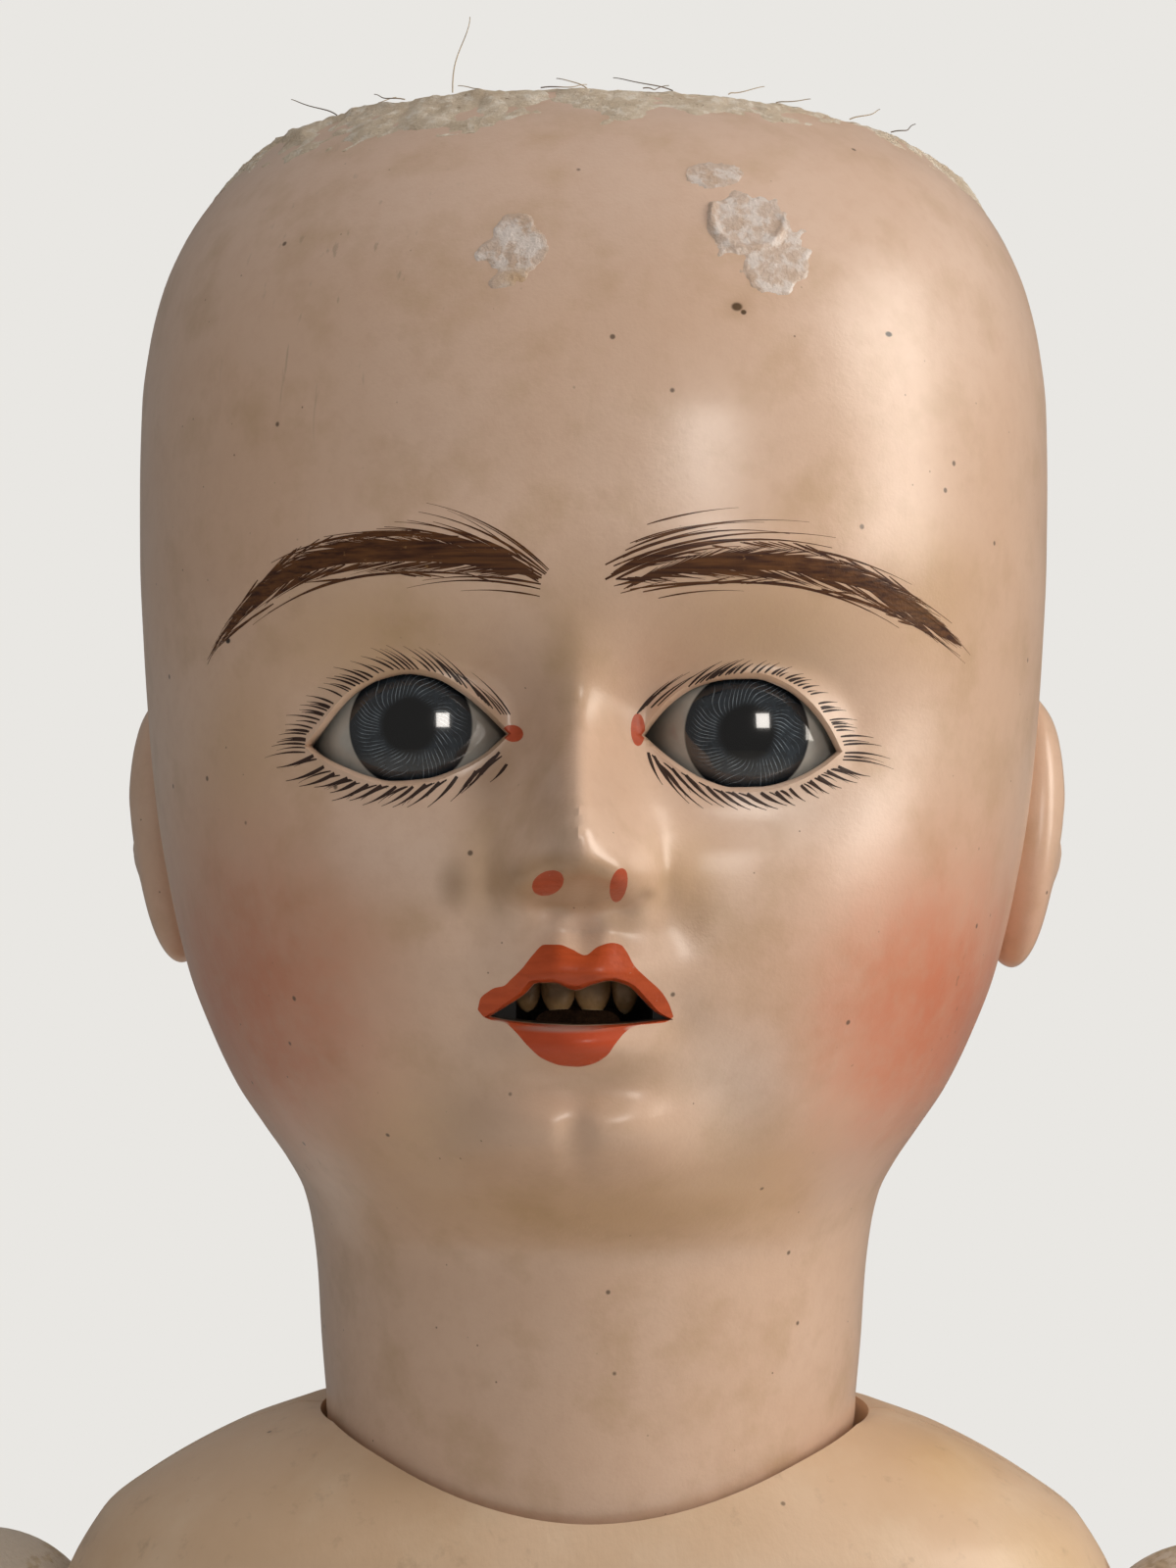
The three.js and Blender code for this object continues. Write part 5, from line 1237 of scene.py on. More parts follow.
def crown_edge(turn):
    """The level at which the crown's cut meets the skin, for each turn round the head."""
    low, high = np.full_like(turn, 44.0), np.full_like(turn, 65.9)
    for _ in range(30):
        level = (low + high) / 2
        skin = head_point(turn, level)
        above = skin[..., 2] > crown_plane(skin)
        low, high = np.where(above, low, level), np.where(above, level, high)
    return (low + high) / 2


around = 560
turn = np.linspace(-np.pi, np.pi, around, endpoint=False)
breadth = 3.2 + 2.6 * np.exp(-(((turn + 0.55) / 0.5) ** 2)) + 0.9 * np.exp(-((turn / 0.35) ** 2))
breadth = breadth + 1.2 * np.abs(np.sin(turn / 2)) ** 4
fade = np.linspace(0, 1, 30)[:, None]
level = crown_edge(turn) - breadth * (1 - fade)
skin, normal = skin_frames(np.broadcast_to(turn, level.shape), level)
left_heap = 0.75 * np.exp(-(((turn + 0.6) / 0.5) ** 2))
thickness = 0.45 + left_heap - 0.1 * np.exp(-(((turn - 0.8) / 0.6) ** 2))
rough, crumbs = rough_lumps(skin, 3.4, 3), rough_lumps(skin, 1.1, 9)
lift = (rough - 0.66 + 0.42 * fade) * 1.5 * thickness + (crumbs - 0.5) * 0.5 * (0.3 + fade)
lift = np.clip(lift, -0.35, 1.1)
top_edge = skin[-1] + normal[-1] * np.maximum(lift[-1], 0.08)[:, None]
inward = unit(-xyz(top_edge[:, 0], top_edge[:, 1] - 3.0, 0.0))
# From the skin the crust rolls over the edge and a little way across the cut, in seven rows
top, bottom = [*(skin + normal * lift[..., None])], [*(skin - normal * 0.5)]
reaches = (0.35, 0.8, 1.3, 1.9, 2.5, 3.1, 3.5)
for reach in reaches:
    row = skin[-1] + inward * reach
    row[:, 2] = crown_plane(row)
    height = 0.25 + 0.9 * (rough_lumps(row, 2.6, 5) - 0.42) + 0.35 * (rough_lumps(row, 0.8, 6) - 0.5)
    bottom.append(row - [0, 0, 0.5])
    row[:, 2] += np.clip(height, -0.2, 0.9) * (1 if reach < reaches[-1] else -0.3)
    top.append(row)
keep = np.vstack([lift > -0.3, np.ones((len(reaches), around), bool)])
crown_crust = grid_slab("plaster_and_glue_crust", to_doll(top), to_doll(bottom), keep, wrap=True)


# %% Shreds of wig cap on the forehead
def forehead_patch(name, x, z, across, up, seed, lean=0.0, fold=0.0):
    """A thin, crinkled film with a ragged outline, lying on the skin."""
    nx, nz = int(across * 9), int(up * 9)
    gx, gz = np.meshgrid(np.linspace(x - across, x + across, nx), np.linspace(z - up, z + up, nz))
    gx = gx + lean * (gz - z)
    skin = on_face(gx, gz)
    normal = face_normal(gx, gz)
    normal = normal * np.where(normal[..., 1:2] > 0, -1, 1)
    ragged = rough_lumps(skin * [1, 0, 1], 3.0, seed)
    reach = np.hypot((gx - x - lean * (gz - z)) / across, (gz - z) / up)
    inside = 0.86 - reach + 1.1 * (ragged - 0.5)
    creases = np.abs(rough_lumps(skin * [1, 0, 1], 1.6, seed + 5) - 0.5)
    cover = soft_step(0.0, 0.16, inside)
    crease_lift = 0.9 * np.clip(0.07 - creases, 0, 1)
    lift = -0.2 + cover * (0.23 + crease_lift + 0.05 * rough_lumps(skin, 0.5, seed + 8))
    if fold:
        ridge = np.exp(-((np.hypot(gx - x + 1.0, gz - z - 2.4) - 3.2) / 0.35) ** 2)
        lift = lift + cover * ridge * fold
    top, bottom = to_doll(skin + normal * lift[..., None]), to_doll(skin - normal * 0.4)
    return grid_slab(name, top, bottom, lift > -0.12)


shreds = [
    forehead_patch("left_shred_of_wig_cap", -5.6, 45.6, 3.4, 4.2, 21, 0.1),
    forehead_patch("right_shred_of_wig_cap", 15.6, 46.6, 5.2, 5.6, 34, -0.25, 0.3),
    forehead_patch("upper_shred_of_wig_cap", 11.8, 53.2, 2.6, 2.4, 47, 0.2),
]


# %% Materials: plaster with glue, and glued gauze
def old_plaster():
    """Plaster of Paris soaked with hide glue: chalky, grey-cream, browner where glue pooled."""
    material, place = new_material("plaster_with_hide_glue")
    colour = tinted("#d4c6b3",
                    ("#bda990", noise(place, 2.6, 4, 0.6), 0.7),
                    ("#e6dfd4", noise(place, 1.2, 4, 0.6, 0.5, 0.65), 0.7),
                    ("#7c6850", noise(place, 0.8, 3, 0.6, 0.66, 0.74), 0.6))
    surface(colour, 0.85, noise(place, 0.4, 5, 0.7, 0.2, 0.8), 0.15)
    return material


def glued_gauze():
    """A film of glue and gauze: pearly where it lifts, yellow where the glue lies thick."""
    material, place = new_material("dried_glue_and_gauze")
    colour = tinted("#d2c0b4",
                    ("#c2a48b", noise(place, 2.2, 4, 0.6), 0.7),
                    ("#e3dad5", noise(place, 1.8, 4, 0.65, 0.48, 0.58), 0.75),
                    ("#c9a06a", spot(place, (-5.2, -45, 42.6), (2.8, 20, 1.8)), 0.6))
    relief = noise(place, 0.45, 4, 0.65, 0.2, 0.8)
    surface(colour, 0.36, relief, 0.12, Coat_Weight=0.6, Coat_Roughness=0.22)
    return material


dress(crown_crust, old_plaster(), "head", "plaster")
gauze_finish = glued_gauze()
for shred in shreds:
    dress(shred, gauze_finish, "head", "plaster")

# %% [markdown]
# ## Stray hairs
#
# A few hairs and cotton threads of the lost wig are still stuck in the crust. They use the same
# kind of tree as the brush strokes, with a round section.

# %% Hairs on the crown
hair_random = np.random.default_rng(31)


def stray_hair(turn_at, length, rise, drift, curl):
    """A hair that leaves the crust, rises, and bends over with a slight curl."""
    level = float(crown_edge(np.array([turn_at]))[0])
    root = head_point(np.array([turn_at]), np.array([level]))[0]
    t = np.linspace(0, 1, 14)
    x = root[0] + drift * length * t + curl * np.sin(t * 5.0 + turn_at * 7)
    y = root[1] - 0.2 + 0.25 * length * t * t
    z = root[2] + 0.2 + rise * length * (t - 0.35 * t * t) + 0.5 * curl * np.cos(t * 6.0)
    line = xyz(x, y, z)
    return to_doll(line), np.full(14, 0.13) * (1 - 0.4 * t), np.tile([0.0, -1.0, 0.0], (14, 1))


hairs = [stray_hair(-0.34, 9.6, 1.25, 0.1, 0.35), stray_hair(-0.5, 4.0, 0.3, -0.8, 0.3)]
for turn_at, drift in (
    (-0.1, 0.7), (0.0, -0.6), (0.12, 0.9), (0.35, 0.8), (-0.25, -0.5), (0.5, 0.9), (0.9, 0.9),
    (0.75, 0.6), (-0.75, -0.8), (-0.6, 0.5), (0.2, -0.9), (2.6, 0.8), (-2.4, -0.7),
):
    length, rise = hair_random.uniform(3.0, 6.5), hair_random.uniform(0.15, 0.55)
    hairs.append(stray_hair(turn_at, length, rise, drift, hair_random.uniform(0.1, 0.4)))
hair_material, place = new_material("mohair_fibre")
fibre = tinted("#b8a68c", ("#5d4c3d", noise(place, 9, 2, 0.5, 0.45, 0.55)))
surface(fibre, 0.5)
stray_hairs = sweep_lines("stray_wig_hairs", *zip(*hairs), hair_maker, 1.0, hair_material)
dress(stray_hairs, hair_material, "head", "plaster")

# %% [markdown]
# ## Glass sleep eyes
#
# Each eye is a ball of blown milk glass. While it was hot, an iris of dark blue-grey glass was laid
# on and fine white threads were drawn through it, then a dark pupil and a clear dome went over all.
# The dome gives the small sharp window reflection. The threads are 54 lines that run outwards round
# the pupil, bent by smooth noise.

# %% Material: threaded glass eye
def threaded_glass(name, side, aside, rise):
    """Milk glass with a threaded iris, glossy under a clear dome."""
    centre = to_doll(eye_centres[side] + [aside, 0, rise])
    material, place = new_material(name, centre)
    tree = place.id_data
    parts = add(tree, "ShaderNodeSeparateXYZ", {0: place}).outputs
    level = add(tree, "ShaderNodeCombineXYZ", {0: parts[0], 2: parts[2]}).outputs[0]
    reach = add(tree, "ShaderNodeVectorMath", {0: level}, operation="LENGTH").outputs["Value"]
    before = {0: parts[1], 1: 0.0}
    front = add(tree, "ShaderNodeMath", before, operation="LESS_THAN", use_clamp=True).outputs[0]
    # Smooth noise bends the threads more the further they are from the pupil
    angle = add(tree, "ShaderNodeMath", {0: parts[2], 1: parts[0]}, operation="ARCTAN2").outputs[0]
    drift = add(tree, "ShaderNodeTexNoise", {"Vector": level, "Scale": 0.2, "Detail": 1.0}).outputs[0]
    bend = add(tree, "ShaderNodeMath", {0: drift, 1: reach}, operation="MULTIPLY").outputs[0]
    swing = add(tree, "ShaderNodeMath", {0: bend, 1: 2.6}, operation="MULTIPLY").outputs[0]
    turns = {0: angle, 1: 54 / (2 * math.pi), 2: swing}
    spread = add(tree, "ShaderNodeMath", turns, operation="MULTIPLY_ADD").outputs[0]
    saw = add(tree, "ShaderNodeMath", {0: spread, 1: 0.5}, operation="PINGPONG").outputs[0]
    apart = add(tree, "ShaderNodeMath", {0: saw, 1: reach}, operation="MULTIPLY").outputs[0]
    patch = noise(level, 1.5, 2, 0.5, 0.38, 0.6)
    ring = band(reach, (2.0, 2.9), (5.2, 4.4))
    threads = overlap(band(apart, (0.34, 0.08)), patch, ring)
    # Painted shade: the whites are darker and browner towards the inner corners
    white = tinted("#b4b2ac", ("#928f88", noise(place, 3, 3), 0.5),
                   ("#54483c", spot(place, (-side * 8, -6, 0), (4.5, 12, 6)), 0.75))
    iris = tinted("#20262c", ("#38414a", noise(level, 1.1, 3, 0.6), 0.6),
                  ("#a3b1bc", threads, 0.8),
                  ("#15181c", band(reach, (4.3, 5.3)), 0.8),
                  ("#07080a", band(reach, (3.0, 2.1), smooth=True)))
    inside = overlap(band(reach, (5.55, 5.35), smooth=True), front)
    colour = tinted(white, (iris, inside))
    surface(colour, 0.12, Coat_Weight=1.0, Coat_Roughness=0.02, Coat_IOR=1.5)
    return material


# %% Blow the eyes
plug_radius = eye_radius * 0.42
for side, word, aside, rise in ((1, "left", 0.35, -0.3), (-1, "right", -0.42, 0.23)):
    centre = to_doll(eye_centres[side])
    ball = ball_solid(f"{word}_blown_glass_eye", eye_radius, centre, 128, 90)
    mouth = rod("mouth", plug_radius, centre, centre + [0, eye_radius + 2, 0], 48)
    carve(ball, [mouth, ball_solid("hollow", eye_radius - 1.1, centre)])
    glass = threaded_glass(f"{word}_threaded_milk_glass", side, aside, rise)
    dress(ball, glass, "eyes", "eye_glass", f"{word}_eye")

# %% [markdown]
# ## Teeth
#
# Four upper teeth of yellowed porcelain sit on one strip behind the lip. Each is a flattened drop
# with a paler lower edge, and they are crowded unevenly, as hand-set teeth are.

# %% Teeth
tooth_depth = 0.885 * head_half
teeth = []
turn_round = full_turn(28)
# Middle, half width and lower edge of each tooth
tooth_rows = ((-4.55, 1.25, -20.75), (-1.75, 1.55, -20.95), (1.25, 1.6, -21.0), (4.1, 1.2, -20.85))
for middle, half, low in tooth_rows:
    rings = []
    back = 0.045 * middle * middle
    for t in np.linspace(0, 1, 18):
        taper = math.sqrt(max(1 - max((t - 0.62) / 0.38, 0) ** 2.2, 0.004))
        wide = half * (0.82 + 0.2 * math.sin(math.pi * min(t * 1.1, 1))) * taper
        thick = 0.95 * math.sqrt(max(1 - max((t - 0.5) / 0.5, 0) ** 2, 0.004))
        x = middle + wide * towards(np.sin(turn_round), 0.85)
        y = -tooth_depth + 1.0 + back - thick * towards(np.cos(turn_round), 0.9) - 0.25 * t
        rings.append(xyz(x, y, -15.6 + (low + 15.6) * t))
    teeth.append(ring_skin("tooth", to_doll(rings)))
strip = []
for x in np.linspace(-6.4, 6.4, 24):
    y = -tooth_depth + 1.9 + 0.045 * x * x
    strip.append(xyz(x, y + np.array([-0.8, 1.2, 1.2, -0.8]), [-16.6, -16.6, -14.2, -14.2]))
teeth.append(ring_skin("strip", to_doll(strip), 30))
upper_teeth = carve(teeth[0], (), teeth[1:])
upper_teeth.name = "porcelain_upper_teeth"
tooth_material, place = new_material("yellowed_tooth_porcelain")
colour = tinted("#d2a877", ("#a0794a", noise(place, 1.4, 3), 0.6),
                ("#f3dfbd", spot(place, (0, -40, -20.9), (8, 6, 0.7), 0.2), 0.7))
surface(colour, 0.3, noise(place, 0.5, 3), 0.03, Coat_Weight=0.3, Coat_Roughness=0.1)
dress(upper_teeth, tooth_material, "head", "tooth_porcelain", "upper_teeth")

# %% [markdown]
# ## The torso: two pressed shells
#
# The torso is pressed from wood pulp and glue in two half moulds, glued edge to edge and painted.
# It is a skin lofted through measured rows, hollowed like a pot, with a round seat for the neck
# and for each arm and leg. The two halves stay two pieces, since the seam between them shows as a
# dark line down both sides.

# %% The torso's skin
torso_rows = smooth_table([
    [0, 0.546, 0.576, 0.606], [0.0133, 0.667, 0.682, 0.712], [0.0411, 0.833, 0.812, 0.836],
    [0.0578, 0.904, 0.864, 0.879], [0.1078, 0.985, 0.964, 0.955], [0.1467, 1, 1, 0.982],
    [0.1911, 0.944, 1.018, 0.988], [0.2911, 0.83, 1, 0.933], [0.4244, 0.769, 0.964, 0.836],
    [0.4911, 0.765, 0.988, 0.83], [0.5578, 0.793, 1.036, 0.867], [0.6244, 0.833, 1.073, 0.939],
    [0.6911, 0.876, 1.073, 1.03], [0.7578, 0.904, 1.03, 1.103], [0.8133, 0.904, 0.958, 1.121],
    [0.8689, 0.87, 0.867, 1.091], [0.9133, 0.796, 0.758, 1], [0.98, 0.481, 0.394, 0.606],
    [0.9967, 0.259, 0.182, 0.303],
])
torso_height, half_width, half_depth = 180.0, 54.0, 33.0


def in_torso(points):
    """Torso points, measured from its top and the seam, in the doll's place."""
    return np.asarray(points, float) + [0, seam_y, torso_top]


def torso_relief(x, front, z):
    """How far the pressed shell stands out in mm: chest, navel, shoulder blades and the cleft."""
    def hump(cx, cz, wide, high, rise):
        return rise * np.exp(-(((np.abs(x) - cx) / wide) ** 2) - ((z + cz) / high) ** 2)

    chest = hump(17, 46, 13, 12, 0.5) - hump(0, 40, 3.5, 22, 0.35) - hump(0, 117, 2.2, 2.0, 1.3)
    belly = hump(0, 112, 20, 22, 0.3) - hump(22, 150, 9, 5, 0.35)
    back = hump(18, 45, 10, 16, 0.55) - hump(0, 60, 3.2, 34, 0.6)
    seat = -hump(0, 152, 2.4, 17, 1.5) - hump(17, 162, 12, 2.4, 0.5)
    return np.where(front > 0, (chest + belly) * front, (back + seat) * -front)


def torso_skin(name, inset, around, up):
    """The torso's outside, or its inside when inset by the wall."""
    shrink = 1 - 2 * inset / torso_height
    drops = packed(0, 0.9967, up, lambda t: 1 + 4 * (t < 0.08) + 3 * (t > 0.88))
    turn = full_turn(around)
    rings = []
    for drop in drops:
        across, front, back = torso_rows(drop)
        depth = towards(np.cos(turn), 2 / 2.2)
        x = (across * half_width - inset) * towards(np.sin(turn), 2 / 2.2)
        reach = np.where(depth > 0, front, back) * half_depth - inset
        z = -(0.5 + (drop - 0.5) * shrink) * torso_height
        y = -depth * reach
        if inset == 0:
            y = y - np.sign(depth) * torso_relief(x, depth, z) * np.sqrt(np.abs(depth))
        rings.append(xyz(x, y, z))
    return ring_skin(name, in_torso(rings))


# %% Press the halves
neck_centre = np.array([0, 0, neck_pivot - torso_top])
shoulder_radius, hip_radius, thigh_radius = 13.0, 17.0, 20.5
ball_gap, cup_wall, torso_wall = 0.1, 3.4, 4.2
shoulder_at = {side: np.array([side * 63.0, 6.0, -27.5]) for side in (1, -1)}
hip_at = {side: np.array([side * 23.5, 0, 218 - torso_top]) for side in (1, -1)}
hook_bend = 1.0 + 1.5 + 0.39
hook_level = -(neck_radius + hook_bend / 6)
hook_foot = hook_level - 2 * hook_bend
elastic_bore = 5.4


def leg_elastic_top(side):
    """Where a leg's elastic hangs on the loop, from the torso's top."""
    return np.array([side * hook_bend, -hook_bend, neck_centre[2] + hook_foot - 1.5])


def hip_face(name, side, lift):
    """The slanting cut at a hip, which lets the thigh swing forward."""
    point = hip_at[side] + np.array([0, 0, 0.615 * thigh_radius + lift])
    return beyond(name, in_torso(point), (side * 0.3, -0.51, -1))


def sockets(thick):
    """Round seats for the neck, arms and legs, grown by the thickness of their cups."""
    seats = [ball_solid("neck_seat", neck_radius + thick, in_torso(neck_centre), 96, 60)]
    for side in (1, -1):
        seats.append(ball_solid("arm_seat", shoulder_radius + thick, in_torso(shoulder_at[side])))
        seats.append(ball_solid("leg_seat", hip_radius + thick, in_torso(hip_at[side])))
        seats.append(hip_face("hip_face", side, torso_wall if thick > 1 else 0))
    return seats


def bore(start, end, wider=0.0):
    """A bore for the elastic between two places in the doll."""
    return rod("bore", elastic_bore / 2 + wider, start, end, 24)


def pressed_half(name, away):
    """One half of the hollow torso, on the side of the seam that away doesn't point to."""
    hollow = carve(torso_skin("hollow", torso_wall, 64, 60), sockets(cup_wall + 0.3))
    cutters = [hollow, *sockets(ball_gap)]
    floor = neck_centre - [0, 0, neck_radius + cup_wall + 5]
    cutters.append(rod("neck_hole", 15, in_torso(neck_centre), in_torso(floor), 64))
    # The neck's seat is eased at its rim, so that the head can tilt
    eased = in_torso(neck_centre + [0.4, -0.3, 1.6])
    cutters.append(ball_solid("eased_rim", neck_radius + 1.1, eased, 120, 70))
    for side in (1, -1):
        shoulder, hip = shoulder_at[side], hip_at[side]
        cutters.append(bore(in_torso(shoulder), in_torso(shoulder * [0.5, 1, 1])))
        along = hip + unit(leg_elastic_top(side) - hip) * (hip_radius + 8)
        cutters.append(bore(in_torso(hip), in_torso(along)))
    cutters.append(beyond("seam", (0, seam_y - away * 0.12, 0), (0, away, 0), 900))
    return carve(torso_skin(name, 0, 160, 150), cutters)


torso_halves = {"front": pressed_half("torso_front_shell", 1), "back": pressed_half("torso_back_shell", -1)}
for half in torso_halves.values():
    print(half.name, len(half.data.polygons), "faces")

# %% [markdown]
# ## Turned limbs and loose balls
#
# Arms and legs are turned wood with a dome at the top, a plain waist at each joint and a bore for
# the elastic. Between two limbs sits a loose wooden ball. A slot in it lets the elastic swing, and
# the slanting faces of its neighbours stop the joint.

# %% Limb helpers
arm_splay = 5.0
origin = np.zeros(3)


def in_arm(points, side, drop=0.0):
    """Points of an arm, measured from its shoulder or from a joint below it."""
    hanging = np.asarray(points, float) + [0, 0, -drop]
    return turned(hanging, 1, -side * arm_splay) + in_torso(shoulder_at[side])


def in_leg(points, side, drop=0.0):
    """Points of a leg, measured from its hip or from a joint below it."""
    return np.asarray(points, float) + [0, 0, -drop] + in_torso(hip_at[side])


def joints(limb, side, *drops):
    """For each joint of a limb, the function that places points measured from it."""
    return [lambda points, drop=drop: limb(points, side, drop) for drop in drops]


def limb_rings(rows, length, start_radius, end_radius, around=64, up=90):
    """Rings of a limb that hangs from its joint's centre and starts in a dome."""
    shape = smooth_table(rows)
    turn = full_turn(around)
    circle = xyz(np.sin(turn), -np.cos(turn), 0)
    dome = end_radius + rows[0][1] * (start_radius - end_radius)
    rings = []
    for lift in np.radians(np.linspace(88, 4, 14)):
        rings.append(circle * dome * math.cos(lift) + [0, 0, dome * math.sin(lift)])
    for drop in np.linspace(0, rows[-1][0], up):
        fullness, setback = shape(drop)
        radius = end_radius + fullness * (start_radius - end_radius)
        rings.append(circle * radius + [0, setback * start_radius, -drop * length])
    return np.array(rings)


def slot_fan(centre, radius, width, start, towards_way, sweep):
    """A slot from a ball's centre outwards, swept from one direction to another."""
    one = unit(np.asarray(start, float))
    three = unit(np.cross(one, towards_way))
    two = np.cross(three, one)
    half = width / 2

    def place(angle, distance, aside):
        c, s = math.cos(angle), math.sin(angle)
        return (distance * c - aside * s) * one + (distance * s + aside * c) * two

    outline = [place(0, -half, -half), place(0, radius + 2, -half)]
    outline += [place(sweep * i / 16, radius + 4, 0) for i in range(17)]
    outline += [place(sweep, radius + 2, half), place(sweep, -half, half)]
    outline = np.array(outline) + np.asarray(centre, float)
    return ring_skin("slot", [outline - three * half, outline + three * half])


def seat(place, radius, *fineness):
    """A round seat for a ball at a joint's centre, with the gap that lets it turn."""
    return ball_solid("seat", radius + ball_gap, place(origin), *fineness)


def face_across(place, point, way):
    """A cut through a limb at a point, taking away the side that way points to."""
    return beyond("face", place(point), place(way) - place(origin))


def joint_face(place, radius, middle, lean, upper, closes_to):
    """A slanting face across a limb at its ball, leaning away from the side it closes on."""
    way = 1 if upper else -1
    return face_across(place, [0, 0, way * middle * radius], [0, closes_to * lean, -way])


def limb_ball(name, radius, place, inwards, slot_way):
    """A loose ball with a bore for the elastic that comes in and a slot for the one that swings."""
    centre = place(origin)
    ball = ball_solid(name, radius, centre, 72, 44)
    start, end = place([0, 0, -1.0]) - centre, place(slot_way) - centre
    fan = slot_fan(centre, radius, elastic_bore, start, end, math.pi / 2)
    return carve(ball, [bore(centre, place(np.array(inwards) * (radius + 2))), fan])


# %% Arms
shoulder_ball, elbow_ball, wrist_ball = 13.0, 9.8, 6.3
upper_arm_rows = [
    [0, 1, 0], [0.16, 0.78, 0], [0.34, 0.4, 0.01], [0.58, 0.08, 0.02], [0.82, 0, 0], [1, 0, 0],
]
forearm_rows = [[0, 1, 0], [0.2, 1.12, 0.02], [0.45, 0.8, 0.03], [0.75, 0.14, 0], [0.97, 0, 0]]
upper_arm_length, forearm_length = 68.0, 58.0
arm_drops = (0.0, upper_arm_length, upper_arm_length + forearm_length)
pieces = {}

for side, word in sides:
    upper, elbow, wrist = joints(in_arm, side, *arm_drops)
    ball_name = f"{word}_turned_shoulder_ball"
    pieces[word, "shoulder_ball"] = limb_ball(ball_name, shoulder_ball, upper, [-side, 0, 0], [side, 0, 0])
    ball_name = f"{word}_turned_elbow_ball"
    pieces[word, "elbow_ball"] = limb_ball(ball_name, elbow_ball, elbow, [0, 0, 1], [0, -1, 0])
    rings = upper(limb_rings(upper_arm_rows, upper_arm_length, 15, 10.8))
    face_drop = 0.19 * shoulder_ball * math.sqrt(0.5)
    pieces[word, "upper_arm"] = carve(ring_skin(f"{word}_turned_upper_arm", rings), [
        face_across(upper, [side * face_drop, 0, -face_drop], [-side, 0, 1.0]),
        seat(upper, shoulder_ball),
        seat(elbow, elbow_ball),
        joint_face(elbow, 10.8, 0.523, 0.477, True, -1),
        bore(upper(origin), elbow(origin)),
    ])
    rings = elbow(limb_rings(forearm_rows, forearm_length, 10.8, 8.2))
    pieces[word, "forearm"] = carve(ring_skin(f"{word}_turned_forearm", rings), [
        seat(elbow, elbow_ball),
        joint_face(elbow, 10.8, 0.523, 0.477, False, -1),
        seat(wrist, wrist_ball),
        face_across(elbow, [0, 0, -forearm_length + wrist_ball * 0.12], [0, 0, -1.0]),
        bore(elbow(origin), wrist(origin), 1),
    ])
print(len(pieces), "pieces of the arms")

# %% [markdown]
# ## Hands and feet
#
# A hand or foot is carved wood with soft, rounded forms. Palm and fingers start as separate
# shapes, are melted into one skin by voxels, and are smoothed until the joins look carved.

# %% Melt shapes into one
def melted(name, shapes, voxel, passes):
    """One closed skin over overlapping shapes, with soft joins."""
    whole = as_one(name, shapes)
    remesh = whole.modifiers.new("voxels", "REMESH")
    remesh.mode, remesh.voxel_size = "VOXEL", voxel * mm
    soften = whole.modifiers.new("soften", "SMOOTH")
    soften.factor, soften.iterations = 0.5, passes
    return bake(whole, 180)


def digit(name, points, radius, place):
    """A finger, thumb or toe along a short curve, with a rounded tip and a soft knuckle."""
    steps = np.linspace(0, 1, len(points))
    path = smooth_table(np.hstack([steps[:, None], np.array(points, float)]))
    rings = []
    turn = full_turn(20)
    for t in np.linspace(0, 1, 24):
        centre, ahead = path(t), path(min(t + 0.01, 1)) - path(max(t - 0.01, 0))
        basis = np.array(Vector(ahead).normalized().to_track_quat("Z", "X").to_matrix())
        tip = math.sqrt(max(1 - max((t - 0.8) / 0.2, 0) ** 2, 0.003))
        wide = radius * tip * (1 - 0.1 * t + 0.05 * math.cos(4 * math.pi * t))
        circle = xyz(np.cos(turn), np.sin(turn), 0) * wide
        rings.append(circle @ basis.T + centre)
    return ring_skin(name, place(rings))


# %% Hands
hand_length, half_hand, half_thick = 41.0, 8.5, 4.2
palm_rows = [
    [0, 0.5, 0.8], [0.08, 0.62, 1.2], [0.2, 0.72, 1.1], [0.36, 0.94, 1], [0.52, 1, 0.9],
    [0.64, 0.93, 0.72],
]


def hand(side, word, place):
    """A hand that hangs with its palm to the body and its thumb to the front."""
    shape = smooth_table(palm_rows)
    turn = full_turn(40)
    rings = []
    for drop in np.linspace(0.0, 0.64, 26):
        wide, thick = shape(drop)
        hollow = 0.5 * side * math.exp(-(((drop - 0.42) / 0.14) ** 2))
        x = thick * half_thick * towards(np.sin(turn), 2 / 2.3)
        x = x + hollow * (np.sin(turn) * -side > 0) * np.abs(np.sin(turn))
        y = -wide * half_hand * towards(np.cos(turn), 2 / 2.3)
        rings.append(xyz(x, y, -drop * hand_length))
    shapes = [ring_skin("palm", place(rings))]
    shapes.append(ball_solid("wrist", wrist_ball, place(origin), 48, 30))
    for i, length in enumerate([0.34, 0.4, 0.37, 0.29]):
        y = (i - 1.5) * 0.47 * half_hand
        path = [
            [-side * half_thick * 0.55 * t * t, y * (1 + 0.1 * t), -(0.5 + (length + 0.08) * t) * hand_length]
            for t in (0, 0.45, 0.85, 1)
        ]
        shapes.append(digit("finger", path, 0.235 * half_hand, place))
    thumb = np.array([
        [0, -0.45, -0.2], [-side * 0.25, -1.05, -0.4],
        [-side * 0.45, -1.28, -0.55], [-side * 0.5, -1.32, -0.62],
    ])
    shapes.append(digit("thumb", thumb * [half_thick, half_hand, hand_length], 0.27 * half_hand, place))
    whole = melted(f"{word}_carved_hand", shapes, 0.36, 3)
    ends = place([[0, 0, wrist_ball + 2], [0, 0, -wrist_ball / 2]])
    return carve(whole, [rod("shank_hole", 0.9, *ends, 16)])


for side, word in sides:
    pieces[word, "hand"] = hand(side, word, joints(in_arm, side, arm_drops[2])[0])
    print(pieces[word, "hand"].name, len(pieces[word, "hand"].data.polygons), "faces")

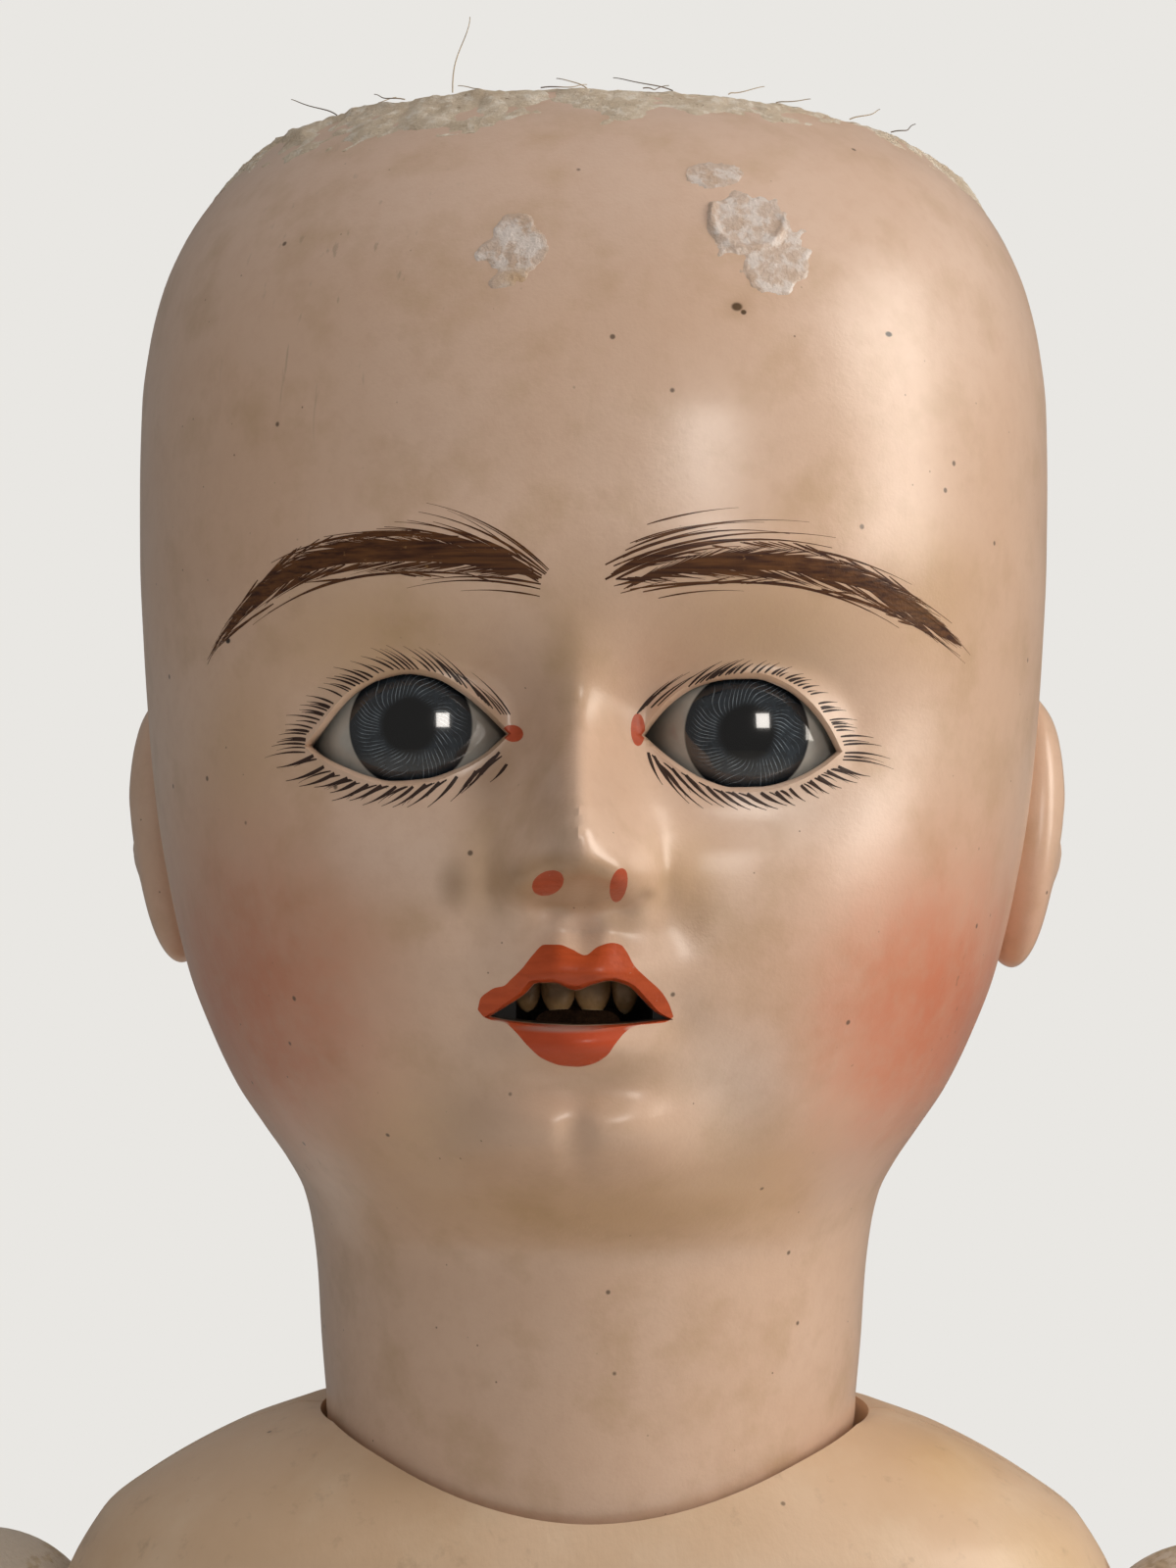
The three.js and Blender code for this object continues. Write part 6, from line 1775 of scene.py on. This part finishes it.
# %% Legs
knee_ball, thigh_length, shin_height = 12.75, 103.0, 115.0
thigh_rows = [
    [0, 1, 0], [0.18, 0.98, 0.02], [0.4, 0.78, 0.03], [0.65, 0.33, 0.01], [0.84, 0.06, 0], [1, 0, 0],
]
shin_rows = [
    [0, 1, 0], [0.09, 1, 0.02], [0.22, 1.3, 0.12], [0.38, 1.35, 0.14], [0.55, 0.8, 0.08],
    [0.74, 0.14, 0.02], [0.92, 0.06, 0.05],
]
foot_rows = [
    [-0.235, 0.34, 0.34], [-0.2, 0.66, 0.64], [-0.1, 0.78, 0.92], [0.06, 0.79, 0.97], [0.25, 0.84, 0.68],
    [0.43, 0.98, 0.5], [0.6, 1, 0.37], [0.7, 0.72, 0.25],
]
toe_rows = [
    [0.7, -0.62, 0.3], [0.7, -0.16, 0.21], [0.685, 0.2, 0.2], [0.66, 0.52, 0.19], [0.625, 0.8, 0.18],
]
foot_length, half_foot, foot_height = 57.0, 11.5, 25.0


def foot_shapes(side, place):
    """The foot's sections from heel to toes, and the toes on their ends."""
    shape = smooth_table(foot_rows)
    turn = full_turn(44)
    rings = []
    for along in np.linspace(-0.235, 0.7, 46):
        wide, high = shape(along)
        h = high * foot_height
        x = wide * half_foot * towards(np.sin(turn), 2 / 2.5)
        up = towards(np.cos(turn), 2 / 2.5)
        z = -shin_height + h * 0.34 + up * np.where(up > 0, h * 0.66, h * 0.34 + 2)
        rings.append(xyz(x, -along * foot_length, z))
    shapes = [ring_skin("foot", place(rings))]
    for along, across, size in toe_rows:
        r = size * half_foot
        toe = np.array([side * across * half_foot, -along * foot_length, r - shin_height])
        round_toe = unit_ball(28, 20, 0.499) * [0.95, 1.45, 1] * r
        shapes.append(ring_skin("toe", place(round_toe + toe)))
    return shapes


leg_hole = -0.42 * shin_height
for side, word in sides:
    hip, knee = joints(in_leg, side, 0.0, thigh_length)
    up_way = unit(leg_elastic_top(side) - hip_at[side])
    ball = ball_solid(f"{word}_turned_hip_ball", hip_radius, hip(origin), 80, 50)
    forward = [up_way[0], -1, up_way[1]]
    pieces[word, "hip_ball"] = carve(ball, [
        slot_fan(hip(origin), hip_radius, elastic_bore * 1.35, up_way, forward, math.pi / 2),
        slot_fan(hip(origin), hip_radius, elastic_bore, [0, 0, -1], [side, 0, 0], math.pi / 4),
    ])
    pieces[word, "knee_ball"] = limb_ball(f"{word}_turned_knee_ball", knee_ball, knee, [0, 0, 1], [0, 1, 0])
    rings = hip(limb_rings(thigh_rows, thigh_length, thigh_radius, 14, 80, 110))
    pieces[word, "thigh"] = carve(ring_skin(f"{word}_turned_thigh", rings), [
        face_across(hip, [0, 0, -0.35 * thigh_radius - 0.4], [-side * 0.3, -0.39, 1]),
        seat(hip, hip_radius, 80, 50),
        seat(knee, knee_ball),
        joint_face(knee, 14, 0.5, 0.47, True, 1),
        bore(hip(origin), knee(origin)),
    ])
    shin = ring_skin("shin", knee(limb_rings(shin_rows, shin_height, 14, 10, 80, 110)))
    shin = melted(f"{word}_turned_lower_leg", [shin, *foot_shapes(side, knee)], 0.55, 4)
    pieces[word, "lower_leg"] = carve(shin, [
        beyond("ground", knee([0, 0, -shin_height]), (0, 0, -1)),
        seat(knee, knee_ball),
        joint_face(knee, 14, 0.5, 0.47, False, 1),
        bore(knee(origin), knee([0, 0, leg_hole]), 1),
        rod("shank_hole", 0.9, *knee([[0, 0, leg_hole + 2], [0, 0, leg_hole - 8]]), 16),
    ])
    print(word, "leg:", [len(pieces[word, k].data.polygons) for k in ("hip_ball", "thigh", "lower_leg")])

# %% [markdown]
# ## Behind the face
#
# Two glass eyes are plugged with plaster on one bent wire. A lead weight hangs from it, so the eyes
# shut when the doll lies down. Plaster poured round each eye makes its bed, and a cork glued to the
# chin stops the weight. At the neck a turned button and a wire hook hold the elastic of the legs.
# Little of this shows, but it can be seen through the open crown.

# %% Bent wire, plugs and weight
wire_maker = stroke_tree("bent_wire", 16)


def bent_wire(points, thick):
    """A wire with soft bends through points in the doll's place."""
    points = np.asarray(points, float)
    steps = np.linalg.norm(np.diff(points, axis=0), axis=1)
    along = np.concatenate([[0], np.cumsum(steps)])
    path = smooth_table(np.hstack([along[:, None], points]))
    line = path(np.linspace(0, along[-1], max(len(points) * 6, 12)))
    ahead = np.gradient(line, axis=0)
    # Any direction that never runs along the wire will do as its normal
    steep = np.abs(ahead[:, :1]) > 0.9 * np.linalg.norm(ahead, axis=1, keepdims=True)
    normal = unit(np.cross(ahead, np.where(steep, [[0, 1, 0]], [[1, 0, 0]])))
    return [line], [np.full(len(line), thick)], [normal]


plug_front, bar_y = -28.24, -17.82
half_bar = [(14.355, -25.35), (14.355, -22.0), (14.2, -20.3), (13.3, -18.6), (11.4, -17.85)]
rocker_path = [(-x, y, eye_level) for x, y in half_bar] + [(0, bar_y, eye_level)]
rocker_path += [(x, y, eye_level) for x, y in half_bar[::-1]]
stem_path = [(0, -17.6, 4.6), (0, -17.7, 0), (0, -17.9, -4.4), (0, -18.8, -7.0), (0, -21.2, -10.4),
             (0, -23.4, -13.4), (0, -24.1, -15.5), (0, -24.12, -18.2)]
# The stem is wound round the bar three times before it hangs down
coil = np.linspace(0, 6 * np.pi, 60)
winding = xyz(-1.2 + 2.4 * coil / coil[-1], bar_y + 1.15 * np.cos(coil), eye_level + 1.15 * np.sin(coil))
wires = [bent_wire(to_doll(rocker_path), 1.6), bent_wire(to_doll(stem_path), 1.5)]
wires.append(([to_doll(winding)], [np.full(60, 0.7)], [np.tile([1.0, 0, 0], (60, 1))]))
lines, breadths, normals = (sum((wire[k] for wire in wires), []) for k in range(3))
steel_material, place = new_material("rust_freckled_steel_wire")
tree = place.id_data
rust = noise(place, 1.6, 4, 0.6, 0.45, 0.62)
rust_rough = {0: overlap(rust, 0.4), 1: 0.35}
roughness = add(tree, "ShaderNodeMath", rust_rough, operation="ADD", use_clamp=True).outputs[0]
rusty = tinted("#85817a", ("#6b4630", rust))
surface(rusty, roughness, noise(place, 0.5, 3), 0.03, Metallic=0.75)
rocker_wire = sweep_lines("bent_rocker_wire", lines, breadths, normals, wire_maker, 1.0, steel_material)
dress(rocker_wire, steel_material, "eyes", "steel_wire", "rocker_wire")


def lathe(name, profile, centre, axis, around=64, rough=0.0, seed=1):
    """A turned shape: rows of distance along an axis and radius, with optional cast lumps."""
    turn = full_turn(around)
    frame_turn = np.array(Vector(axis).to_track_quat("Z", "Y").to_matrix())
    rings = []
    for along, radius in profile:
        circle = xyz(radius * np.cos(turn), radius * np.sin(turn), along)
        rings.append(circle @ frame_turn.T + centre)
    rings = np.array(rings)
    if rough:
        middle = rings.mean(axis=(0, 1))
        away = rings - middle
        lumpy = rough * lumps(rings, 1.8, seed)[..., None]
        rings = middle + away * (1 - lumpy / np.linalg.norm(away, axis=-1, keepdims=True))
    return ring_skin(name, rings, 50)


# %% Plaster plugs, cast lead weight, plaster beds and cork
plaster_material, place = new_material("plaster_of_paris")
colour = tinted("#d8cfc0", ("#b3a48e", noise(place, 4, 4), 0.7),
                ("#8d7c66", noise(place, 1.2, 3, 0.6, 0.6, 0.7), 0.6))
surface(colour, 0.9, noise(place, 0.7, 4, 0.65, 0.2, 0.8), 0.12)
plug_profile = [(plug_front, 0.02), (plug_front, 3.4), (plug_front + 0.5, 4.0), (-25, 4.1), (-23.2, 4.1),
                (-22.6, 3.7), (-22.47, 3.0), (-22.9, 1.9), (-23.0, 0.02)]
for side, word in sides:
    plug_place = [side * eye_aside, 0, eye_level]
    plug = lathe(f"{word}_plaster_plug", plug_profile, to_doll(plug_place), (0, 1, 0), 48, 0.12, 3 + side)
    hole = to_doll([[0, -25.4, 0], [0, -20, 0]]) + plug_place
    carve(plug, [rod("wire_hole", 0.82, *hole, 24)])
    dress(plug, plaster_material, "eyes", "plaster", f"{word}_eye_plug")

weight_profile = [(-3, 0.02), (-3, 5.2), (-2.75, 5.75), (-2.2, 6.2), (-1.2, 6.45), (1.2, 6.45), (2.2, 6.2),
                  (2.75, 5.7), (3, 5.1), (2.9, 3.8), (2.75, 2.0), (2.9, 1.3), (2.9, 0.02)]
weight = lathe("cast_lead_weight", weight_profile, to_doll([0, -24.12, -20.815]), (0, 0, 1), 72, 0.18, 8)
lead_material, place = new_material("oxidised_lead")
colour = tinted("#6d6f71", ("#9a9a96", noise(place, 1.8, 4, 0.6), 0.6))
surface(colour, 0.6, noise(place, 0.9, 3), 0.08, Metallic=0.5)
dress(weight, lead_material, "eyes", "lead", "eye_weight")

bed_profile = [(-38.4, 0.02), (-38.4, 12.6), (-37, 13.3), (-35.4, 13.4), (-33.8, 13.35), (-32.7, 12.9),
               (-32.1, 12.2), (-32.0, 10.5), (-32.0, 0.02)]


def inside_head(block, name):
    """What of a block lies within the head's wall, as if it had been poured or cut to fit there."""
    kept = split_off(block, head_skin("mould", 160, 120, 3.7), name)
    bpy.data.objects.remove(block)
    return kept


for side, word in sides:
    centre = to_doll([side * eye_aside, 0, eye_level])
    bed = lathe(f"{word}_poured_eye_bed", bed_profile, centre, (0, 1, 0), 80, 0.3, 12 + side)
    carve(bed, [ball_solid("eye_seat", eye_radius + 0.35, to_doll(eye_centres[side])),
                beyond("nose_gap", (side * 0.15, 0, 0), (-side, 0, 0), 900)])
    poured = inside_head(bed, f"{word}_plaster_eye_bed")
    dress(poured, plaster_material, "head", "plaster", f"{word}_eye_plaster")

rings = []
turn_round = full_turn(40)
for along in np.linspace(-45, -31.0, 24):
    high = 2.1 - 0.35 * soft_step(-34, -31, along)
    z = -22.55 + high * towards(np.cos(turn_round), 0.5)
    ring = xyz(3.85 * towards(np.sin(turn_round), 0.45), along, z)
    rings.append(ring + 0.25 * (lumps(ring, 1.5, 4)[..., None] - 0.8) * ring * [0.2, 0, 0.03])
eye_stop = inside_head(ring_skin("cork_block", to_doll(rings)), "cork_stop")
cork_material, place = new_material("cork_with_painted_shade")
# The cork is coloured far darker than cork, as painted shade in the mouth behind the teeth
colour = tinted("#3a281b", ("#20150e", noise(place, 1.1, 4, 0.6), 0.8))
surface(colour, 0.95, noise(place, 0.8, 4, 0.6, 0.3, 0.7), 0.2, Specular_IOR_Level=0.1)
dress(eye_stop, cork_material, "head", "cork", "eye_stop")

# %% The neck's button, hook and loop
pivot = np.array([0, seam_y, neck_pivot])
button_radius = 22.2
profile = [(-22.19, 1.65)]
for drop in np.linspace(-22.1, -15.6, 26):
    groove = 0.25 if -18.4 < drop < -17.9 else 0.0
    profile.append((drop, math.sqrt(button_radius**2 - drop**2) - groove))
profile += [(-15.25, 15.9), (-15.2, 15.3), (-15.2, 9.0), (-15.7, 8.4), (-15.8, 4.2), (-15.5, 3.2),
            (-15.5, 1.65), (-15.5, 0.02)]
button = lathe("turned_neck_button", profile, pivot, (0, 0, 1), 72)
carve(button, [rod("hook_hole", 1.6, pivot - [0, 0, 30], pivot, 24)])
hook_side = [(11.1, -13.9), (7.5, -13.6), (3.84, -12.7), (1.9, -11.8), (0.7, -12.3), (0, -13.9), (0, -17.2),
             (0, -20.4), (0, -26.98)]
for a in np.linspace(0.3, math.pi - 0.3, 9):
    hook_side.append((-2.89 + 2.89 * math.cos(a), -26.98 - 2.89 * math.sin(a)))
hook_side += [(-5.78, -26.98), (-5.7, -25.4), (-5.85, -24.15)]
hook = bent_wire([(0, y, z) + pivot for y, z in hook_side], 2.0)
neck_hook = sweep_lines("bent_neck_hook", *hook, wire_maker, 1.0, steel_material)
dress(neck_hook, steel_material, "neck", "steel_wire", "neck_hook")

# %% [markdown]
# ## Elastic cord
#
# The doll is strung with round elastic: a rubber core in a sleeve of braided cotton. Twelve threads
# run round the core, six each way, and rise over and under one another at every crossing. Each
# thread is a line that winds round the cord's path, and the stroke tree gives it its body. At the
# ends the braid is bound with a few turns of thread.

# %% Braid a cord along a path
braid_maker = stroke_tree("braided_threads", 5)


def cord_frame(path):
    """Two directions across a path, which turn as little as they can along it."""
    ahead = unit(np.gradient(path, axis=0))
    one = np.cross(ahead[0], [0, 1, 0] if abs(ahead[0][1]) < 0.9 else [1, 0, 0])
    across = []
    for way in ahead:
        one = unit(one - way * np.dot(one, way))
        across.append(one)
    across = np.array(across)
    return across, np.cross(ahead, across)


def braid(name, points):
    """A braided elastic cord through points in the doll's place, bound at both ends."""
    thick, pitch, threads = 3.0, 9.0, 6
    points = np.asarray(points, float)
    steps = np.concatenate([[0], np.cumsum(np.linalg.norm(np.diff(points, axis=0), axis=1))])
    path = smooth_table(np.hstack([steps[:, None], points]))
    length = steps[-1]
    stations = np.linspace(0, length, max(int(length / pitch * 2 * threads * 2), 30))
    line = path(stations)
    one, two = cord_frame(line)
    lines, breadths, normals = [line], [np.full(len(line), thick * 0.66)], [one]
    lay = thick / 2 - 0.42
    for way in (1, -1):
        for k in range(threads):
            turn = way * 2 * np.pi * stations / pitch + 2 * np.pi * k / threads
            weave = 0.12 * way * np.cos(threads * 2 * np.pi * stations / pitch)
            out = one * np.cos(turn)[:, None] + two * np.sin(turn)[:, None]
            lines.append(line + out * (lay + weave)[:, None])
            breadths.append(np.full(len(line), thick * 0.26))
            normals.append(out)
    for end in (0.4, length - 1.6):
        wound = np.linspace(end, end + 1.2, 50)
        turn = np.linspace(0, 8 * np.pi, 50)
        middle = path(wound)
        first, second = cord_frame(middle)
        out = first * np.cos(turn)[:, None] + second * np.sin(turn)[:, None]
        lines.append(middle + out * (thick / 2 - 0.12))
        breadths.append(np.full(50, 0.34))
        normals.append(out)
    return sweep_lines(name, lines, breadths, normals, braid_maker, 0.7, elastic_material)


elastic_material, place = new_material("braided_cotton_elastic")
colour = tinted("#d6cab2", ("#b39f7f", noise(place, 6, 3), 0.7),
                ("#8b7558", noise(place, 2.2, 4, 0.6, 0.56, 0.7), 0.6))
surface(colour, 0.85, noise(place, 0.3, 3), 0.05, Specular_IOR_Level=0.2)


def strung(name, start, stop, short=1.8, early=0.0, bow=(0, 0, 0)):
    """A cord between two places that may bow a little and ends just short of the second."""
    start, stop = np.asarray(start, float), np.asarray(stop, float)
    way = unit(stop - start)
    return braid(name, [start - way * early, (start + stop) / 2 + bow, stop - way * short])


# The neck's hook swings forward of this cord, so the cord bows back and down by under a millimetre
arms = [in_torso(shoulder_at[side]) for side in (-1, 1)]
arms_cord = strung("braided_arm_elastic", *arms, 0.4, -0.4, (0, 0.5, -0.3))
dress(arms_cord, elastic_material, "torso", "elastic", "arm_elastic_across")
for side, word in sides:
    ends = in_torso([hip_at[side], leg_elastic_top(side)])
    cord = strung(f"{word}_braided_leg_elastic", *ends, 0.3)
    dress(cord, elastic_material, "torso", "elastic", f"{word}_leg_elastic")
# The loop hangs over the hook's foot: two straight ends and a half turn
half_loop = [(hook_bend, -32.76), (hook_bend, -31.3)]
over = [(hook_bend * math.cos(a), -29.87 + hook_bend * math.sin(a)) for a in np.linspace(0, math.pi, 13)]
loop_path = half_loop + over + [(-x, z) for x, z in half_loop[::-1]]
leg_loop = braid("braided_leg_elastic_loop", [(x, -hook_bend, z) + pivot for x, z in loop_path])
dress(leg_loop, elastic_material, "neck", "elastic", "leg_elastic_loop")

# %% Cords of the limbs and the eyed hooks in hands and legs
def eyed_hook(name, place, top, bottom):
    """A wire with a round eye at its top and a shank that was screwed into the wood."""
    turn = np.linspace(0.25, 2 * math.pi - 0.1, 26)
    eye = xyz(1.6 * np.sin(turn), 0, top - 2.2 - 1.6 * np.cos(turn))
    shank = xyz(0, 0, np.linspace(top - 3.8, bottom, 14))
    turn = np.linspace(0, 2 * np.pi * 7, 90)
    thread = xyz(0.5 * np.cos(turn), 0.5 * np.sin(turn), np.linspace((top + 2 * bottom) / 3, bottom, 90))
    lines = [place(eye), place(shank), place(thread)]
    widths = [np.full(len(eye), 1.2), np.full(len(shank), 1.15), np.full(90, 0.22)]
    normals = [np.tile([0, -1.0, 0], (len(line), 1)) for line in lines[:2]] + [np.tile([0, 0, 1.0], (90, 1))]
    return sweep_lines(name, lines, widths, normals, wire_maker, 1.0, steel_material)


for side, word in sides:
    upper, elbow, hip, knee = *joints(in_arm, side, *arm_drops[:2]), *joints(in_leg, side, 0.0, thigh_length)
    for part, body, place_at, drop in (
        ("upper_arm", "upper_arm", upper, -upper_arm_length), ("forearm", "forearm", elbow, -41.9),
        ("thigh", "thigh", hip, -thigh_length), ("shin", "lower_leg", knee, -32.7),
    ):
        cord = strung(f"{word}_braided_{part}_elastic", place_at([0, 0, drop]), place_at(origin))
        dress(cord, elastic_material, f"{word}_{body}_body", "elastic", f"{word}_{part}_elastic")
    for limb, body, place_at, top, bottom in (("wrist", "hand", elbow, -43.7, -58.0),
                                              ("leg", "lower_leg", knee, -34.5, -54.3)):
        eyed = eyed_hook(f"{word}_eyed_{limb}_hook", place_at, top, bottom)
        dress(eyed, steel_material, f"{word}_{body}_body", "steel_wire", f"{word}_{limb}_hook")

# %% [markdown]
# ## Flesh paint on pulp and wood
#
# The body was brushed with gesso, then with flesh oil paint, then varnished. The varnish has gone
# yellow and lies thick in the hollows. Near each joint the paint is worn through, to brown pulp on
# the torso and to bare wood on the limbs.

# %% Material: old flesh paint
def flesh_paint(name, centre, base, stains, wears, raw):
    """Aged oil paint and varnish over gesso, with wear that shows what it was painted on."""
    material, place = new_material(name)
    tree = place.id_data
    local = coordinates(tree, centre)
    colour = tinted(base, ("#cba880", noise(local, 24, 4), 0.55),
                    ("#e6cfb4", noise(local, 9, 4, 0.6, 0.5, 0.75), 0.5))
    colour = stained(local, colour, *stains)
    colour = tinted(colour, ("#8a6c4b", noise(local, 3.2, 5, 0.65, 0.6, 0.78), 0.35),
                    ("#5a4230", specked(place, 5.0, (0.06, 0.03), 0.72), 0.7))
    for middle, radii in wears:
        patchy = noise(local, 4.5, 5, 0.65, 0.53, 0.57)
        worn = overlap(patchy, spot(local, middle, radii, 0.3))
        colour = tinted(colour, (raw, worn, 0.9))
    waves = noise(local, 6.0, 3, 0.5, 0.2, 0.8)
    brushed = add(tree, "ShaderNodeMapping", {"Vector": local, "Scale": (1, 1, 0.12)}).outputs[0]
    strokes_seen = noise(brushed, 0.9, 3, 0.6, 0.3, 0.7)
    heights = {0: overlap(waves, 0.6), 1: overlap(strokes_seen, 0.2)}
    relief = add(tree, "ShaderNodeMath", heights, operation="ADD", use_clamp=True).outputs[0]
    surface(colour, 0.42, relief, 0.09, Coat_Weight=0.2, Coat_Roughness=0.3)
    return material


def turned_wood(name, centre, base="#b7976c", dark="#927147", paint=None):
    """Close-grained limewood, turned and handled, with the paint rubbed off."""
    material, local = new_material(name, centre)
    tree = local.id_data
    grain = add(tree, "ShaderNodeMapping", {"Vector": local, "Scale": (1, 1, 0.12)}).outputs[0]
    years = {"Vector": grain, "Scale": 0.32, "Distortion": 4.0, "Detail": 3.0, "Detail Scale": 0.6}
    years = add(tree, "ShaderNodeTexWave", years, wave_type="RINGS", rings_direction="Z").outputs[1]
    colour = tinted(base, (dark, years, 0.5),
                    ("#7a5c3c", noise(grain, 0.7, 4, 0.6, 0.58, 0.7), 0.5),
                    ("#8d7453", noise(local, 5, 4, 0.6, 0.5, 0.7), 0.5))
    if paint:
        colour = tinted(colour, (paint, noise(local, 5.0, 5, 0.65, 0.44, 0.49), 0.85))
    surface(colour, 0.55, noise(grain, 0.5, 3, 0.6, 0.3, 0.7), 0.05)
    return material


pulp_wears = [((side * 50, 4, -20), (13, 20, 12)) for side in (1, -1)]
pulp_wears += [((side * 20, 0, -168), (22, 40, 16)) for side in (1, -1)]
pulp_stains = [
    ((33, -8, -6), (9, 12, 6), "#d6a94e", 0.5), ((41, -12, -16), (13, 14, 12), "#d9bb85", 0.5),
    ((-18, -30, -22), (24, 24, 12), "#c9ab82", 0.4), ((0, -30, -70), (40, 20, 34), "#c8a578", 0.3),
    ((0, 30, -60), (40, 20, 50), "#c09c6c", 0.45), ((-46, 0, -20), (16, 26, 16), "#b08d6a", 0.4),
]
pulp_paint = flesh_paint(
    "flesh_paint_on_pressed_pulp", in_torso(origin), "#e0c3a6", pulp_stains, pulp_wears, "#8d6c4c"
)
for word, half in torso_halves.items():
    dress(half, pulp_paint, "torso", "painted_pulp", f"torso_{word}")
for side, word in sides:
    for joint, limb, drop in (("shoulder", in_arm, 0), ("elbow", in_arm, upper_arm_length),
                              ("hip", in_leg, 0), ("knee", in_leg, thigh_length)):
        pale = ("#c3b39a", "#a08c70", "#cfc4b6") if joint == "shoulder" else ()
        wood = turned_wood(f"{word}_{joint}_limewood", limb(origin, side, drop), *pale)
        ball = pieces[word, f"{joint}_ball"]
        dress(ball, wood, f"{word}_{joint}", "bare_wood", f"{word}_{joint}_ball")
button_wood = turned_wood("neck_button_beech", pivot, "#a9855a", "#835f3a")
dress(button, button_wood, "neck", "bare_wood", "neck_button")


# %% Paint on arms, hands, legs and feet
def painted_limb(name, limb, side, levels, wears, stains, parts):
    """One paint for the parts of a limb, worn and stained at places counted from its second level."""
    place = limb(levels, side)
    offsets = place - place[1]
    wears = [(tuple(offsets[k] + lift), radii) for k, lift, radii in wears]
    stains = [(tuple(offsets[k] + lift), *stain) for k, lift, *stain in stains]
    paint = flesh_paint(f"{name}_flesh_paint", place[1], "#dcbd9f", stains, wears, "#a98a60")
    for part in parts:
        body = f"{name.split('_')[0]}_{part}"
        dress(pieces[name.split("_")[0], part], paint, f"{body}_body", "painted_wood", body)


for side, word in sides:
    painted_limb(
        f"{word}_arm", in_arm, side, [[0, 0, -drop] for drop in (*arm_drops, 160)],
        [(0, origin, (18, 18, 13)), (1, origin, (15, 15, 13)), (2, origin, (12, 12, 8))],
        [(3, origin, (14, 16, 20), "#c9916f", 0.45), (2, [0, 0, 20], (16, 18, 16), "#c7a06c", 0.35)],
        ("upper_arm", "forearm", "hand"),
    )
    painted_limb(
        f"{word}_leg", in_leg, side, [[0, 0, 0], [0, 0, -103], [0, 10, -140], [0, -14, -214]],
        [(0, origin, (24, 24, 17)), (1, origin, (18, 18, 15)), (3, [0, -14, -3], (12, 12, 6))],
        [(1, [0, -14, 6], (12, 9, 12), "#c9886a", 0.4), (3, [0, -12, 0], (14, 18, 10), "#c9886a", 0.4)],
        ("thigh", "lower_leg"),
    )

# %% [markdown]
# ## The floor
#
# The doll stands on a pale table whose colour runs into the sky behind it, so that only its shadow
# shows where it stands.

# %% A pale table
floor_z = cad_box[0][2] / mm
rings, turn_round = [], full_turn(96)
for reach, z in ((1400, -12), (1402, -6), (1400, -1.0), (1396, -0.02), (60, -0.02)):
    rings.append(xyz(reach * np.cos(turn_round), reach * np.sin(turn_round) + seam_y, floor_z + z))
table = ring_skin("pale_table", rings)
table_material, place = new_material("limewashed_tabletop", (0, seam_y, floor_z))
tree = place.id_data
board = add(tree, "ShaderNodeMapping", {"Vector": place, "Scale": (0.02, 0.25, 0.25)}).outputs[0]
colour = tinted("#efede9", ("#e6e3dd", noise(board, 1.0, 3), 0.6))
out = surface(colour, 0.7, noise(board, 0.4, 3), 0.05, Specular_IOR_Level=0.1)
# Away from the doll the board fades to the tone of the room, for the camera alone
lit = out.inputs["Surface"].links[0].from_socket
near = {0: 1.0, 1: spot(place, (0, 0, 0), (620, 620, 620), 0.12)}
far = add(tree, "ShaderNodeMath", near, operation="SUBTRACT", use_clamp=True).outputs[0]
seen = add(tree, "ShaderNodeLightPath").outputs["Is Camera Ray"]
room = add(tree, "ShaderNodeEmission", {"Color": "#e9e7e3", "Strength": 1.0}).outputs[0]
faded = {0: overlap(far, seen), 1: lit, 2: room}
tree.links.new(add(tree, "ShaderNodeMixShader", faded).outputs[0], out.inputs["Surface"])
table.data.materials.append(table_material)
